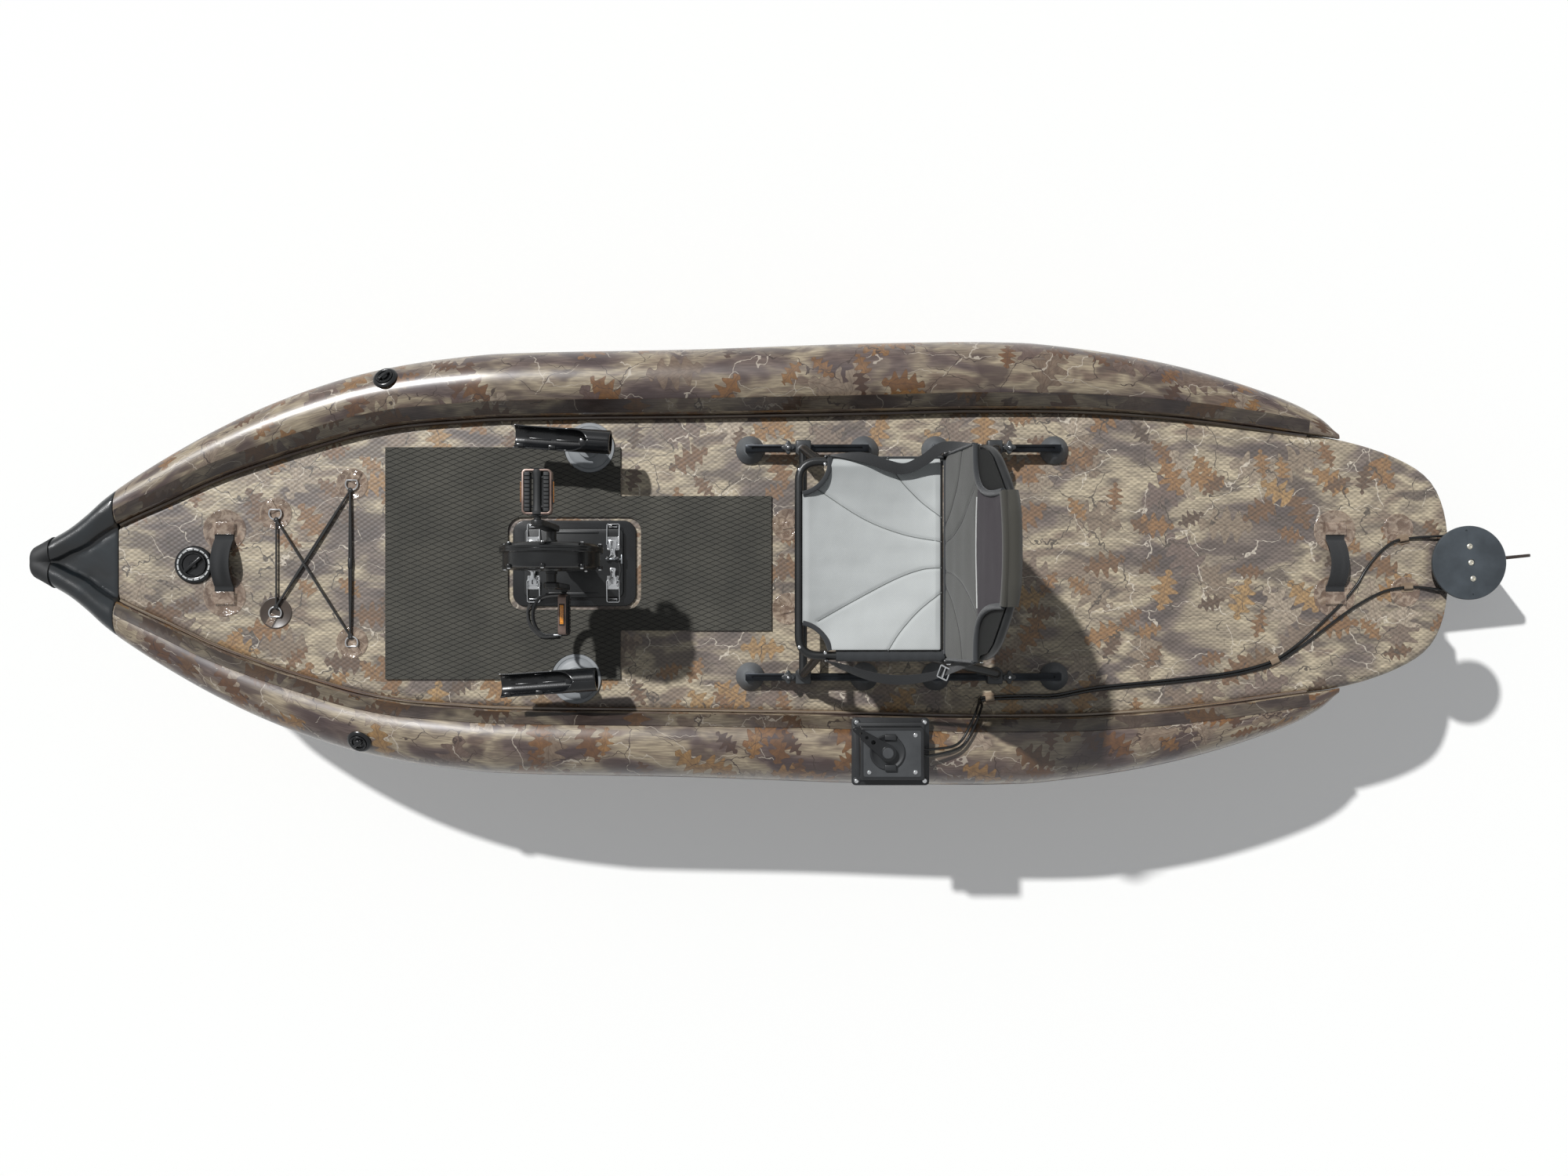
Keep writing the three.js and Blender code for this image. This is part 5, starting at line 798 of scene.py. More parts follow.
WELL_X = 0.3961
floor_board = wrapped_round("floor_board",
    outline_places(-HALF_LENGTH, CAP_START * HALF_LENGTH - 0.0002, 150), floor_ring, FLOOR_SIDES)
carved(floor_board, box("well_tool", (WELL_X - 0.1042, -0.0692, -0.05), (WELL_X + 0.1042, 0.0692, 0.2)))
mapped_in_metres(floor_board)
dress(floor_board, deck_cloth, "root", "camo_vinyl", ("drop_stitch_floor",))

# %% [markdown]
# ## Side tubes
# Each tube is one long inflated skin that is glued along the floor's edge, so its inner side is
# flat against it. It tapers to the stern. The print's map runs along and round the tube.

# %% Side tubes
TUBE_SIDES = 44


def tube_skin(name, side, node):
    places = outline_places(TUBE_END * HALF_LENGTH, CAP_START * HALF_LENGTH - 0.0002, 170)
    last = len(places) - 1
    outer = np.array([station(x)[1] for x in places])
    run = run_along(places, outer)

    def place(u, v):
        return tube_point(places[round(u * last)], 2 * math.pi * v - math.pi, side)

    skin = wrapped(name, place, last, TUBE_SIDES, close=True)
    layer = skin.data.uv_layers.active
    for loop, spot in zip(skin.data.loops, layer.data):
        u, v = spot.uv
        spot.uv = (run[min(last, round(u * last))] + (1.9 if side > 0 else 5.1), v * 0.5)
    return dress(skin, tube_cloth, "root", "camo_vinyl", (node,))


tube_skin("tube_skin_port", 1, "side_tube_port")
tube_skin("tube_skin_starboard", -1, "side_tube_starboard")

# %% [markdown]
# ## Seams
# A tape covers the glue line where each tube meets the floor; its dark colour is painted shade,
# for the tube's inner flank that faces away from the sun. A narrow welt lies along the deck's
# edge, where it catches the light. Both are ribbons, a millimetre or two proud.

# %% Seam ribbons
def ribbon(name, places, low_point, high_point, columns=4, proud=0.0012):
    """A raised tape between two lines along the hull, rounded over its width."""
    last = len(places) - 1
    run = run_along(places)

    def place(u, v):
        x = places[round(u * last)]
        low, high = low_point(x), high_point(x)
        middle = (low + high) / 2
        return middle + (high - low) * (v - 0.5) + Vector((0, 0, proud * math.sin(math.pi * v)))

    tape = wrapped(name, place, last, columns)
    for spot in tape.data.uv_layers.active.data:
        spot.uv = (run[min(last, round(spot.uv[0] * last))], spot.uv[1] * 0.03)
    return tape


def tube_slope(x, side, inward, grown=0.0012):
    """The point on the inner slope of a tube that lies so far outside the deck's edge."""
    edge, outer, height = station(x)
    half = (outer - edge + TUBE_OVERLAP) / 2
    share = (edge + inward - (outer - half)) / (half + grown)
    angle = math.acos(max(-1, min(1, share)))
    return Vector((x, side * (outer - half + (half + grown) * math.cos(angle)),
                   deck_height(x) - TUBE_DROP + (height + grown) * math.sin(angle)))


SEAM_PLACES = outline_places(-0.8 * HALF_LENGTH, CAP_START * HALF_LENGTH - 0.002, 170)
for side, word in ((1, "port"), (-1, "starboard")):
    tape = ribbon(f"shade_painted_seam_tape_{word}", SEAM_PLACES, lambda x: tube_slope(x, side, 0.003),
                  lambda x: tube_slope(x, side, 0.03), 5)
    modify(tape, "SOLIDIFY", thickness=0.0012, offset=0)
    dress(tape, shade_painted_seam_tape, "root", "camo_vinyl")
    edge_path = [Vector((x, side * (station(x)[0] - 0.004), deck_height(x) - 0.0035)) for x in SEAM_PLACES]
    welt = tube(f"deck_welt_{word}", edge_path, 0.0045, 8)
    dress(welt, tube_cloth, "root", "camo_vinyl")

# %% [markdown]
# ## Bow cap
# The bow is a black coated cap where the two tubes run together. Three skins, the board and both
# tubes, are joined into one by a voxel remesh and then smoothed, which gives the soft fillets
# that a moulded cap has. A rubber guard covers its tip.

# %% Bow cap
NOSE_SIDES, TIP_LENGTH, GUARD_LENGTH = 32, 0.04, 0.045


def nose_ring(side):
    def ring(x):
        edge, outer, height = station(x)
        half = max((outer - edge + TUBE_OVERLAP) / 2, height)
        y, z = outer - half, deck_height(x) - TUBE_DROP
        return [(side * (y + half * math.cos(a)), z + height * math.sin(a))
                for a in np.linspace(-math.pi, math.pi, NOSE_SIDES + 1)[:-1]]
    return ring


TIP_ROUND_FROM = BOW_TIP - TIP_LENGTH
nose_places = np.concatenate([np.linspace(CAP_START * HALF_LENGTH + 0.0006, TIP_ROUND_FROM, 30),
                              TIP_ROUND_FROM + TIP_LENGTH * np.sin(np.linspace(0.1, math.pi / 2, 12))])
bow_cap = joined("bow_cap_moulded",
                 wrapped_round("cap_board", nose_places, floor_ring, FLOOR_SIDES),
                 wrapped_round("cap_port", nose_places, nose_ring(1), NOSE_SIDES),
                 wrapped_round("cap_starboard", nose_places, nose_ring(-1), NOSE_SIDES))
modify(bow_cap, "REMESH", mode="VOXEL", voxel_size=0.004)
modify(bow_cap, "SMOOTH", factor=0.5, iterations=8)
guard = copied(bow_cap, "nose_guard")
editing(guard)
bpy.ops.mesh.bisect(plane_co=(BOW_TIP - GUARD_LENGTH, 0, 0), plane_no=(1, 0, 0), clear_inner=True)
done_editing()
modify(guard, "SOLIDIFY", thickness=0.003, offset=1)
dress(bow_cap, black_vinyl, "root", "black_vinyl", ("bow_cap",), 60)

# %% [markdown]
# ## Plain finishes
# Black parts are not one black: the box and clamps are moulded ABS with a fine spark-eroded
# grain, frames are anodised aluminium tube, and pads, cables and feet are rubber. Each gets its
# own roughness, and a soft change of shade where dust and handling leave it.

# %% Plain finishes
def moulded_plastic(name, dark, light, roughness, grain=0.9):
    """Moulded plastic: an even colour, dust in soft patches, and a grain of under a millimetre."""
    material, tree, shader = new_finish(name, Roughness=roughness)
    places = object_places(tree)
    dust = add(tree, "TexNoise", Vector=places, Scale=18, Detail=4).outputs[0]
    coloured(tree, shader, ramp(tree, dust, (0.35, dark), (0.75, light)))
    fine = add(tree, "TexNoise", Vector=places, Scale=1000 / grain, Detail=2).outputs[0]
    bumped(tree, shader, fine, 0.35, 0.0003)
    return material


def drawn_metal(name, dark, light, roughness, metallic=1, line=0.6):
    """Metal with faint drawing lines along it and slightly uneven colour."""
    material, tree, shader = new_finish(name, Roughness=roughness, Metallic=metallic)
    places = object_places(tree)
    tone = add(tree, "TexNoise", Vector=places, Scale=30, Detail=3).outputs[0]
    coloured(tree, shader, ramp(tree, tone, (0.3, dark), (0.7, light)))
    lines = add(tree, "TexNoise", Vector=object_places(tree, (1000 / line, 60, 1000 / line)),
                Scale=1).outputs[0]
    bumped(tree, shader, lines, 0.15, 0.0002)
    return material


black_plastic = moulded_plastic("abs_plastic_black", "#17181a", "#26282a", 0.42)
satin_plastic = moulded_plastic("nylon_plastic_black_glossy", "#101113", "#1d1f21", 0.24, 2)
grey_plastic = moulded_plastic("pvc_plastic_grey", "#85898c", "#9a9d9f", 0.45)
rubber = moulded_plastic("moulded_rubber_black", "#1b1c1d", "#2c2d2e", 0.62, 1.4)
grey_rubber = moulded_plastic("moulded_rubber_grey", "#54575a", "#6b6e70", 0.5, 1.6)
anodised = drawn_metal("anodised_aluminium_black", "#15171a", "#24282d", 0.3, 0.75)
painted_metal = moulded_plastic("powder_coated_steel_black", "#131415", "#212324", 0.34, 0.7)
case_paint = moulded_plastic("enamelled_aluminium_black", "#0f1011", "#1b1d1e", 0.22, 2)
chrome = drawn_metal("polished_stainless_steel", "#c4c6c8", "#e2e3e4", 0.16)
pale_steel = drawn_metal("zinc_plated_steel", "#cfcbbd", "#ece8da", 0.28, 0.85)
gear_steel = drawn_metal("machined_steel", "#83878a", "#a4a8ab", 0.38)
slate_paint = moulded_plastic("anodised_aluminium_slate", "#383e43", "#4b5258", 0.4, 1)
blade_plastic = moulded_plastic("fibre_filled_nylon_dark", "#2a2422", "#3b312c", 0.4, 1.2)
print("plain finishes ready")

# %% [markdown]
# ## Woven finishes
# Webbing is flat black nylon with ribs across it every 2 mm. The seat is a coated mesh, whose
# holes are drawn every 3 mm, coarser than the real ones, so that they show. The bungee has a
# braided cover.

# %% Woven finishes
def webbing_finish(name, dark, light, rib=0.0022):
    material, tree, shader = new_finish(name, Roughness=0.8, Sheen_Weight=0.25)
    cloth = cloth_places(tree)
    place = add(tree, "SeparateXYZ", i0=cloth)
    ribs = math_of(tree, "SINE", math_of(tree, "MULTIPLY", place.outputs[0], 2 * math.pi / rib))
    threads = math_of(tree, "SINE", math_of(tree, "MULTIPLY", place.outputs[1], 2 * math.pi / 0.0028))
    height = math_of(tree, "MULTIPLY", ribs, threads)
    tone = math_of(tree, "MULTIPLY_ADD", height, 0.5, 0.5)
    coloured(tree, shader, ramp(tree, tone, (0.1, dark), (0.9, light)))
    bumped(tree, shader, height, 0.5, 0.0005)
    return material


def mesh_finish(name, dark, light, pitch=0.003, sheen=0.35):
    """Knitted polyester mesh: rows of small holes, with a soft sheen over its threads."""
    material, tree, shader = new_finish(name, Roughness=0.72, Sheen_Weight=sheen, Sheen_Roughness=0.4)
    cloth = cloth_places(tree)
    place = add(tree, "SeparateXYZ", i0=cloth)
    along = math_of(tree, "SINE", math_of(tree, "MULTIPLY", place.outputs[0], 2 * math.pi / pitch))
    across = math_of(tree, "SINE", math_of(tree, "MULTIPLY", place.outputs[1], 2 * math.pi / pitch))
    weave = math_of(tree, "MULTIPLY", along, across)
    tone = math_of(tree, "MULTIPLY_ADD", weave, 0.5, 0.5)
    colour = ramp(tree, tone, (0.05, dark), (0.6, light))
    soil = add(tree, "TexNoise", Vector=cloth, Scale=7, Detail=3).outputs[0]
    colour = mixed(tree, 1, colour, ramp(tree, soil, (0.3, 0.9), (0.7, 1.04)), "MULTIPLY")
    coloured(tree, shader, colour)
    bumped(tree, shader, weave, 0.4, 0.0006)
    return material


webbing = webbing_finish("nylon_webbing_black", "#141517", "#26282a")
binding = webbing_finish("woven_binding_tape_black", "#202224", "#3a3d40", 0.0016)
edge_band = webbing_finish("woven_edge_band_olive", "#2b2a25", "#47453d", 0.0016)
pale_mesh = mesh_finish("coated_mesh_pale_grey", "#969b9a", "#c9cccb")
dark_mesh = mesh_finish("coated_mesh_dark_grey", "#434443", "#686865", sheen=0.15)
upper_mesh = mesh_finish("coated_mesh_upper_grey", "#2b272b", "#453f44", sheen=0.05)
seam_thread = mesh_finish("sewing_thread_grey", "#5c605f", "#7c807e")
dark_thread = mesh_finish("sewing_thread_dark", "#2c2c2c", "#444443")
pale_thread = mesh_finish("vinyl_piping_pale", "#c4c6c3", "#dcdedb")
print("woven finishes ready")
dress(guard, rubber, "root", "black_vinyl")

# %% [markdown]
# ## Foam deck pad
# The pad is a 6 mm sheet of EVA foam with long diamonds pressed into it, 34 mm by 13 mm. A sheared
# grid gives the diamonds, an inset of every face leaves the grooves between them, and the sheet
# is then cut to its outline, as it is cut from a roll.

# %% Foam finish
PAD_TOP = 0.1563


def make_foam():
    material, tree, shader = new_finish("eva_foam_dark_grey", Roughness=0.93, Sheen_Weight=0.12)
    places = object_places(tree)
    height = add(tree, "SeparateXYZ", i0=places).outputs[2]
    # Painted shade: the colour is darkened towards the bottom of the diamond grooves, by the height below the
    # pad's top.
    depth = math_of(tree, "MULTIPLY", math_of(tree, "SUBTRACT", height, PAD_TOP - 0.0012), 833)
    cells = add(tree, "TexNoise", Vector=places, Scale=900, Detail=2).outputs[0]
    tone = add(tree, "TexNoise", Vector=places, Scale=9, Detail=4).outputs[0]
    colour = ramp(tree, tone, (0.3, "#45443f"), (0.7, "#55534c"))
    colour = mixed(tree, ramp(tree, depth, (0.1, 1), (0.8, 0)), colour, "#201f1c")
    colour = mixed(tree, 1, colour, ramp(tree, cells, (0.3, 0.82), (0.7, 1.12)), "MULTIPLY")
    coloured(tree, shader, colour)
    bumped(tree, shader, cells, 0.5, 0.0006)
    return material


foam = make_foam()
print("foam ready")

# %% Deck pad
DIAMOND_LENGTH, DIAMOND_WIDTH, GROOVE_HALF, GROOVE_DEPTH = 0.034, 0.0131, 0.0009, 0.0014
PAD_FRONT, PAD_SIDE, PAD_STEP, PAD_BACK, TONGUE = 0.8491, 0.278, 0.2861, -0.0759, 0.161
ROD_PLACES = {1: (0.3921, 0.277), -1: (0.3601, -0.277)}

PAD_CELLS, CELLS_BEHIND = 86, 42
HANDLES = (("bow", 1.2308), ("stern", -1.427))


def diamond_place(u, v):
    i, j = round(u * PAD_CELLS), round(v * PAD_CELLS)
    return Vector((PAD_BACK - 0.02 + (i + j - CELLS_BEHIND) * DIAMOND_LENGTH / 2,
                   (i - j) * DIAMOND_WIDTH / 2, PAD_TOP - GROOVE_DEPTH))


deck_pad = wrapped("deck_pad_foam", diamond_place, PAD_CELLS, PAD_CELLS)
editing(deck_pad, "DESELECT")
done_editing()
for polygon in deck_pad.data.polygons:
    x, y = polygon.center.x, polygon.center.y
    polygon.select = not (PAD_BACK - 0.03 < x < PAD_FRONT + 0.03 and abs(y) < PAD_SIDE + 0.015)
bpy.ops.object.mode_set(mode="EDIT")
bpy.ops.mesh.delete(type="FACE")
bpy.ops.mesh.select_all(action="SELECT")
bpy.ops.mesh.normals_make_consistent(inside=False)
bpy.ops.mesh.inset(thickness=GROOVE_HALF, use_individual=True)
bpy.ops.transform.translate(value=(0, 0, GROOVE_DEPTH))
bpy.ops.mesh.select_all(action="DESELECT")
bpy.ops.mesh.select_non_manifold()
bpy.ops.mesh.extrude_edges_move(TRANSFORM_OT_translate={"value": (0, 0, -0.009)})
bpy.ops.mesh.edge_face_add()
bpy.ops.mesh.select_all(action="SELECT")
bpy.ops.mesh.normals_make_consistent(inside=False)
done_editing()

port_half = [(PAD_FRONT, PAD_SIDE), (PAD_STEP, PAD_SIDE), (PAD_STEP, TONGUE), (PAD_BACK, TONGUE)]
outline = port_half + [(x, -y) for x, y in reversed(port_half)]
blank = slab("pad_blank", outline, 0.1503, 0.16)
window = slab("pad_window", rounded_rectangle(0.319, 0.222, 0.034, (WELL_X, 0)), 0.14, 0.17)
bites = [rod("pad_bite", 0.0606, (x, y, 0.14), (x, y, 0.17), 48) for x, y in ROD_PLACES.values()]
carved(blank, window, *bites)
carved(deck_pad, blank, operation="INTERSECT")
dress(deck_pad, foam, "root", "eva_foam", ("deck_pad",), 0)

# %% [markdown]
# ## Clear patches
# Handles, rings and cable clips hang on round patches of clear vinyl, welded to the deck. The
# print shows through them. They are made with alpha and not as glass, so that sunlight still
# reaches the deck below, as it does through thin film. Their rim has a raised weld.

# %% Clear vinyl and patches
def make_clear_vinyl():
    material, tree, shader = new_finish("clear_vinyl_film", Roughness=0.1, Alpha=0.42,
                                        Coat_Weight=1, Coat_Roughness=0.06)
    places = object_places(tree)
    ripples = add(tree, "TexNoise", Vector=places, Scale=60, Detail=2, Distortion=1).outputs[0]
    coloured(tree, shader, ramp(tree, ripples, (0.4, "#8f7767"), (0.62, "#cdb8a4")))
    bumped(tree, shader, ripples, 0.7, 0.003)
    return material


clear_vinyl = make_clear_vinyl()
brown_vinyl = moulded_plastic("vinyl_patch_brown", "#3a312c", "#51463e", 0.35, 1.5)


def patch(name, x, y, radius, material=None):
    disc = turned(name, [(0, 0.0003), (radius, 0.0003), (radius, 0.001), (radius - 0.0012, 0.0018),
                         (radius - 0.003, 0.0018), (radius - 0.0042, 0.0011), (0, 0.0012)], 56)
    on_deck(disc, x, y)
    return dress(disc, material or clear_vinyl, "root", "camo_vinyl")


def clear_tab(name, x, y, length, width, turn, lift=0.0012):
    """A welded strip of the same film, a little crowned, that holds a ring or a strap's end."""
    strip = box(name, (-length / 2, -width / 2, 0), (length / 2, width / 2, 0.0034), 0.0015, 2)
    on_deck(strip, x, y, lift, turn)
    return dress(strip, clear_vinyl, "root", "camo_vinyl")


RINGS = [(1.111, -0.119), (0.9299, -0.19), (1.111, 0.119), (0.9299, 0.19)]
for i, (x, y) in enumerate(RINGS):
    patch(f"ring_patch_{i + 1}", x, y, 0.038, brown_vinyl if i == 2 else None)
for name, x in HANDLES:
    for word, side in (("port", 1), ("starboard", -1)):
        patch(f"handle_patch_{name}_{word}", x, side * 0.078, 0.05)
        clear_tab(f"handle_tab_{name}_{word}", x, side * 0.083, 0.05, 0.03, 0, 0.0063)
for i, y in enumerate((-0.093, 0.109)):
    patch(f"seat_patch_{i + 1}", -0.115, y, 0.038)
    clear_tab(f"seat_tab_{i + 1}", -0.115, y, 0.03, 0.019, 0.2)

# %% [markdown]
# ## Rings and bungee
# Four steel D-rings hold a shock cord in the shape of an hourglass. Its runs are straight because
# it is stretched, and it is doubled at the stern end, with a crimp in the middle.

# %% Rings and bungee
EYE_LIFT, CORD_RADIUS, RING_RADIUS = 0.0062, 0.0023, 0.0145


def ring_eye(index, shift=0):
    x, y = RINGS[index]
    inward = -1 if y > 0 else 1
    return Vector((x + shift, y + inward * 0.015, deck_height(x) + EYE_LIFT))


rings = []
for i, (x, y) in enumerate(RINGS):
    loop = [Vector((RING_RADIUS * math.cos(a), RING_RADIUS * math.sin(a), 0))
            for a in np.linspace(-0.72 * math.pi, 0.72 * math.pi, 21)]
    piece = tube(f"ring_{i + 1}", loop, 0.002, 12, closed=True)
    inward = -90 if y > 0 else 90
    on_deck(piece, x, y, 0.0048, math.radians(inward))
    rings.append(piece)
    out = Vector((-0.55 if x < 1 else 0.55, -inward / 90, 0)).normalized()
    clear_tab(f"ring_tab_{i + 1}", x + out.x * 0.019, y + out.y * 0.019, 0.03, 0.017,
              math.atan2(out.y, out.x), 0.0016)
ring_set = joined("deck_rings", *rings)
dress(ring_set, chrome, "root", "steel")


def make_cord_cover():
    """Braided polyester over rubber: a fine check of threads that runs round the cord."""
    material, tree, shader = new_finish("braided_polyester_black", Roughness=0.75, Sheen_Weight=0.3)
    places = object_places(tree)
    braid = add(tree, "TexWave", {"bands_direction": "DIAGONAL"}, Vector=places, Scale=160,
                Distortion=1.5).outputs[1]
    coloured(tree, shader, ramp(tree, braid, (0.2, "#161616"), (0.9, "#303030")))
    bumped(tree, shader, braid, 0.5, 0.0006)
    return material


cord_cover = make_cord_cover()
runs = []
for start, end, aside, lift in ((0, 2, 0, 0), (0, 3, 0, 0.003), (2, 1, -0.0022, -0.001),
                                (2, 1, 0.0022, -0.001), (1, 3, -0.0024, 0), (1, 3, 0.0024, 0)):
    a = ring_eye(start, -0.003 if start in (0, 2) else 0.003)
    b = ring_eye(end, -0.003 if end in (0, 2) else 0.003)
    points = [a.lerp(b, t) + Vector((aside, 0, lift)) * math.sin(math.pi * t)
              for t in np.linspace(0, 1, 13)]
    runs.append(tube("cord_run", points, CORD_RADIUS, 12))
for i in range(4):
    eye = ring_eye(i, -0.003 if i in (0, 2) else 0.003)
    turn = [eye + Vector((0.004 * math.cos(a), 0.0045 * math.sin(a), 0.001 * math.sin(2 * a)))
            for a in ring_angles(16)]
    runs.append(tube("cord_knot", turn, CORD_RADIUS, 12, closed=True))
bungee = joined("bungee_cord_braided", *runs)
dress(bungee, cord_cover, "root", "webbing", ("bungee_cord",), 60)
middle = ring_eye(1, 0.003).lerp(ring_eye(3, 0.003), 0.5)
crimp = rod("crimp", 0.0056, middle - Vector((0, 0.012, 0)), middle + Vector((0, 0.012, 0)), 20, 0.0015)
crimp.data.transform(Matrix.Translation(middle) @ Matrix.Diagonal((1, 1, 0.72, 1))
    @ Matrix.Translation(-middle))
crimp.name = "cord_crimp"
dress(crimp, black_plastic, "root", "black_plastic")

# %% [markdown]
# ## Grab handles
# Each handle is a strap of doubled webbing that arches between two patches. A grid is laid along
# the arch and across the strap, and pinched a little in the middle where hands squeeze it.

# %% Grab handles
STRAP_HALF, STRAP_REACH, STRAP_RISE, STRAP_TAB = 0.022, 0.056, 0.031, 0.018


def strap_band(name, lift, pinch, rise):
    def place(u, v):
        run = (2 * u - 1) * (STRAP_REACH + STRAP_TAB)
        inside = min(1, abs(run) / STRAP_REACH)
        height = rise * math.cos(math.pi / 2 * inside) ** 0.75 if inside < 1 else 0
        across = (2 * v - 1) * STRAP_HALF * (1 - pinch * math.cos(math.pi / 2 * inside))
        crown = 0.0016 * math.cos(3 * math.pi * (v - 0.5)) * math.cos(math.pi / 2 * inside)
        return Vector((across, run, lift + height + crown))

    band = wrapped(name, place, 64, 14, (2 * (STRAP_REACH + STRAP_TAB), 2 * STRAP_HALF))
    modify(band, "SOLIDIFY", thickness=0.0018, offset=1)
    return bevelled(band, 0.0005, 1, 60)


for name, x in HANDLES:
    handle = joined(f"grab_strap_{name}", strap_band("strap_low", 0.0024, 0.1, STRAP_RISE - 0.003),
                    strap_band("strap_high", 0.0044, 0.04, STRAP_RISE - 0.001))
    on_deck(handle, x, 0)
    dress(handle, webbing, "root", "webbing", (f"grab_handle_{name}",))

# %% [markdown]
# ## Seat rails and their feet
# Four slotted aluminium bars stand on round rubber feet that are glued to the deck. The foot is
# a domed disc, turned from its profile, and a small screw holds the bar to it.

# %% Rails and feet
RAIL_SIDE, RAIL_TOP = 0.271, 0.19


def screw(name, radius, height, centre, axis=(0, 0, 1), sides=20):
    """A pan-head screw with a hexagon socket."""
    head = turned(name, [(0, 0), (radius, 0), (radius, height * 0.45), (radius * 0.82, height * 0.85),
                         (radius * 0.5, height), (radius * 0.42, height), (radius * 0.36, height * 0.35),
                         (0, height * 0.35)], sides)
    return placed(head, centre, axis)


foot_profile = [(0, 0.0003), (0.033, 0.0003), (0.034, 0.0014), (0.034, 0.0042), (0.0332, 0.0056),
                (0.0302, 0.0095), (0.0256, 0.0165), (0.0212, 0.022), (0.0168, 0.0262), (0.015, 0.0277),
                (0, 0.0277)]
foot_master = turned("foot_master", foot_profile, 40)
screws = []
for word, side in (("port", 1), ("starboard", -1)):
    for name, low, high in (("front", -0.3076, -0.0146), ("rear", -0.7631, -0.4591)):
        bar = box(f"rail_bar_{name}_{word}", (low, side * RAIL_SIDE - 0.009, 0.1782),
                  (high, side * RAIL_SIDE + 0.009, RAIL_TOP), 0.0012)
        slot = slab("rail_slot", rounded_rectangle(high - low - 0.03, 0.007, 0.0034,
                                                   ((low + high) / 2, side * RAIL_SIDE), 4), 0.185, 0.2)
        carved(bar, slot)
        dress(bar, anodised, "root", "anodised_aluminium", (f"seat_rail_{name}_{word}",))
        for end, x in (("fore", high - 0.01), ("aft", low + 0.01)):
            foot = copied(foot_master, f"rail_foot_{name}_{end}_{word}",
                          Matrix.Translation((x, side * RAIL_SIDE, DECK)))
            dress(foot, grey_rubber, "root", "grey_plastic")
            screws.append(screw("rail_screw", 0.0032, 0.0016, (x, side * RAIL_SIDE, 0.185)))
bpy.data.objects.remove(foot_master)
dress(joined("rail_screws", *screws), chrome, "root", "steel")

# %% [markdown]
# ## Rod holders
# Each stands on a pale grey disc glued to the deck: a round boss, a post with a fork, and a long
# open trough that tilts in it. The trough is drawn as a half pipe whose end runs into a ring.

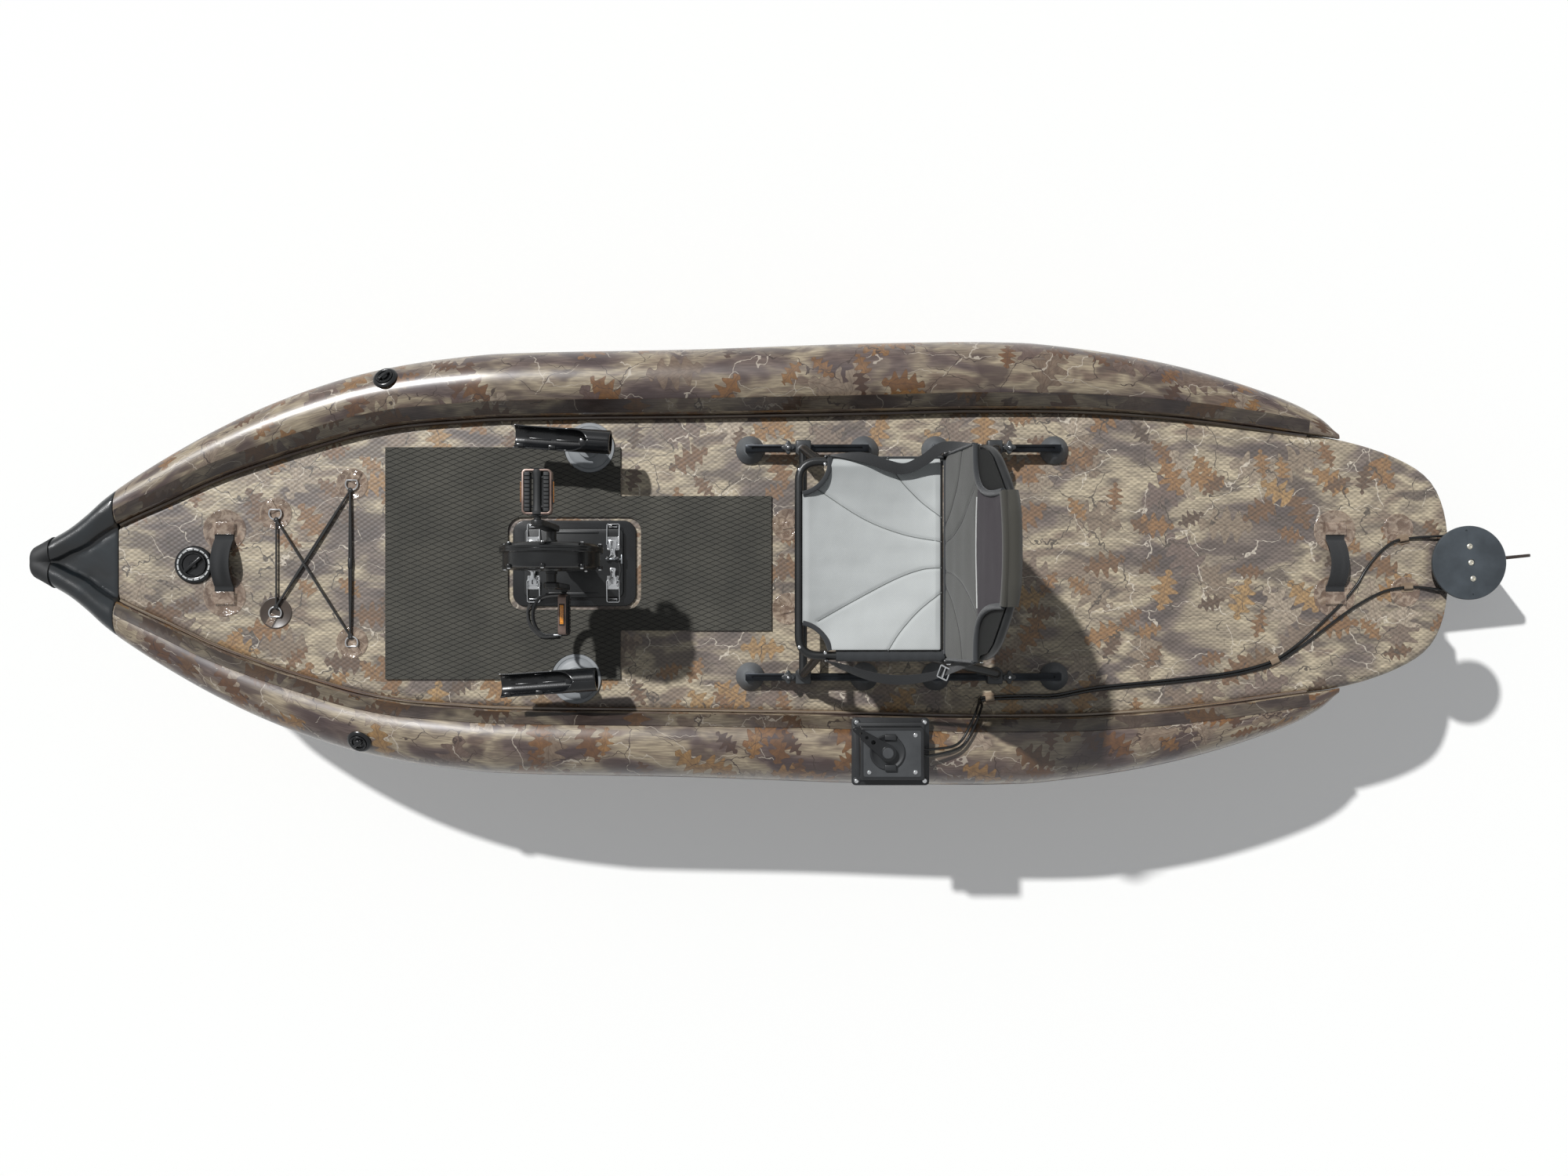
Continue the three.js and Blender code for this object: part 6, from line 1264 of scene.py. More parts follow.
# %% Rod holders
ROD_PIVOT, TRAY_AXIS = 0.2323, 0.2731
for word, side in (("port", 1), ("starboard", -1)):
    x, y = ROD_PLACES[side]
    yaw = Matrix.Translation((x, y, 0)) @ Matrix.Rotation(math.radians(4 * side), 4, "Z")
    base = turned(f"rod_base_disc_{word}",
        [(0, 0.1503), (0.0588, 0.1503), (0.0598, 0.1512), (0.0598, 0.1538), (0.0586, 0.1552),
        (0.052, 0.1556), (0.0505, 0.1546), (0.0478, 0.1576), (0.0395, 0.1612), (0.03, 0.162),
        (0.0275, 0.1632), (0.0262, 0.166), (0.0258, 0.1735), (0.0245, 0.1743), (0, 0.1743)], 64)
    base.data.transform(yaw)
    dress(base, grey_plastic, "root", "grey_plastic", (f"rod_base_{word}",))

    body = turned("post_body", [(0, 0.1746), (0.016, 0.1746), (0.016, 0.1775), (0.0148, 0.1785),
                                (0.0148, 0.2035), (0.016, 0.2046), (0.016, 0.2083), (0, 0.2083)], 40)
    cheeks = []
    for hand in (1, -1):
        cheek = rod("fork_cheek", 0.0148, (0, hand * 0.0092, ROD_PIVOT), (0, hand * 0.015, ROD_PIVOT), 40,
            0.0015)
        stem = box("fork_stem", (-0.0148, min(hand * 0.0092, hand * 0.015), 0.204),
                   (0.0148, max(hand * 0.0092, hand * 0.015), ROD_PIVOT), 0.0012)
        cheeks += [cheek, stem]
    pin = rod("fork_pin", 0.0058, (0, -0.0176, ROD_PIVOT), (0, 0.0176, ROD_PIVOT), 24, 0.0012)
    post = joined(f"rod_post_fork_{word}", body, *cheeks, pin)
    post.data.transform(yaw)
    dress(post, black_plastic, f"rod_post_{word}", "black_plastic", (f"rod_post_{word}",))

    def trough(u, v, skin):
        """The open trough: a pipe at the back, cut away to less than half a pipe towards the bow."""
        along = -0.067 + 0.225 * u
        opening = min(1, max(0, (along + 0.015) / 0.05)) ** 0.6
        reach = math.pi * (1 - 0.53 * opening)
        angle = -math.pi / 2 + reach * (2 * v - 1)
        flare = 0.0022 * max(0, (along - 0.135) / 0.023)
        radius = 0.025 - 0.0012 + flare * 0.5 - skin
        return Vector((along, radius * math.cos(angle), TRAY_AXIS + radius * math.sin(angle)))

    tray = wrapped("tray_shell", lambda u, v: trough(u, v, 0), 48, 32)
    modify(tray, "SOLIDIFY", thickness=0.0034, offset=-1)
    bevelled(tray, 0.0008, 2, 60)
    collar = turned("tray_collar", [(0.0208, 0), (0.0246, 0), (0.025, 0.0015), (0.025, 0.0105),
                                    (0.0246, 0.012), (0.0208, 0.012), (0.0208, 0)], 48)
    placed(collar, (-0.067, 0, TRAY_AXIS), (1, 0, 0))
    lug = box("tray_lug", (-0.0085, -0.0085, ROD_PIVOT - 0.0085), (0.0085, 0.0085, 0.2512), 0.0018)
    bore = rod("lug_bore", 0.0064, (0, -0.02, ROD_PIVOT), (0, 0.02, ROD_PIVOT), 24)
    carved(lug, bore)
    hooks = [box("tray_hook", (start, hand * 0.0185 - 0.002, TRAY_AXIS + 0.0005),
                 (start + 0.016, hand * 0.0185 + 0.0035 * hand + 0.002, TRAY_AXIS + 0.0052), 0.0012)
             for start in (0.058, 0.132) for hand in (1, -1)]
    ribs = [box("tray_rib", (start, -0.0016, TRAY_AXIS - 0.0262),
        (start + 0.05, 0.0016, TRAY_AXIS - 0.0215), 0.0008) for start in (0.012, 0.075)]
    holder = joined(f"rod_tray_trough_{word}", tray, collar, lug, *hooks, *ribs)
    holder.data.transform(yaw)
    dress(holder, satin_plastic, f"rod_tray_{word}", "black_plastic", (f"rod_tray_{word}",))
print("rod holders stand at", ROD_PLACES)

# %% [markdown]
# ## Air valves
# A valve is a moulded flange with a screw cap in it. The deck's valve has a ring of pale marks and
# a bar across its cap to turn it by. The two on the tubes are smaller and lean with the tube.

# %% Air valves
def valve_matrix(x, y, z, normal):
    up = Vector(normal).normalized()
    along = (Vector((1, 0, 0)) - up * up.x).normalized()
    across = up.cross(along)
    matrix = Matrix((along, across, up)).transposed().to_4x4()
    matrix.translation = (x, y, z)
    return matrix


def air_valve(word, matrix, radius, cap_radius, marks):
    seat = turned(f"valve_flange_{word}", [
        (cap_radius + 0.0006, 0.0005), (radius - 0.001, 0.0005), (radius, 0.0016), (radius, 0.0026),
        (radius - 0.0016, 0.0046), (radius - 0.0046, 0.0066), (radius - 0.007, 0.0071),
        (cap_radius + 0.0022, 0.0071), (cap_radius + 0.0008, 0.0062), (cap_radius + 0.0006, 0.0005)], 64)
    seat.data.transform(matrix)
    dress(seat, satin_plastic, "root", "black_plastic", (f"{word}_valve_seat",))
    bowl = cap_radius - 0.004
    cap = turned("valve_cap", [
        (0, 0.004), (cap_radius, 0.004), (cap_radius, 0.008), (cap_radius - 0.0012, 0.0091),
        (bowl, 0.0091), (bowl - 0.0016, 0.0066), (0.004, 0.006), (0, 0.006)], 64)
    bar = box("valve_bar", (-bowl + 0.0004, -0.0038, 0.005), (bowl - 0.0004, 0.0038, 0.0146), 0.0022, 3)
    boss = turned("valve_boss",
        [(0, 0.006), (0.0095, 0.006), (0.0088, 0.0104), (0.007, 0.0122), (0, 0.0124)], 32)
    bar.data.transform(Matrix.Rotation(math.radians(42), 4, "Z"))
    parts = [cap, bar, boss]
    for k in range(12):
        angle, reach = 2 * math.pi * k / 12, cap_radius - 0.0022
        notch = box("cap_notch", (-0.0011, -0.0009, 0), (0.0011, 0.0009, 0.0012), 0.0003, 1)
        parts.append(placed(notch, (reach * math.cos(angle), reach * math.sin(angle), 0.0088), turn=angle))
    knob = joined(f"valve_cap_screw_{word}", *parts)
    knob.data.transform(matrix)
    dress(knob, satin_plastic, f"{word}_valve_cap", "black_plastic", (f"{word}_valve_cap",))
    if marks:
        strips = []
        for k in range(marks):
            low, high = (2 * math.pi * (k + share) / marks for share in (0.09, 0.91))
            ring = radius - 0.0088
            arc = [(r * math.cos(a), r * math.sin(a)) for r, angles in
                   ((ring + 0.0018, np.linspace(low, high, 7)), (ring - 0.0018, np.linspace(high, low, 7)))
                   for a in angles]
            strips.append(slab("valve_mark", arc, 0.0069, 0.0076, 0.0002, 1))
        marks_ring = joined(f"valve_marks_{word}", *strips)
        marks_ring.data.transform(matrix)
        dress(marks_ring, pale_plastic, "root", "grey_plastic")


pale_plastic = moulded_plastic("abs_plastic_pale", "#b9bcbc", "#d4d6d5", 0.4)
VALVE_X = 1.3005
deck_normal = (math.sin(deck_tilt(VALVE_X)), 0, math.cos(deck_tilt(VALVE_X)))
air_valve("deck", valve_matrix(VALVE_X, 0.004, deck_height(VALVE_X) + 0.0009, deck_normal), 0.045, 0.03, 16)
air_valve("port", valve_matrix(0.8959, 0.4218, 0.1997, (0.1105, 0.5059, 0.8555)), 0.029, 0.019, 0)
air_valve("starboard", valve_matrix(0.8347, -0.4342, 0.2004, (0.1152, -0.5063, 0.8546)), 0.029, 0.019, 0)

# %% [markdown]
# ## Drive well
# The drive drops through a rectangular well. Its moulded frame lies on the deck with a trunk
# below it, and four steel catches on it hold the latches.

# %% Well frame
TRUNK_LENGTH, TRUNK_WIDTH, FRAME_TOP, PLATE_LOW, PLATE_TOP = 0.2, 0.13, 0.1563, 0.1566, 0.1686


def at_drive(piece, turn=0, height=0, x=0, y=0):
    return moved(piece, Matrix.Translation((WELL_X + x, y, height)) @ Matrix.Rotation(turn, 4, "Z"))


LATCH_LOW, CRANK_REACH, PEDAL_MIDDLE = 0.168, 0.155, 0.124
LATCHES = [(0.0948, 0.05, 0), (-0.0948, 0.05, 0), (0.0948, -0.05, math.pi), (-0.0948, -0.05, math.pi)]

frame_plate = slab("well_frame_plate", rounded_rectangle(0.295, 0.205, 0.03, steps=12), 0.1503, FRAME_TOP)
bevelled(frame_plate, 0.0018, 3, 60)
trunk = slab("well_trunk", rounded_rectangle(0.208, 0.138, 0.006), 0.0005, 0.153)
for part in (frame_plate, trunk):
    carved(part, slab("well_hole", rounded_rectangle(TRUNK_LENGTH, TRUNK_WIDTH, 0.004), -0.01, 0.17))
catches = []
for x, y, turn in LATCHES:
    catch = box("well_catch", (-0.01, 0.0361, 0.1558), (0.01, 0.0411, 0.1722), 0.0009)
    hook = box("catch_hook", (-0.01, 0.0345, 0.17), (0.01, 0.0411, 0.1722), 0.0009)
    catches += [at_drive(part, turn, 0, x, y) for part in (catch, hook)]
well_frame = joined("well_frame_moulded", frame_plate, trunk)
at_drive(well_frame)
dress(well_frame, satin_plastic, "root", "black_plastic", ("well_frame",))
dress(joined("well_catches", *catches), chrome, "root", "steel")

# %% [markdown]
# ## Drive plate and latches
# The plate that carries the drive closes the well. Each latch has a riveted base with two ears, a
# lever pressed from sheet steel that narrows behind its pivot, and a wire bail that reaches to
# the catch.

# %% Drive plate
plate = slab("drive_plate_cast", rounded_rectangle(0.237, 0.165, 0.014, steps=10), PLATE_LOW, PLATE_TOP)
bevelled(plate, 0.0028, 3, 60)
leg_hole = slab("leg_hole", [(0.0315 * math.cos(a), 0.0185 * math.sin(a))
                             for a in ring_angles(64)], 0.1, 0.2)
carved(plate, leg_hole)
rim = slab("plate_rim", rounded_rectangle(0.199, 0.129, 0.005), 0.1266, 0.16)
carved(rim, slab("rim_hole", rounded_rectangle(0.189, 0.119, 0.0025), 0.1, 0.159))
lip = [slab("plate_lip", rounded_rectangle(0.12, 0.007, 0.0034, (0, y), 5), PLATE_TOP - 0.001,
            PLATE_TOP + 0.0014, 0.0008, 2, 60) for y in (-0.0735, 0.0735)]
drive_plate = joined("drive_plate_cast", plate, rim, *lip)
at_drive(drive_plate)
dress(drive_plate, painted_metal, "drive", "black_metal", ("drive_plate",))

ears, rivets = [], []
for x, y, turn in LATCHES:
    base = slab("latch_base", rounded_rectangle(0.03, 0.033, 0.004, (0, -0.0035)), 0.1682, 0.17, 0.0005, 1,
        60)
    sides = []
    for hand in (1, -1):
        outline = [(-0.003, 0), (0.007, 0), (0.007, 0.007), (0.0055, 0.0105), (0.002, 0.0118),
            (-0.0015, 0.0105), (-0.003, 0.007)]
        ear = slab("latch_ear", outline, -0.00075, 0.00075, 0.0003, 1, 60)
        upright = Matrix.Rotation(math.pi / 2, 4, "Z") @ Matrix.Rotation(math.pi / 2, 4, "X")
        sides.append(moved(ear, Matrix.Translation((hand * 0.01075, 0, LATCH_LOW)) @ upright))
    for part in (base, *sides):
        ears.append(at_drive(part, turn, 0, x, y))
    for dx, dy in ((-0.012, -0.017), (0.012, -0.017), (-0.012, 0.01), (0.012, 0.01)):
        rivet = screw("latch_rivet", 0.0022, 0.001, (dx, dy, 0.17), sides=14)
        rivets.append(at_drive(rivet, turn, 0, x, y))
dress(joined("latch_bases", *ears, *rivets), chrome, "drive", "steel")

# %% Latches
for i, (x, y, turn) in enumerate(LATCHES):
    half = [(0.0088, 0.004), (0.009, 0.002), (0.009, -0.01), (0.0078, -0.0145), (0.0058, -0.018),
            (0.0052, -0.024), (0.0058, -0.029), (0.0072, -0.0325), (0.0074, -0.0355), (0.006, -0.0378),
            (0.003, -0.0384)]
    outline = half + [(-a, b) for a, b in reversed(half)]
    top = slab("lever_top", outline, 0.009, 0.0105, 0.0005, 2, 50)
    carved(top, slab("lever_slot", rounded_rectangle(0.006, 0.011, 0.0028, (0, -0.0045)), 0.005, 0.015))
    rib = slab("lever_rib", rounded_rectangle(0.0036, 0.016, 0.0016, (0, -0.0245)), 0.0098, 0.0112, 0.0005,
        2, 60)
    cheeks = [box("lever_cheek", (hand * 0.00825 - 0.00075, -0.016, 0.0042),
                  (hand * 0.00825 + 0.00075, 0.004, 0.01), 0.0004, 1) for hand in (1, -1)]
    pin = rod("lever_pin", 0.0018, (-0.0122, 0.002, 0.007), (0.0122, 0.002, 0.007), 16, 0.0003)
    lever = joined(f"latch_lever_pressed_{i + 1}", top, rib, *cheeks, pin)
    at_drive(lever, turn, LATCH_LOW, x, y)
    dress(lever, chrome, f"latch_lever_{i + 1}", "steel", (f"latch_lever_{i + 1}",))
    path = rounded_path([(0.0095, -0.008, 0.009), (0.0145, -0.008, 0.009), (0.0145, 0.043, 0.0016),
        (-0.0145, 0.043, 0.0016), (-0.0145, -0.008, 0.009), (-0.0095, -0.008, 0.009)], 0.004, 5)
    bail = tube(f"latch_bail_wire_{i + 1}", path, 0.0014, 12)
    at_drive(bail, turn, LATCH_LOW, x, y)
    dress(bail, chrome, f"latch_bail_{i + 1}", "steel", (f"latch_bail_{i + 1}",))

# %% Safety pin
pin_height, pin_side, eye_x = PLATE_TOP + 0.0045, -0.009, WELL_X - 0.1005
pin = rod("safety_pin_rod", 0.0028, (WELL_X - 0.078, pin_side, pin_height),
          (WELL_X - 0.114, pin_side, pin_height), 20, 0.0008)
handle = rod("safety_pin_bar", 0.0026, (WELL_X - 0.1155, -0.02, pin_height),
             (WELL_X - 0.1155, 0.002, pin_height), 20, 0.001)
eye_ring = [Vector((eye_x + 0.006 * math.cos(a), pin_side, pin_height + 0.0035 + 0.006 * math.sin(a) * 0.75))
            for a in ring_angles(20)]
eye = tube("safety_pin_eye", eye_ring, 0.0009, 10, closed=True)
blocks = [box("pin_block", (WELL_X - x - 0.004, -0.0145, PLATE_TOP - 0.0006),
              (WELL_X - x + 0.004, -0.0035, pin_height + 0.0036), 0.0012) for x in (0.083, 0.107)]
dress(joined("safety_pin", pin, handle, eye), gear_steel, "drive", "gear_steel")
dress(joined("safety_pin_blocks", *blocks), black_plastic, "drive", "black_plastic")
tether = tube("pin_tether", smooth_path([
    (eye_x, pin_side, pin_height + 0.007), (WELL_X - 0.108, -0.003, PLATE_TOP + 0.0035),
    (WELL_X - 0.112, 0.016, PLATE_TOP + 0.0022), (WELL_X - 0.1085, 0.038, PLATE_TOP + 0.0018),
    (WELL_X - 0.103, 0.052, PLATE_TOP + 0.0016)], 8), 0.0014, 12)
dress(tether, cord_cover, "drive", "webbing", (), 60)
LOOP = ((0.416, 0.072, 0.0034), (0.44, 0.0735, 0.0036), (0.461, 0.076, 0.0036), (0.488, 0.086, -0.004),
        (0.505, 0.104, -0.009), (0.507, 0.124, -0.0092), (0.5, 0.148, -0.0092), (0.475, 0.17, -0.0092),
        (0.441, 0.17, -0.0092))
strands = [tube("strand", smooth_path([(x, y + shift, PLATE_TOP + z) for x, y, z in LOOP], 8), 0.0028, 12)
           for shift in (0, 0.0058)]
strands.append(rod("loop_end", 0.0044, (0.4425, 0.173, PLATE_TOP - 0.0078),
    (0.4335, 0.1735, PLATE_TOP - 0.0078), 20, 0.0012))
dress(joined("drive_cord_loop", *strands), cord_cover, "drive", "webbing", (), 60)

# %% [markdown]
# ## Gearbox
# The gearbox is a flat drum of two castings, seen edge-on from above. Both are turned from their
# profiles. Short bosses stand on their shoulders, with a bright screw in each, and the joint between
# the castings is a narrow flange.

# %% Gearbox
AXLE = 0.45


def at_axle(piece, axis=(0, 1, 0), turn=0):
    return placed(piece, (WELL_X, 0, AXLE), axis, turn)


shell = turned("gearbox_shell_cast", [
    (0.008, 0.031), (0.02, 0.031), (0.0225, 0.029), (0.024, 0.0275), (0.06, 0.0268), (0.064, 0.0262),
    (0.068, 0.0268), (0.094, 0.0275), (0.0985, 0.0265), (0.1022, 0.0235), (0.1038, 0.0195), (0.104, 0.015),
    (0.104, -0.007), (0.1052, -0.008), (0.1102, -0.008), (0.111, -0.0088), (0.111, -0.0132),
    (0.1104, -0.014), (0.0998, -0.014), (0.0998, 0.0235), (0.008, 0.0235), (0.008, 0.031)], 112)
cover = turned("gearbox_cover_cast", [
    (0.008, -0.031), (0.02, -0.031), (0.0225, -0.029), (0.024, -0.0275), (0.06, -0.0268), (0.064, -0.0262),
    (0.068, -0.0268), (0.094, -0.0275), (0.0985, -0.0265), (0.1022, -0.024), (0.104, -0.0212),
    (0.1052, -0.0203), (0.1102, -0.0203), (0.111, -0.0195), (0.111, -0.0151), (0.1104, -0.0143),
    (0.0998, -0.0143), (0.0998, -0.0235), (0.008, -0.0235), (0.008, -0.031)], 112)
neck = box("gearbox_neck", (-0.033, -0.0138, 0.324), (0.033, 0.022, 0.399), 0.006, 4)
neck_rim = box("gearbox_neck_rim", (-0.036, -0.0138, 0.324), (0.036, 0.025, 0.331), 0.0022, 3)
at_drive(neck)
at_drive(neck_rim)
shell_bosses, cover_bosses, bolts = [], [], []
for angle in np.radians(range(-54, 235, 48)):
    x, z = 0.1035 * math.cos(angle), 0.1035 * math.sin(angle)
    spot = Vector((WELL_X + x, 0, AXLE + z))
    shell_bosses.append(rod("shell_boss", 0.0062, spot + Vector((0, 0.019, 0)),
                            spot + Vector((0, 0.0268, 0)), 24, 0.0012))
    cover_bosses.append(rod("cover_boss", 0.0062, spot - Vector((0, 0.0268, 0)),
                            spot - Vector((0, 0.0205, 0)), 24, 0.0012))
    for hand in (1, -1):
        bolts.append(screw("case_screw", 0.004, 0.0026, spot + Vector((0, hand * 0.0266, 0)), (0, hand, 0),
            20))
spokes = [[], []]
for k in range(8):
    for side, store in ((1, spokes[0]), (-1, spokes[1])):
        spoke = box("case_spoke", (0.03, -0.0022, 0.0262), (0.06, 0.0022, 0.0282), 0.0009, 2)
        spoke.data.transform(Matrix.Rotation(2 * math.pi * (k + 0.5) / 8, 4, "Z"))
        store.append(at_axle(spoke, (0, side, 0)))
for node, parts in (("gearbox_shell", [at_axle(shell), neck, neck_rim, *shell_bosses, *spokes[0]]),
                    ("gearbox_cover", [at_axle(cover), *cover_bosses, *spokes[1]])):
    dress(joined(f"{node}_cast", *parts), case_paint, "drive", "black_metal", (node,))
dress(joined("case_screws", *bolts), chrome, "drive", "steel")

# %% [markdown]
# ## Leg, lower unit and propeller
# The leg is an oval extrusion. The lower unit is a pod whose saddle flows into it, so both are
# merged by a voxel remesh and smoothed. Each propeller blade is a lofted grid that twists from
# root to tip, and the second is its copy.

# %% Leg and lower unit
def oval(height, half_length, half_width, steps=56):
    return [Vector((half_length * math.cos(a), half_width * math.sin(a), height))
            for a in ring_angles(steps)]


def lofted(name, rings):
    last, around = len(rings) - 1, len(rings[0])
    return wrapped(name, lambda u, v: rings[round(u * last)][round(v * around) % around], last, around,
        close=True)


leg_rings = [oval(z, 0.031 + grow, 0.018 + grow) for z, grow in (
    (-0.182, -0.0008), (-0.181, 0), (0.14, 0), (0.205, 0), (0.206, 0.0022), (0.218, 0.0022),
    (0.219, 0), (0.305, 0), (0.306, 0.0024), (0.3225, 0.0024), (0.3235, 0.0014))]
leg = lofted("drive_leg_extruded", leg_rings)
at_drive(leg)
dress(leg, painted_metal, "drive", "black_metal", ("drive_leg",))

PROP_AXIS = -0.215
pod = turned("lower_pod", [(0, 0), (0.007, 0.0022), (0.0132, 0.0066), (0.019, 0.0135), (0.0236, 0.0235),
                           (0.0262, 0.034), (0.027, 0.046), (0.027, 0.11), (0.0255, 0.125),
                           (0.0222, 0.137), (0.019, 0.1418), (0, 0.1418)], 64)
pod.data.transform(Matrix.Translation((0.084, 0, PROP_AXIS)) @ Matrix.Rotation(-math.pi / 2, 4, "Y"))
saddle = lofted("lower_saddle", [oval(z, 0.031, 0.018) for z in (PROP_AXIS, -0.2, -0.1835)])
lower_unit = joined("lower_unit_cast", pod, saddle)
modify(lower_unit, "REMESH", mode="VOXEL", voxel_size=0.0022)
modify(lower_unit, "SMOOTH", factor=0.5, iterations=6)
at_drive(lower_unit)
dress(lower_unit, painted_metal, "drive", "black_metal", ("lower_unit",), 60)

# %% Propeller
def blade_ring(share):
    radius = 0.012 + share * 0.108
    pitch = math.radians(58 - 30 * share)
    chord = 0.046 * (0.55 + 0.75 * share - 0.85 * share ** 3)
    if share > 0.86:
        chord *= math.sqrt(max(0.05, 1 - ((share - 0.86) / 0.142) ** 2))
    points = []
    for a in ring_angles(32):
        along = chord / 2 * math.cos(a)
        across = 0.0025 * (1 - share / 2) * math.sin(a) * (1 + 0.35 * math.cos(a))
        points.append(Vector((along * math.sin(pitch) + across * math.cos(pitch),
                              along * math.cos(pitch) - across * math.sin(pitch), radius)))
    return points


blade = lofted("blade",
    [blade_ring(share) for share in (*np.linspace(0, 0.86, 20), 0.9, 0.94, 0.97, 0.99, 1)])
blade.data.transform(Matrix.Translation((-0.072, 0, 0)))
other_blade = copied(blade, "blade_other", Matrix.Rotation(math.pi, 4, "X"))
hub = turned("hub",
    [(0, 0), (0.004, 0.0004), (0.0085, 0.003), (0.0135, 0.0078), (0.018, 0.0132), (0.0198, 0.018),
    (0.02, 0.0215), (0.02, 0.0335), (0.0192, 0.034), (0.0055, 0.034), (0.005, 0.0335), (0.005, 0.079),
    (0, 0.079)], 56)
hub.data.transform(Matrix.Translation((-0.0925, 0, 0)) @ Matrix.Rotation(math.pi / 2, 4, "Y"))
propeller = joined("propeller_moulded", hub, blade, other_blade)
at_drive(propeller, 0, PROP_AXIS)
dress(propeller, satin_plastic, "propeller", "black_plastic", ("propeller",), 50)

# %% [markdown]
# ## Crank and pedals
# Forged crank arms taper from hub to eye, with a shallow channel down their face and a dust cap
# over the axle. Each pedal is a frame with two rubber treads, a barrel on bearings, amber
# reflectors and a toe strap of doubled webbing.

# %% Crank
def taper_outline(steps=12):
    """From the hub's round to the eye's round, drawn down the arm."""
    points = [(0.017 * math.cos(a), 0.017 * math.sin(a)) for a in np.linspace(-0.1, math.pi + 0.1, steps)]
    return points + [(0.013 * math.cos(a), -CRANK_REACH + 0.013 * math.sin(a))
                     for a in np.linspace(math.pi - 0.1, 2 * math.pi + 0.1, steps)]


def crank_arm(side, up):
    arm = slab("crank_arm", taper_outline(), 0.055, 0.068)
    bevelled(arm, 0.0026, 3, 40)
    groove = slab("arm_groove", [(0.0052, -0.022), (-0.0052, -0.022), (-0.004, -0.135), (0.004, -0.135)],
        0.0662, 0.08)
    carved(arm, groove)
    cap = turned("arm_cap", [(0, 0.068), (0.0115, 0.068), (0.011, 0.0696), (0.009, 0.0712), (0, 0.0716)], 36)
    spindle = turned("pedal_spindle",
        [(0, 0.06), (0.0075, 0.06), (0.0075, 0.0715), (0.0055, 0.0735), (0.0055, 0.165), (0.0048, 0.166),
        (0, 0.166)], 32)
    spindle.data.transform(Matrix.Translation((0, -CRANK_REACH, 0)))
    whole = joined("crank_side", arm, cap, spindle)
    flip = Matrix.Rotation(math.pi / 2, 4, "X") @ Matrix.Diagonal((1, 1, -1, 1))
    whole.data.transform(Matrix.Diagonal((1, side, 1, 1)) @ flip)
    if up:
        whole.data.transform(Matrix.Diagonal((1, 1, -1, 1)))
    return at_drive(tidy_mesh(whole, 1e-6), 0, AXLE)


axle = rod("crank_axle", 0.0075, (WELL_X, -0.0575, AXLE), (WELL_X, 0.0575, AXLE), 32)
sleeves = [
    turned("axle_sleeve",
    [(0.0078, 0.0312), (0.0125, 0.0312), (0.0125, 0.0365), (0.0105, 0.0372), (0.0105, 0.0545),
    (0.0078, 0.0545), (0.0078, 0.0312)], 36) for _ in range(2)]
at_axle(sleeves[0], (0, 1, 0))
at_axle(sleeves[1], (0, -1, 0))
crank = joined("crank_forged", crank_arm(1, False), crank_arm(-1, True), axle, *sleeves)
dress(crank, painted_metal, "crank", "black_metal", ("crank",))

# %% Pedal finishes
cage_metal = drawn_metal("anodised_aluminium_bronze", "#6b5951", "#97837a", 0.38, 0.55)


def make_reflector():
    """Clear amber plastic over a grid of small prisms, 3 mm apart, which sparkle; a weak emission in the same
    colour is a painted glow.
    """
    material, tree, shader = new_finish("acrylic_amber", Roughness=0.12, Coat_Weight=0.8, Coat_Roughness=0.05)
    places = object_places(tree)
    prisms = add(tree, "TexVoronoi", {"feature": "F1"}, Vector=places, Scale=330)
    tone = ramp(tree, prisms.outputs["Distance"], (0.1, "#ffb13a"), (0.6, "#c9761a"))
    coloured(tree, shader, tone)
    # Painted glow: the amber colour also drives a weak emission, so the lenses shine a little without any
    # lamp.
    tree.links.new(tone, shader.inputs["Emission Color"])
    shader.inputs["Emission Strength"].default_value = 0.12
    bumped(tree, shader, prisms.outputs["Distance"], 0.6, 0.0008)
    return material


amber = make_reflector()

# %% Pedals
def strap_path(steps=28):
    inner, outer = 0.0762, 0.1718
    middle, half = (inner + outer) / 2, (outer - inner) / 2
    points = [Vector((0, middle - half, 0.0081))]
    for angle in np.linspace(math.pi, 0, steps):
        points.append(Vector((0, middle + half * math.cos(angle), -(0.036 + 0.036 * math.sin(angle)))))
    return points + [Vector((0, middle + half, 0.0081))]


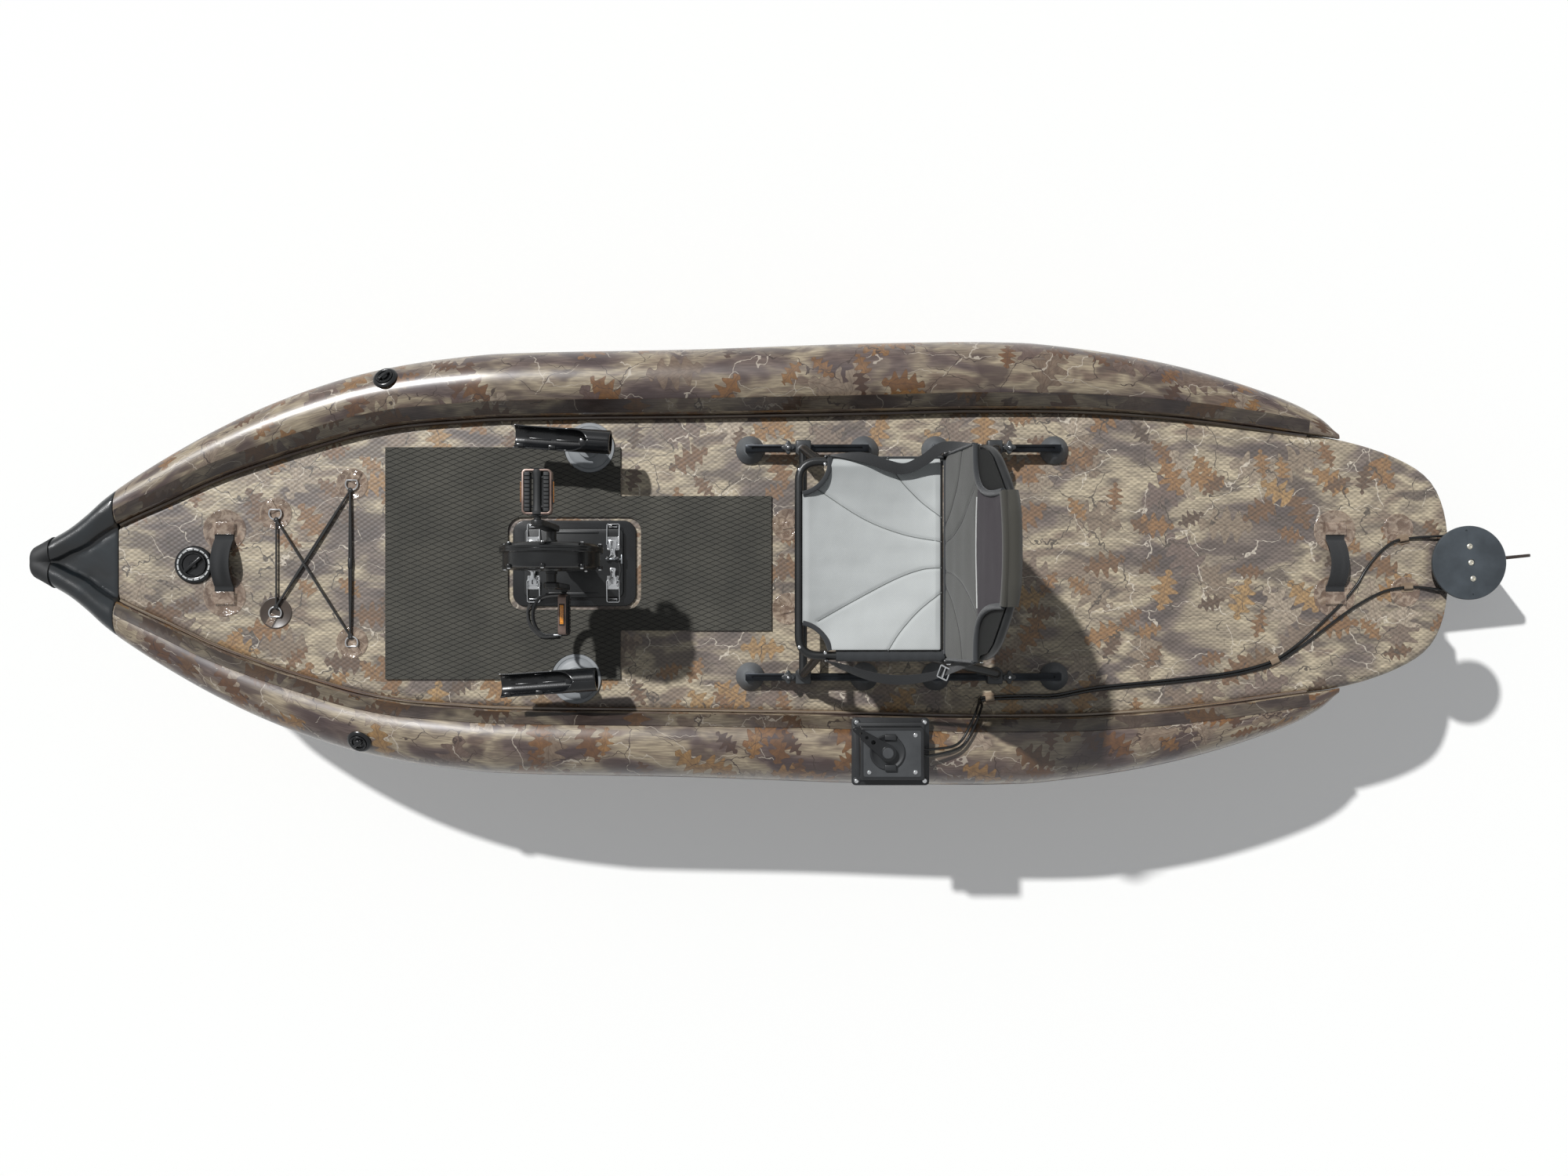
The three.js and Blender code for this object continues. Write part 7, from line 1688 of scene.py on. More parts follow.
def pedal_parts():
    cage = slab("pedal_cage", rounded_rectangle(0.061, 0.092, 0.009, (0, PEDAL_MIDDLE), 8), -0.009, 0.009)
    carved(cage, slab("cage_hole", rounded_rectangle(0.053, 0.084, 0.006, (0, PEDAL_MIDDLE), 6), -0.02, 0.02))
    bevelled(cage, 0.001, 2, 60)
    treads = []
    for side in (1, -1):
        tread = box("pedal_tread", (side * 0.0195 - 0.0062, 0.0832, -0.011),
            (side * 0.0195 + 0.0062, 0.1648, 0.011), 0.0024, 3)
        grooves = [box("tread_groove", (side * 0.0195 - 0.01, y - 0.0011, level * 0.0096 - 0.002),
                       (side * 0.0195 + 0.01, y + 0.0011, level * 0.0096 + 0.002))
                   for y in np.linspace(0.092, 0.156, 9) for level in (1, -1)]
        treads.append(carved(tread, *grooves))
    barrel = turned("pedal_barrel",
        [(0.006, 0.078), (0.012, 0.078), (0.0125, 0.079), (0.0125, 0.083), (0.0105, 0.085), (0.0085, 0.098),
        (0.0085, 0.15), (0.0105, 0.16), (0.0112, 0.1665), (0.0108, 0.1695), (0.007, 0.1702), (0.006, 0.169),
        (0.006, 0.078)], 40)
    barrel.data.transform(Matrix.Rotation(-math.pi / 2, 4, "X"))
    webs = [box("pedal_web", (-0.021, y - 0.0022, -0.0032), (0.021, y + 0.0022, 0.0032), 0.0012)
        for y in (0.094, 0.154)]
    for web in webs:
        carved(web, rod("web_bore", 0.0068, (0, 0.08, 0), (0, 0.17, 0), 24))
    holders, lenses = [], []
    for side in (1, -1):
        holders.append(box("reflector_holder", (side * 0.0312 - 0.0014, 0.0995, -0.0062),
                           (side * 0.0312 + 0.0014, 0.1485, 0.0062), 0.0008))
        lenses.append(box("reflector_lens", (side * 0.0325 - 0.0012, 0.1025, -0.0042),
                          (side * 0.0325 + 0.0012, 0.1455, 0.0042), 0.0006))
    path = strap_path()
    bands = []
    for shift, wide in ((0, 0.0118), (0.0019, 0.0112)):
        middle = Vector((0, PEDAL_MIDDLE, -0.03))

        def place(u, v):
            point = path[round(u * (len(path) - 1))]
            inward = (middle - point).normalized() * shift
            return point + inward + Vector((wide * (2 * v - 1), 0, 0))

        band = wrapped("toe_strap_layer", place, len(path) - 1, 8, (0.24, 0.024))
        modify(band, "SOLIDIFY", thickness=0.0013, offset=0)
        bands.append(band)
    buckle = box("toe_buckle", (-0.014, 0.1688, -0.022), (0.014, 0.1722, -0.004), 0.001)
    carved(buckle, box("buckle_hole", (-0.0105, 0.16, -0.0185), (0.0105, 0.18, -0.0135)),
           box("buckle_hole", (-0.0105, 0.16, -0.012), (0.0105, 0.18, -0.007)))
    return {"cage": joined("cage", cage), "body": joined("body", *treads, barrel, *webs, *holders),
            "lenses": joined("lenses", *lenses), "strap": joined("strap", *bands), "buckle": buckle}


PEDAL_LOOKS = {"cage": (cage_metal, "anodised_aluminium"), "body": (rubber, "black_plastic"),
    "lenses": (amber, "black_plastic"), "strap": (webbing, "webbing"), "buckle": (gear_steel, "gear_steel")}
for word, height, stance in (("port", AXLE - CRANK_REACH, Matrix.Rotation(-math.pi / 2, 4, "Y")),
                             ("starboard", AXLE + CRANK_REACH, Matrix.Diagonal((1, -1, 1, 1)))):
    matrix = Matrix.Translation((WELL_X, 0, height)) @ stance
    for key, piece in pedal_parts().items():
        moved(piece, matrix)
        if matrix.determinant() < 0:
            piece.data.flip_normals()
        piece.name = f"pedal_{key}_{word}"
        dress(piece, PEDAL_LOOKS[key][0], f"pedal_{word}", PEDAL_LOOKS[key][1],
              (f"pedal_{word}",) if key == "body" else ())

# %% Gears
for node in ("crown_gear", "drive_shaft"):
    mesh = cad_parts[node].data
    mesh.materials.clear()
    mesh.materials.append(gear_steel)
print("gears keep their CAD form")
# %% [markdown]
# ## Seat frame
# The seat stands on bent aluminium tube: a loop round the cloth, two splayed legs a side that end
# in the rail clamps, and a brace between the front pair. Each run is a curve with a round bevel,
# turned to mesh, because that is how a tube bender works: one line, bent at its corners.

# %% Seat frame
SEAT_X = -0.13906
SEAT_TUBE, SEAT_SIDE, SEAT_RISE, CLOTH_RISE = 0.0095, 0.2152, 0.23, 0.2441
LEG_OUT, LEG_KNEE, LEG_FOOT = 0.2612, 0.0994, 0.0709
LEGS = ((-0.045, -0.012), (-0.274, -0.463))


def at_seat(piece):
    return moved(piece, Matrix.Translation((SEAT_X, 0, DECK)))


loop_points = [(-0.338, -SEAT_SIDE, SEAT_RISE), (0, -SEAT_SIDE, SEAT_RISE),
               (0, SEAT_SIDE, SEAT_RISE), (-0.338, SEAT_SIDE, SEAT_RISE)]
runs = [tube("loop", rounded_path(loop_points, 0.045, 8), SEAT_TUBE, 24),
        tube("cross", [(-0.3095, -SEAT_SIDE, SEAT_RISE), (-0.3095, SEAT_SIDE, SEAT_RISE)], SEAT_TUBE, 24),
        tube("brace", [(-0.0111, -0.2624, 0.096), (-0.0111, 0.2624, 0.096)], SEAT_TUBE, 24)]
plugs, bolts = [], []
for hand in (1, -1):
    for knee, foot in LEGS:
        leg = [(knee, hand * SEAT_SIDE, SEAT_RISE), (foot, hand * LEG_OUT, LEG_KNEE),
               (foot, hand * LEG_OUT, LEG_FOOT)]
        runs.append(tube("leg", rounded_path(leg, 0.014, 6), SEAT_TUBE, 24))
        plugs.append(rod("plug", 0.0132, (foot, hand * LEG_OUT, LEG_FOOT),
                         (foot, hand * LEG_OUT, LEG_FOOT + 0.016), 32, 0.002))
    ear_side = hand * 0.22755
    runs.append(box("ear", (-0.34085, ear_side - 0.00475, 0.22525),
                    (-0.31615, ear_side + 0.00475, 0.26525), 0.003))
    bolts.append(screw("pivot_bolt", 0.006, 0.003, (-0.3285, hand * 0.2323, 0.251), (0, hand, 0)))
    bolts.append(screw("strap_bolt", 0.0048, 0.0042, (-0.061, hand * 0.2247, SEAT_RISE), (0, hand, 0)))
    bolts.append(screw("sling_bolt", 0.0036, 0.0014, (-0.058, hand * 0.2085, 0.2382), (0, 0, 1)))
    bolts.append(screw("corner_bolt", 0.0036, 0.0014, (-0.001, hand * 0.196, 0.2392), (0, 0, 1)))
dress(at_seat(joined("seat_frame_tubes", *runs)), painted_metal, "seat", "black_metal", ("seat_frame",))
dress(at_seat(joined("seat_leg_plugs", *plugs)), black_plastic, "seat", "black_plastic")
dress(at_seat(joined("seat_bolts", *bolts)), chrome, "seat", "steel")

# %% [markdown]
# ## Rail clamps
# Each leg ends in a moulded block that straddles the slotted rail. A tongue lies in the slot and a
# lobed knob pulls it tight. The knob's outline is a circle with four soft waves.

# %% Rail clamps
def lobed(name, radius, wave, count, centre, low, high, bevel):
    outline = []
    for i in range(72):
        angle = 2 * math.pi * i / 72
        reach = radius + wave * math.cos(count * angle)
        outline.append((centre[0] + reach * math.cos(angle), centre[1] + reach * math.sin(angle)))
    return slab(name, outline, low, high, bevel, 3, 40)


clamp_nylon = moulded_plastic("nylon_plastic_charcoal", "#2c2e30", "#444749", 0.3, 1.3)
for word, foot_x, to_bow in (("front", -0.15106, 1), ("rear", -0.60206, -1)):
    for hand_word, hand in (("port", 1), ("starboard", -1)):
        side = hand * RAIL_SIDE
        body = box("clamp", (foot_x - 0.019, side - 0.017, 0.181), (foot_x + 0.018, side + 0.0165, 0.212),
                   0.0045, 3)
        socket = rod("socket", 0.0155, (foot_x, side - hand * 0.0098, 0.2),
                     (foot_x, side - hand * 0.0098, 0.2235), 40, 0.0022, 3)
        carved(body,
            box("slot", (foot_x - 0.02, side - 0.0095, 0.17), (foot_x + 0.02, side + 0.0095, 0.1903)))
        tongue = slab("tongue", rounded_rectangle(0.046, 0.018, 0.006, (foot_x + to_bow * 0.023, side)),
                      0.1903, 0.1953, 0.001)
        clamp = joined(f"clamp_body_{word}_{hand_word}", body, socket, tongue)
        dress(clamp, clamp_nylon, "seat", "black_plastic", (f"seat_clamp_{word}_{hand_word}",))
        spot = (foot_x + to_bow * 0.035, side)
        knob = joined(f"clamp_knob_{word}_{hand_word}",
                      lobed("lobes", 0.0134, 0.003, 4, spot, 0.1955, 0.2058, 0.0026),
                      rod("hub", 0.007, (*spot, 0.2), (*spot, 0.2098), 32, 0.0012))
        dress(knob, clamp_nylon, "seat", "black_plastic")
        stud = screw(f"clamp_stud_{word}_{hand_word}", 0.0029, 0.0012, (*spot, 0.2096))
        dress(stud, chrome, "seat", "steel")

# %% [markdown]
# ## Padded cloth
# Seat and back are two layers of mesh over thin foam, sewn together along curved seams. A flat
# closed shape is remeshed evenly, held along its seams and edges, and filled with a little
# pressure by cloth simulation. So each panel swells by itself and wrinkles where it is sewn.

# %% Padded cloth
def seam_points(lines, spacing=0.002):
    points = []
    for line in lines:
        path = smooth_path([(x, y, 0) for x, y in line], 12)
        for a, b in zip(path, path[1:]):
            steps = max(1, int((b - a).length / spacing))
            points.extend((a.lerp(b, i / steps)).xy for i in range(steps))
        points.append(path[-1].xy)
    return np.array([tuple(point) for point in points])


def far_from(points, places):
    """How far each place lies from the nearest of the points."""
    gaps = np.full(len(places), 1e9)
    for point in points:
        gaps = np.minimum(gaps, np.hypot(places[:, 0] - point[0], places[:, 1] - point[1]))
    return gaps


def corners_of(piece):
    places = np.empty(len(piece.data.vertices) * 3)
    piece.data.vertices.foreach_get("co", places)
    return places.reshape(-1, 3)


def move_to(piece, places):
    piece.data.vertices.foreach_set("co", np.ascontiguousarray(places, dtype=np.float32).ravel())
    piece.data.update()


def puffed(piece, seams, edge, voxel=0.0042, pressure=4, cap=0.0045):
    """Remeshes a flat shape and swells it between its seams. No point moves further than the cap."""
    modify(piece, "REMESH", mode="VOXEL", voxel_size=voxel)
    before = corners_of(piece)
    sewn = (far_from(seams, before) < 0.0036) | (far_from(edge, before) < 0.006)
    held = piece.vertex_groups.new(name="held")
    held.add([int(i) for i in np.nonzero(sewn)[0]], 1, "REPLACE")
    cloth = piece.modifiers.new("cloth", "CLOTH")
    cloth.settings.quality = 5
    cloth.settings.use_pressure = True
    cloth.settings.uniform_pressure_force = pressure
    cloth.settings.vertex_group_mass = "held"
    cloth.settings.effector_weights.gravity = 0
    for step in range(1, 21):
        bpy.context.scene.frame_set(step)
    only(piece)
    bpy.ops.object.modifier_apply(modifier="cloth")
    bpy.context.scene.frame_set(1)
    swell = corners_of(piece) - before
    length = np.maximum(np.linalg.norm(swell, axis=1, keepdims=True), 1e-9)
    move_to(piece, before + swell * np.minimum(1, cap / length))
    piece.vertex_groups.clear()
    return subdivided(piece, 1)


def mapped_flat(piece, first, second):
    """The weave's own map in metres, laid straight along two of the cloth's axes."""
    layer = piece.data.uv_layers.new(name="weave")
    places = corners_of(piece)
    for loop in piece.data.loops:
        place = places[loop.vertex_index]
        layer.data[loop.index].uv = (place[first], place[second])


print("cloth tools ready")

# %% [markdown]
# ## Seat cloth
# The cloth is laced between the side tubes and sinks 27 mm in the middle. Quarter rounds are
# cut out of its front corners, bound with black tape. Along the port tube it ends in a black sleeve.

# %% Seat cloth
FRONT_EDGE, REAR_EDGE, LEFT_EDGE, RIGHT_EDGE = -0.0125, -0.319, 0.204, -0.222
CUT_RADIUS, SAG = 0.07, 0.027
SEAT_SEAMS = [
    [(-0.046, -0.153), (-0.148, -0.089), (-0.235, -0.054), (-0.319, -0.036)],
    [(-0.046, 0.139), (-0.13, 0.092), (-0.218, 0.046), (-0.276, 0.025), (-0.319, 0.021)],
    [(-0.2, -0.222), (-0.215, -0.191), (-0.238, -0.162), (-0.276, -0.124), (-0.319, -0.089)],
    [(-0.201, 0.204), (-0.229, 0.162), (-0.27, 0.116), (-0.319, 0.075)],
]


def cut_arc(hand, steps=16):
    """The bound edge of a front corner, from the front to the side."""
    edge = RIGHT_EDGE if hand < 0 else LEFT_EDGE
    first = math.asin(-FRONT_EDGE / CUT_RADIUS)
    reach = min(1, abs(SEAT_SIDE - abs(edge)) / CUT_RADIUS)
    last = math.pi / 2 - math.asin(reach) * (1 if abs(edge) < SEAT_SIDE else -1)
    arc = []
    for i in range(steps + 1):
        angle = first + (last - first) * i / steps
        arc.append((-CUT_RADIUS * math.sin(angle), hand * (SEAT_SIDE - CUT_RADIUS * math.cos(angle))))
    return arc


def seam_side(line, x):
    """Where a long seam crosses the cloth, so far behind its front."""
    places, sides = zip(*line[::-1])
    return float(np.interp(x, places, sides))


def sunk(x, y):
    """How far the cloth hangs: its side panels slope to the two long seams, with a shallow middle."""
    along = math.sin(math.pi * min(1, max(0, (-x - 0.014) / 0.29))) ** 0.6
    seam = seam_side(SEAT_SEAMS[0 if y < 0 else 1], x)
    edge = 0.203
    share = min(1, max(0, (edge - abs(y)) / (edge - abs(seam))))
    return SAG * along * math.sin(math.pi / 2 * share) ** 1.1


outline = [(REAR_EDGE, LEFT_EDGE), (REAR_EDGE, RIGHT_EDGE), *cut_arc(-1)[::-1], *cut_arc(1)]
edge_lines = [[a, b] for a, b in zip(outline, outline[1:] + outline[:1])]
sling = slab("seat_cloth_padded", outline, -0.0024, 0.0024)
puffed(sling, seam_points(SEAT_SEAMS), seam_points(edge_lines))
places = corners_of(sling)
seam_gap = far_from(seam_points(SEAT_SEAMS), places)
groove = 0.0021 * np.exp(-(seam_gap / 0.0042) ** 2)
for i, (x, y, z) in enumerate(places):
    fold = noise.noise(Vector((x * 9, y * 34, 1.3))) * 0.0011
    fold += noise.noise(Vector((x * 40, y * 26, 7.1))) * 0.0004
    round_tube = 0.006 * max(0, (abs(y) - 0.206) / 0.016) ** 2 + 0.006 * max(0, (x + 0.03) / 0.0175) ** 2
    places[i, 2] = z + CLOTH_RISE - sunk(x, y) - groove[i] + fold - round_tube
    places[i, 0] = x + SEAT_TUBE / 2
move_to(sling, places)
mapped_flat(sling, 0, 1)
cloth_tree = BVHTree.FromPolygons([tuple(place) for place in corners_of(sling)],
                                  [tuple(face.vertices) for face in sling.data.polygons])


def on_cloth(tree, x, y, lift=0):
    spot = tree.ray_cast(Vector((x, y, 1)), Vector((0, 0, -1)))[0]
    return Vector((x, y, (spot.z if spot else CLOTH_RISE) + lift))


def thread(name, tree, line, radius, lift, sides=8):
    path = smooth_path([(x, y, 0) for x, y in line], 14)
    return tube(name, [on_cloth(tree, point.x, point.y, lift) for point in path], radius, sides)


def bound(name, path, inward, half_width, half_height, outside=0.002):
    """Tape folded over an edge: a flattened ring swept along it, from just outside inwards."""
    def place(u, v):
        angle = 2 * math.pi * v
        reach = half_width * (1 + rounder(math.cos(angle), 0.6)) - outside
        return (path_point(path, u) + path_point(inward, u).normalized() * reach
                + Vector((0, 0, half_height * rounder(math.sin(angle), 0.7))))

    return wrapped(name, place, 4 * len(path), 20, (0.12, 0.024), True)


tapes, threads = [], []
for hand in (1, -1):
    arc = [Vector((x + SEAT_TUBE / 2, y, 0.2425)) for x, y in cut_arc(hand)]
    corner = Vector((SEAT_TUBE / 2, hand * SEAT_SIDE, 0.2425))
    tapes.append(bound("corner_tape", arc, [(point - corner).normalized() for point in arc], 0.0056, 0.0046))
side_edge = [Vector((-0.075 - 0.245 * i / 8, -0.2225, 0.2405)) for i in range(9)]
tapes.append(tube("side_tape", side_edge, 0.0026, 12))
dress(at_seat(joined("seat_cloth_binding", *tapes)), binding, "seat", "webbing")
for line in SEAT_SEAMS:
    inner = [(x + SEAT_TUBE / 2, y) for x, y in line]
    threads.append(thread("seam", cloth_tree, inner, 0.0011, 0.0001))
dress(at_seat(joined("seat_seam_threads", *threads)), seam_thread, "seat", "pale_mesh")


def sleeve_place(u, v):
    angle = math.radians(-35 + 250 * v)
    fold = 0.0005 * math.sin(60 * u) * math.sin(math.pi * v)
    reach = 0.0128 + fold
    return Vector((-0.082 - 0.24 * u, SEAT_SIDE + reach * math.cos(angle), SEAT_RISE + reach
        * math.sin(angle)))


sleeve = wrapped("seat_side_sleeve", sleeve_place, 60, 20, (0.24, 0.055))
modify(sleeve, "SOLIDIFY", thickness=0.0018, offset=-1)
dress(at_seat(sleeve), binding, "seat", "webbing")
dress(at_seat(sling), pale_mesh, "seat", "pale_mesh", ("seat_sling",), 60)

# %% [markdown]
# ## Back frame and back cloth
# The back is a hoop of the same tube on two pivots, leaning 12 degrees. Its cloth has a lower panel
# with fanned seams, a pale piping about halfway up, and a darker upper panel between two bound
# corner openings. It is made flat, puffed in the same way, then stood up on the hoop.

# %% Back frame
BACK_LEAN = math.radians(-12)
BACK_SIDE, BACK_TOP, CLOTH_BEFORE = 0.20965, 0.372, 0.0166
back_place = Matrix.Translation((-0.46756, 0, 0.401)) @ Matrix.Rotation(BACK_LEAN, 4, "Y")


def at_back(piece):
    return moved(piece, back_place)


hoop_points = [(0, -BACK_SIDE, -0.00475), (0, -BACK_SIDE, 0.267), (0, -0.0943, BACK_TOP),
               (0, 0.0943, BACK_TOP), (0, BACK_SIDE, 0.267), (0, BACK_SIDE, -0.00475)]
hoop = tube("hoop", rounded_path(hoop_points, 0.06, 10), SEAT_TUBE, 24)
crossbar = tube("crossbar", [(0, -BACK_SIDE, 0.0475), (0, BACK_SIDE, 0.0475)], 0.0076, 24)
pins = [rod("pin", 0.004, (0, hand * BACK_SIDE, 0), (0, hand * 0.2342, 0), 20) for hand in (1, -1)]
dress(at_back(joined("back_hoop_tubes", hoop, crossbar, *pins)), painted_metal, "seat_back", "black_metal",
      ("back_frame",))

# %% Back cloth
BACK_HALF, BACK_FOOT, CUT_WIDE, CUT_TALL = 0.222, 0.03, 0.112, 0.15
BACK_SEAMS = [
    [(0.03, 0.03), (0.095, 0.046), (0.155, 0.078), (0.216, 0.128)],
    [(0.03, 0.062), (0.075, 0.106), (0.112, 0.16), (0.135, 0.222)],
    [(0.03, -0.03), (0.095, -0.052), (0.155, -0.092), (0.222, -0.15)],
    [(0.03, -0.068), (0.075, -0.112), (0.112, -0.166), (0.135, -0.222)],
]


def piping_height(y):
    return 0.208 + 0.62 * y * y


def back_crown(y):
    return BACK_TOP - 1.06 * y * y


def opening_edge(hand, steps=18):
    """From the side of the back, along the rounded opening, to its top edge."""
    inner = BACK_HALF - CUT_WIDE
    top = back_crown(inner)
    points = []
    for i in range(steps + 1):
        angle = math.pi / 2 * i / steps
        from_side = CUT_WIDE * math.sin(angle) ** 0.6
        points.append((top - CUT_TALL * math.cos(angle) ** 0.6, hand * (BACK_HALF - from_side)))
    return points


inner = BACK_HALF - CUT_WIDE
top_edge = [(back_crown(y), y) for y in np.linspace(-inner, inner, 22)[1:-1]]
foot = [(BACK_FOOT + 0.012, -BACK_HALF), (BACK_FOOT, -BACK_HALF + 0.012),
        (BACK_FOOT, BACK_HALF - 0.012), (BACK_FOOT + 0.012, BACK_HALF)]
back_outline = [*foot[::-1], *opening_edge(-1), *top_edge, *opening_edge(1)[::-1]]
edge_lines = [[a, b] for a, b in zip(back_outline, back_outline[1:] + back_outline[:1])]
piping_line = [(piping_height(y), y) for y in np.linspace(-0.2, 0.2, 17)]
back_cloth = slab("back_cloth_padded", back_outline, -0.0026, 0.0026)
back_lines = seam_points([*BACK_SEAMS, piping_line])
puffed(back_cloth, back_lines, seam_points(edge_lines), cap=0.005)
places = corners_of(back_cloth)
groove = 0.002 * np.exp(-(far_from(back_lines, places) / 0.0042) ** 2)
standing = np.empty_like(places)
for i, (height, y, z) in enumerate(places):
    fold = noise.noise(Vector((height * 30, y * 11, 4.4))) * 0.0013
    hollow = 0.004 * math.cos(math.pi / 2 * y / BACK_HALF) * math.sin(math.pi
        * min(1, (height - 0.03) / 0.34))
    standing[i] = (CLOTH_BEFORE + z - groove[i] * np.sign(z) + fold - hollow, y, height)
move_to(back_cloth, standing)
back_cloth.data.flip_normals()
mapped_flat(back_cloth, 1, 2)
back_tree = BVHTree.FromPolygons([tuple(place) for place in standing],
                                 [tuple(face.vertices) for face in back_cloth.data.polygons])
back_cloth.data.materials.append(dark_mesh)
back_cloth.data.materials.append(upper_mesh)
for face in back_cloth.data.polygons:
    face.material_index = 1 if face.center.z > piping_height(face.center.y) else 0


def before_back(height, y, lift=0):
    spot = back_tree.ray_cast(Vector((1, y, height)), Vector((-1, 0, 0)))[0]
    return Vector(((spot.x if spot else CLOTH_BEFORE) + lift, y, height))


def back_thread(name, line, radius, lift=0.0001):
    path = smooth_path([(x, y, 0) for x, y in line], 12)
    return tube(name, [before_back(point.x, point.y, lift) for point in path], radius, 8)


threads = [back_thread("seam", line, 0.0011) for line in BACK_SEAMS]
dress(at_back(joined("back_seam_threads", *threads)), dark_thread, "seat_back", "dark_mesh")
piping = back_thread("back_piping", [(piping_height(y), y) for y in np.linspace(-0.113, 0.113, 9)],
                     0.0014, 0.0008)
dress(at_back(piping), pale_thread, "seat_back", "pale_mesh")


def edge_tape(name, line, radius_wide=0.0065, radius_high=0.0052):
    """Tape folded over the upright cloth's edge: wide across the cloth's plane, flat before it."""
    path = [Vector((CLOTH_BEFORE, y, height)) for height, y in line]

    def place(u, v):
        index = min(int(u * (len(path) - 1)), len(path) - 2)
        aside = (path[index + 1] - path[index]).normalized().cross(Vector((1, 0, 0)))
        angle = 2 * math.pi * v
        return (path_point(path, u) + aside * radius_wide * math.cos(angle)
                + Vector((radius_high * rounder(math.sin(angle), 0.7), 0, 0)))

    return wrapped(name, place, 3 * len(path), 16, (0.3, 0.024), True)


tapes = [edge_tape("opening_tape", opening_edge(hand)) for hand in (1, -1)]
tapes.append(edge_tape("foot_tape", [foot[1], foot[2]], 0.005, 0.0048))
for hand in (1, -1):
    side_line = [(0.04 + 0.16 * i / 8, hand * BACK_HALF) for i in range(9)]
    tapes.append(edge_tape("side_tape", side_line, 0.0034, 0.0048))
dress(at_back(joined("back_cloth_binding", *tapes)), binding, "seat_back", "webbing")
top_tape = edge_tape("back_top_band", [opening_edge(-1)[-1], *top_edge, opening_edge(1)[-1]], 0.01, 0.0058)
dress(at_back(top_tape), edge_band, "seat_back", "webbing")
corner_mesh = mesh_finish("net_black", "#0b0c0b", "#171817", 0.004, 0)
for word, hand in (("port", 1), ("starboard", -1)):
    hoop_corner = [(0.352, 0.118), (0.322, 0.152), (0.29, 0.186), (0.262, 0.203), (0.225, 0.2085)]
    net_outline = opening_edge(hand) + [(height, hand * y) for height, y in hoop_corner]
    net = slab(f"back_corner_net_{word}", net_outline, -0.0006, 0.0006)
    move_to(net, [(0.012 + z, y, height) for height, y, z in corners_of(net)])
    mapped_flat(net, 1, 2)
    net.data.flip_normals()
    dress(at_back(net), corner_mesh, "seat_back", "dark_mesh")


def hem_place(u, v):
    y = (2 * u - 1) * 0.112
    angle = math.radians(-60 + 220 * v)
    top = BACK_TOP - 0.55 * max(0, abs(y) - 0.07) ** 1.3
    reach = 0.0118 + 0.0045 * (1 - (y / 0.112) ** 2)
    return Vector((reach * math.cos(angle), y, top + reach * math.sin(angle)))


hem = wrapped("back_top_hem", hem_place, 48, 20, (0.22, 0.05))
modify(hem, "SOLIDIFY", thickness=0.0018, offset=-1)
dress(at_back(hem), edge_band, "seat_back", "webbing")
dress(at_back(back_cloth), None, "seat_back", "dark_mesh", ("back_sling",), 60)

# %% [markdown]
# ## Side straps
# Two 25 mm straps tie the back to the seat. They are not tight: the starboard one sags on to the
# cloth and the port one hangs outside with its ladder-lock buckle. Each is a band swept along a
# curve while it turns over.

# %% Side straps
def strap(name, stops, width=0.025):
    """stops: points with the way the strap's width points there."""
    middles = smooth_path([stop for stop, _ in stops], 10)
    ways = smooth_path([way for _, way in stops], 10)

    def place(u, v):
        cup = 0.0012 * math.cos(math.pi * (v - 0.5))
        way = path_point(ways, u).normalized()
        return path_point(middles, u) + way * width * (v - 0.5) + Vector((0, 0, cup))

    length = sum((b - a).length for a, b in zip(middles, middles[1:]))
    band = wrapped(name, place, 4 * len(middles), 8, (length, width))
    modify(band, "SOLIDIFY", thickness=0.0017, offset=0)
    return bevelled(band, 0.0004, 1, 60), length


def back_spot(x, y, height):
    return back_place @ Vector((x, y, height))


starboard_stops = [
    ((-0.198, -0.2262, 0.381), (0, 0, 1)), ((-0.232, -0.227, 0.386), (0, 0.5, 0.85)),
    ((-0.285, -0.22, 0.404), (0.1, 0.95, 0.3)), ((-0.335, -0.202, 0.4075), (0.35, 0.93, 0.05)),
    ((-0.372, -0.196, 0.408), (0.1, 1, 0.05)), ((-0.412, -0.213, 0.424), (-0.45, 0.85, 0.2)),
    ((-0.446, -0.235, 0.456), (-0.3, 0.9, 0.3)), (back_spot(0.006, -0.232, 0.11), (0.2, 0.5, 0.6)),
    (back_spot(0, -0.2222, 0.19), (0.1, 0, 1)),
]
port_stops = [
    ((-0.198, 0.2262, 0.381), (0, 0, 1)), ((-0.235, 0.24, 0.372), (0, -0.5, 0.8)),
    ((-0.3, 0.262, 0.361), (0.1, -0.8, 0.5)), ((-0.365, 0.27, 0.362), (0, -0.85, 0.5)),
    ((-0.425, 0.262, 0.386), (-0.2, -0.8, 0.5)), ((-0.462, 0.248, 0.421), (-0.35, -0.8, 0.4)),
    (back_spot(0.01, 0.236, 0.1), (-0.2, -0.6, 0.6)), (back_spot(0, 0.2222, 0.2), (-0.1, 0, 1)),
]
for word, stops in (("starboard", starboard_stops), ("port", port_stops)):
    stops = [(Vector(stop), Vector(way)) for stop, way in stops]
    band, length = strap(f"seat_strap_{word}", stops)
    dress(band, webbing, None, "webbing")
    tuple(stops[-3][0])
    tuple(stops[-1][0])
    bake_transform(band)
    rivet = screw(f"strap_rivet_{word}", 0.0045, 0.0022, (0, 0, 0))
    outward = math.radians(90 if word == "starboard" else -90)
    moved(rivet, Matrix.Translation(stops[-1][0]) @ Matrix.Rotation(outward, 4, "X"))
    dress(rivet, chrome, "seat_back", "steel")
    print(word, "strap", round(length, 3), "m long")

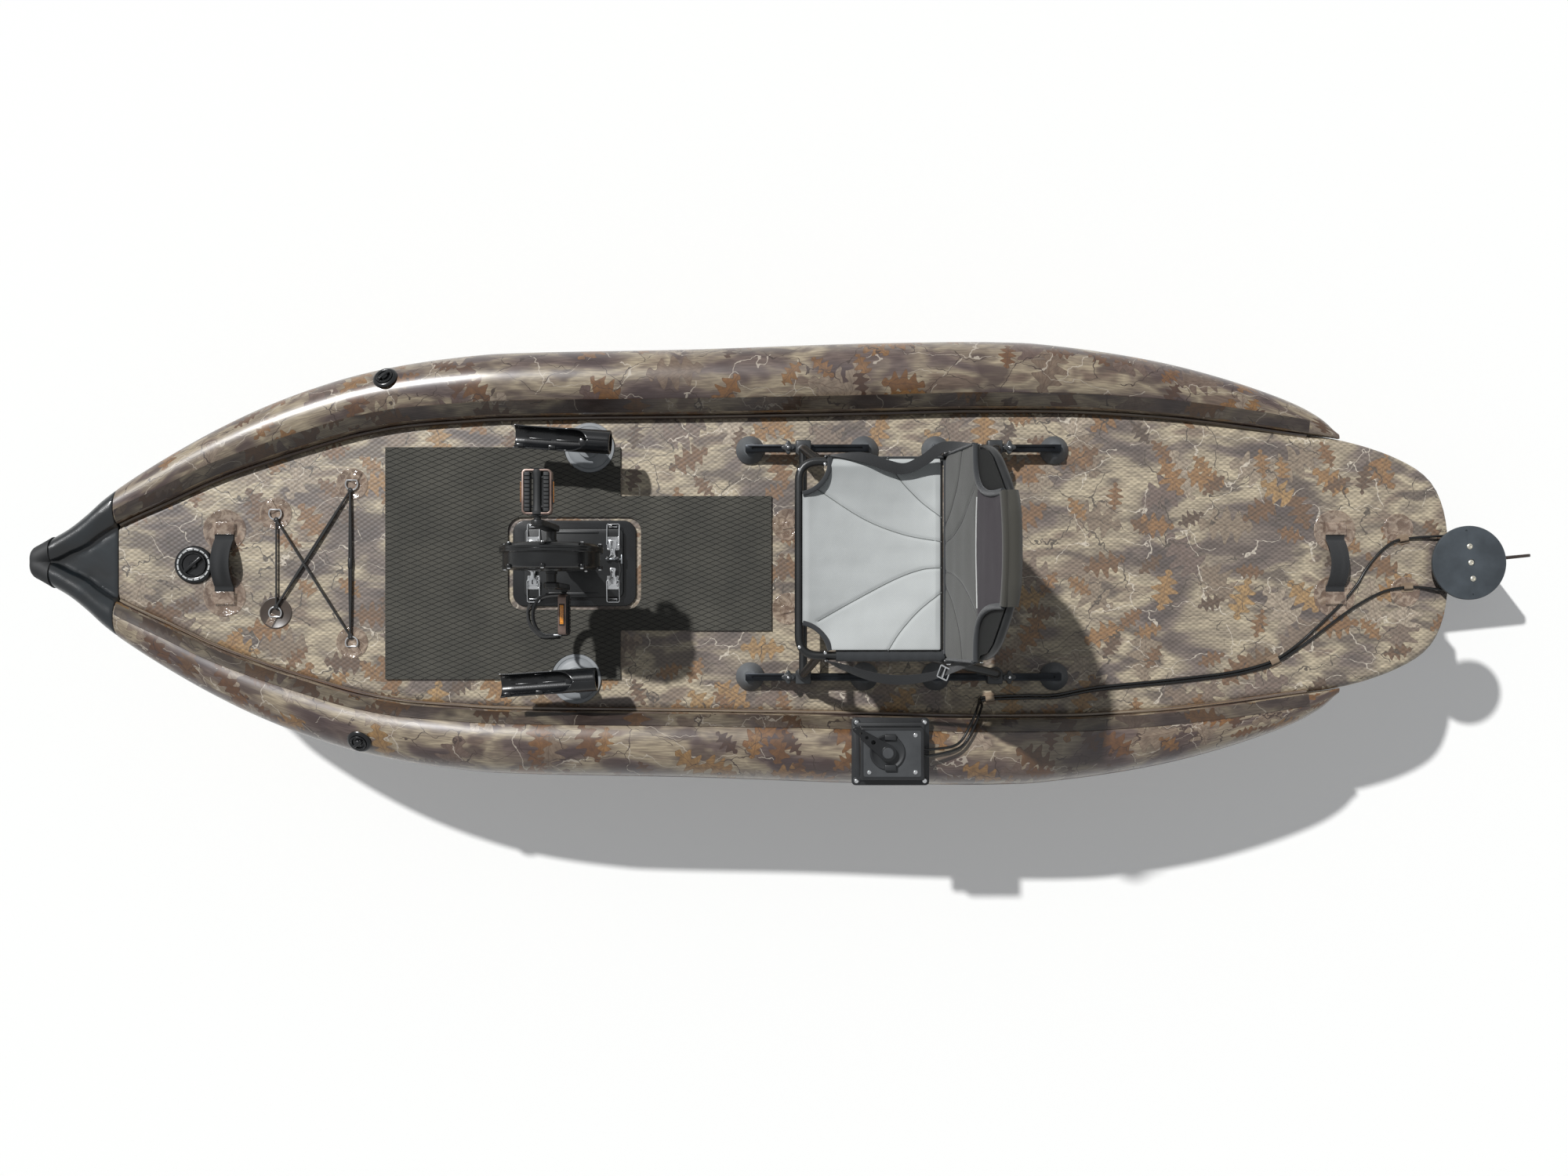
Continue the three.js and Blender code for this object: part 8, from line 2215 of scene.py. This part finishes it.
buckle_frame = slab("frame", rounded_rectangle(0.026, 0.034, 0.004), -0.0014, 0.0014, 0.0006)
for shift in (-0.0062, 0.0062):
    carved(buckle_frame, box("window", (shift - 0.0042, -0.0135, -0.01), (shift + 0.0042, 0.0135, 0.01)))
lever_bar = rod("bar", 0.0021, (0, -0.0145, 0.0016), (0, 0.0145, 0.0016), 16)
buckle = joined("strap_buckle_port", buckle_frame, lever_bar)
buckle_turn = Matrix(((-0.82, -0.35, 0.3), (0.28, -0.8, 0.5), (0.45, 0.4, 0.8))).to_4x4()
turn = buckle_turn.to_quaternion().to_matrix().to_4x4()
buckle.data.transform(Matrix.Translation((-0.4555, 0.2512, 0.4195)) @ turn)
dress(buckle, chrome, "seat", "steel")
# %% [markdown]
# ## Steering box
# A moulded box sits on the port tube. Its case keeps the CAD form with rounded edges. The lid has a
# sunk grained panel with a screw in each free corner, and a round dial with two grip lugs.

# %% Steering box
lid_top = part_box("control_lid")[1][2]
BOX_X, BOX_Y, BOX_Z = -0.35445, 0.44278, lid_top - 0.062
DIAL_X, DIAL_Y = 0.011, -0.003


def at_box(piece):
    return moved(piece, Matrix.Translation((BOX_X, BOX_Y, BOX_Z)))


charcoal = moulded_plastic("abs_plastic_charcoal_grained", "#36383a", "#47494b", 0.5, 1.1)
case = dressed_copy("control_box", "control_case_moulded", 0.0012, 2, 50)
dress(case, black_plastic, "root", "black_plastic", ("control_box",))
foot_rim = slab("rim", rounded_rectangle(0.16, 0.136, 0.008), 0.0045, 0.0095, 0.0014)
carved(foot_rim, slab("inside", rounded_rectangle(0.1455, 0.1195, 0.004), 0, 0.02))
bosses = [rod("boss", 0.0088, (x * 0.0795, y * 0.0685, 0.0045), (x * 0.0795, y * 0.0685, 0.0075), 28, 0.0008)
          for x in (-1, 1) for y in (-1, 1)]
dress(at_box(joined("control_case_rim", foot_rim, *bosses)), black_plastic, "root", "black_plastic")

lid = slab("lid", rounded_rectangle(0.146, 0.12, 0.007), 0.051, 0.0562, 0.0022, 4)
carved(lid, slab("sunk", rounded_rectangle(0.133, 0.107, 0.005), 0.0553, 0.07),
       rod("bore", 0.0075, (DIAL_X, DIAL_Y, 0.04), (DIAL_X, DIAL_Y, 0.07), 32))
dial_profile = [(0.0075, 0.0556), (0.0075, 0.0602), (0.02, 0.0602), (0.022, 0.0596), (0.0345, 0.0596),
                (0.0362, 0.0606), (0.0386, 0.0606), (0.04, 0.0594), (0.04, 0.0552)]
dial = placed(turned("dial", dial_profile, 72), (DIAL_X, DIAL_Y, 0))
lugs = []
for hand in (1, -1):
    lug = box("lug", (DIAL_X - 0.02, DIAL_Y + hand * 0.0345 - 0.0075, 0.0585),
              (DIAL_X + 0.008, DIAL_Y + hand * 0.0345 + 0.0075, 0.0662), 0.0034, 4)
    lugs.append(lug)
dress(at_box(joined("control_lid_moulded", lid, dial, *lugs)), black_plastic, "root", "black_plastic",
      ("control_lid",))
panel = slab("control_lid_panel", rounded_rectangle(0.1325, 0.1065, 0.005), 0.0545, 0.0557, 0.0003, 1)
carved(panel, rod("round", 0.0405, (DIAL_X, DIAL_Y, 0.04), (DIAL_X, DIAL_Y, 0.07), 64))
dress(at_box(panel), charcoal, "root", "black_plastic")

heads = []
for x, y in ((-1, -1), (-1, 1), (1, -1), (1, 1)):
    heads.append(screw("case_screw", 0.005, 0.0024, (x * 0.0795, y * 0.0685, 0.0074)))
    if (x, y) != (1, -1):
        heads.append(screw("lid_screw", 0.005, 0.0024, (x * 0.053, y * 0.0425, 0.0555)))
dress(at_box(joined("control_screws", *heads)), chrome, "root", "steel")

# %% [markdown]
# ## Steering lever
# The lever is a flat teardrop with four holes that grow towards its hub, so that the cables' throw
# can be set. Two circles and their common tangents draw its outline.

# %% Steering lever
LEVER_TURN = math.radians(-36)
LEVER_LONG, HUB_ROUND, TIP_ROUND = 0.092, 0.019, 0.0066


def teardrop(first, last, length, steps=24):
    lean = math.acos((first - last) / length)
    outline = []
    for i in range(steps + 1):
        angle = lean + (2 * math.pi - 2 * lean) * i / steps
        outline.append((first * math.cos(angle), first * math.sin(angle)))
    for i in range(steps // 2 + 1):
        angle = -lean + 2 * lean * i / (steps // 2)
        outline.append((length + last * math.cos(angle), last * math.sin(angle)))
    return outline


arm = slab("arm", teardrop(HUB_ROUND, TIP_ROUND, LEVER_LONG), 0.0693, 0.0753, 0.0012, 3)
for share, radius in ((1, 0.0018), (0.835, 0.003), (0.655, 0.0039), (0.455, 0.0052)):
    spot = (LEVER_LONG * share, 0)
    carved(arm, rod("hole", radius, (*spot, 0.06), (*spot, 0.08), 28))
hub = rod("hub", 0.0158, (0, 0, 0.0623), (0, 0, 0.0762), 56, 0.0012)
shaft = rod("shaft", 0.0069, (0, 0, 0.0275), (0, 0, 0.0626), 24)
horn = slab("horn", rounded_rectangle(0.01, 0.08, 0.003), 0.027, 0.033, 0.0008)
lever = joined("steering_lever_moulded", arm, hub, shaft, horn)
cap = turned("steering_lever_cap", [(0, 0.0778), (0.0112, 0.0778), (0.0126, 0.0766), (0.0126, 0.0755)], 56)
for piece in (lever, cap):
    at_box(moved(piece, Matrix.Translation((DIAL_X, DIAL_Y, 0)) @ Matrix.Rotation(LEVER_TURN, 4, "Z")))
dress(lever, satin_plastic, "steering_lever", "black_plastic", ("steering_lever",))
dress(cap, charcoal, "steering_lever", "black_plastic")

# %% [markdown]
# ## Steering cables
# Two sheathed cables leave the back of the box, drop over the tube, run along the deck under two
# double clips and part at the stern for either side of the rudder drum. They are fixed all the way,
# so each is one tube on a curve through the clips.

# %% Steering cables
sheath = moulded_plastic("cable_sheath_black", "#0e0f10", "#191a1b", 0.2, 3)
CLIPS = ((-0.599, 0.324, 6), (-1.281, 0.234, 26), (-1.591, -0.057, 10), (-1.601, 0.058, 3))


def through_clip(index, shift, reach=0.021):
    x, y, turn = CLIPS[index]
    ahead = Vector((math.cos(math.radians(turn)), math.sin(math.radians(turn)), 0))
    middle = Vector((x, y, DECK + 0.0052)) + Vector((-ahead.y, ahead.x, 0)) * shift
    return [middle + ahead * reach, middle - ahead * reach]


def on_floor(stops, shift):
    return [Vector((x, y + shift, DECK + (0.005 if high else 0.0033))) for x, y, high in stops]


FROM_BOX = ((-0.514, 0.428, 0.24), (-0.549, 0.378, 0.224), (-0.573, 0.338, 0.176))
ALONG = ((-0.69, 0.32, 0), (-0.76, 0.318, 0), (-0.86, 0.3, 0), (-1.046, 0.281, 0), (-1.18, 0.264, 0))
TO_STARBOARD = ((-1.34, 0.192, 0), (-1.375, 0.16, 1), (-1.41, 0.127, 1), (-1.445, 0.092, 1),
                (-1.478, 0.052, 1), (-1.503, 0.012, 0), (-1.538, -0.03, 0))
TO_PORT = ((-1.345, 0.2, 0), (-1.382, 0.172, 1), (-1.43, 0.135, 1), (-1.48, 0.1, 1), (-1.537, 0.07, 0))

for word, hand, ways, last_clip, exit_line in (
    ("starboard", -1, TO_STARBOARD, 2,
    ((-1.66, -0.064, 0.161), (-1.7, -0.065, 0.168), (-1.734, -0.065, 0.168))),
    ("port", 1, TO_PORT, 3, ((-1.665, 0.062, 0.161), (-1.7, 0.065, 0.168), (-1.734, 0.065, 0.168)))):
    shift = hand * 0.0035
    start = BOX_X - 0.073
    route = [Vector((start + 0.004, BOX_Y + hand * 0.007, BOX_Z + 0.024)),
             Vector((start - 0.022, BOX_Y + hand * 0.007, BOX_Z + 0.024))]
    route += [Vector((x - shift, y + shift, z)) for x, y, z in FROM_BOX]
    route += through_clip(0, shift) + on_floor(ALONG, shift) + through_clip(1, shift)
    route += on_floor(ways, 0) + through_clip(last_clip, 0) + [Vector(stop) for stop in exit_line]
    line = tube(f"steering_cable_{word}_sheathed", smooth_path(route, 10), 0.0031, 16)
    dress(line, sheath, "root", "cable_sheath", (f"steering_cable_{word}",), 60)

# %% [markdown]
# ## Cable clips
# Small moulded clips hold the cables. Each is half a pipe on a thin foot, and the two at the stern
# stand at the edge of clear round patches that are glued to the deck.

# %% Cable clips
clip_plastic = moulded_plastic("nylon_plastic_sand", "#7d6a58", "#a3927c", 0.35, 1.4)
for index, (x, y, turn) in enumerate(CLIPS):
    lanes = 2 if index < 2 else 1
    half = 0.0046 + 0.0035 * (lanes - 1)

    def bridge_place(u, v, half=half):
        angle = math.pi * v
        return Vector(((u - 0.5) * 0.021, half * rounder(math.cos(angle), 0.5),
                       0.0008 + 0.0086 * math.sin(angle) ** 0.6))

    arch = wrapped("arch", bridge_place, 10, 22)
    modify(arch, "SOLIDIFY", thickness=0.0013, offset=1)
    bevelled(arch, 0.0004, 1, 50)
    wings = slab("wings", rounded_rectangle(0.03, 0.022 + 0.007 * (lanes - 1), 0.004), 0.0004, 0.0018, 0.0004)
    clip = joined(f"cable_clip_{index + 1}", arch, wings)
    clip.data.transform(Matrix.Rotation(math.radians(turn), 4, "Z"))
    on_deck(clip, x, y)
    dress(clip, clip_plastic, "root", "grey_plastic")
patch("cable_patch_starboard", -1.58, -0.083, 0.036)
patch("cable_patch_port", -1.596, 0.068, 0.036)

# %% [markdown]
# ## Rudder
# The bracket on the transom carries a drum with a wide slate-coloured disc. Below it a yoke holds
# the blade on a pin, so that the blade can kick up. The disc is turned from its profile.

# %% Rudder
RUDDER_X, RUDDER_TURN = -1.734, math.radians(6)


def at_rudder(piece):
    return moved(piece, Matrix.Translation((RUDDER_X, 0, 0)) @ Matrix.Rotation(RUDDER_TURN, 4, "Z"))


bracket = dressed_copy("rudder_bracket", "rudder_bracket_cast", 0.0014, 2, 50)
dress(bracket, drawn_metal("brushed_stainless_steel", "#8d9194", "#b2b5b7", 0.32), "root", "steel",
      ("rudder_bracket",))
drum_profile = [(0, 0.162), (0.06, 0.162), (0.062, 0.1635), (0.0605, 0.166), (0.0605, 0.17), (0.062, 0.1733),
                (0.0862, 0.1733), (0.088, 0.175), (0.088, 0.1802), (0.0868, 0.1818), (0.085, 0.1822),
                (0, 0.1822)]
disc = turned("disc", drum_profile, 96)
for x, y, radius in ((0, -0.0765, 0.0024), (0, 0.0765, 0.0024), (-0.004, 0, 0.0082)):
    carved(disc, rod("bore", radius, (x, y, 0.1802), (x, y, 0.19), 28))
yoke = box("yoke", (-0.046, -0.02, -0.0105), (0.018, 0.02, 0.0335), 0.003)
carved(yoke, box("slot", (-0.0637, -0.0045, -0.0165), (0.0003, 0.0045, 0.0275)))
head_pin = rod("pin", 0.01, (0, 0, 0.0332), (0, 0, 0.1623), 32)
kick_pin = rod("kick_pin", 0.005, (-0.026, -0.019, 0.006), (-0.026, 0.019, 0.006), 24)
head = joined("rudder_head_turned", disc, yoke, head_pin, kick_pin)
dress(at_rudder(head), slate_paint, "rudder_head", "slate_metal", ("rudder_head",), 30)
bolt_heads = [screw("disc_screw", 0.0068, 0.003, (-0.004, y, 0.1822 if y else 0.1806))
              for y in (-0.0385, 0, 0.0385)]
bolt_heads += [screw("kick_bolt", 0.0075, 0.003, (-0.026, hand * 0.02, 0.006), (0, hand, 0))
    for hand in (1, -1)]
dress(at_rudder(joined("rudder_screws", *bolt_heads)), pale_steel, "rudder_head", "steel")

blade_line = [(0, 14), (-14, 14), (-22, 7), (-30, 0), (-30, -38), (-32.6, -56), (-42, -70), (-60, -76),
              (-271, -76), (-278, -77.5), (-285, -84), (-292, -98.8), (-301, -306.9), (-300, -316),
              (-298, -325), (-294, -329), (-285, -330), (-91, -316.8), (0, -99)]
blade = slab("rudder_blade_moulded", [(x * mm, z * mm) for x, z in blade_line], -0.004, 0.004, 0.0022, 3, 50)
carved(blade, rod("bore", 0.0053, (-0.0098, 0, -0.01), (-0.0098, 0, 0.01), 28))
blade.data.transform(Matrix.Translation((-0.0162, 0, 0.006)) @ Matrix.Rotation(math.radians(90), 4, "X"))
dress(at_rudder(blade), blade_plastic, "rudder_blade", "slate_metal", ("rudder_blade",))
print("rudder turned", round(math.degrees(RUDDER_TURN), 1), "degrees")
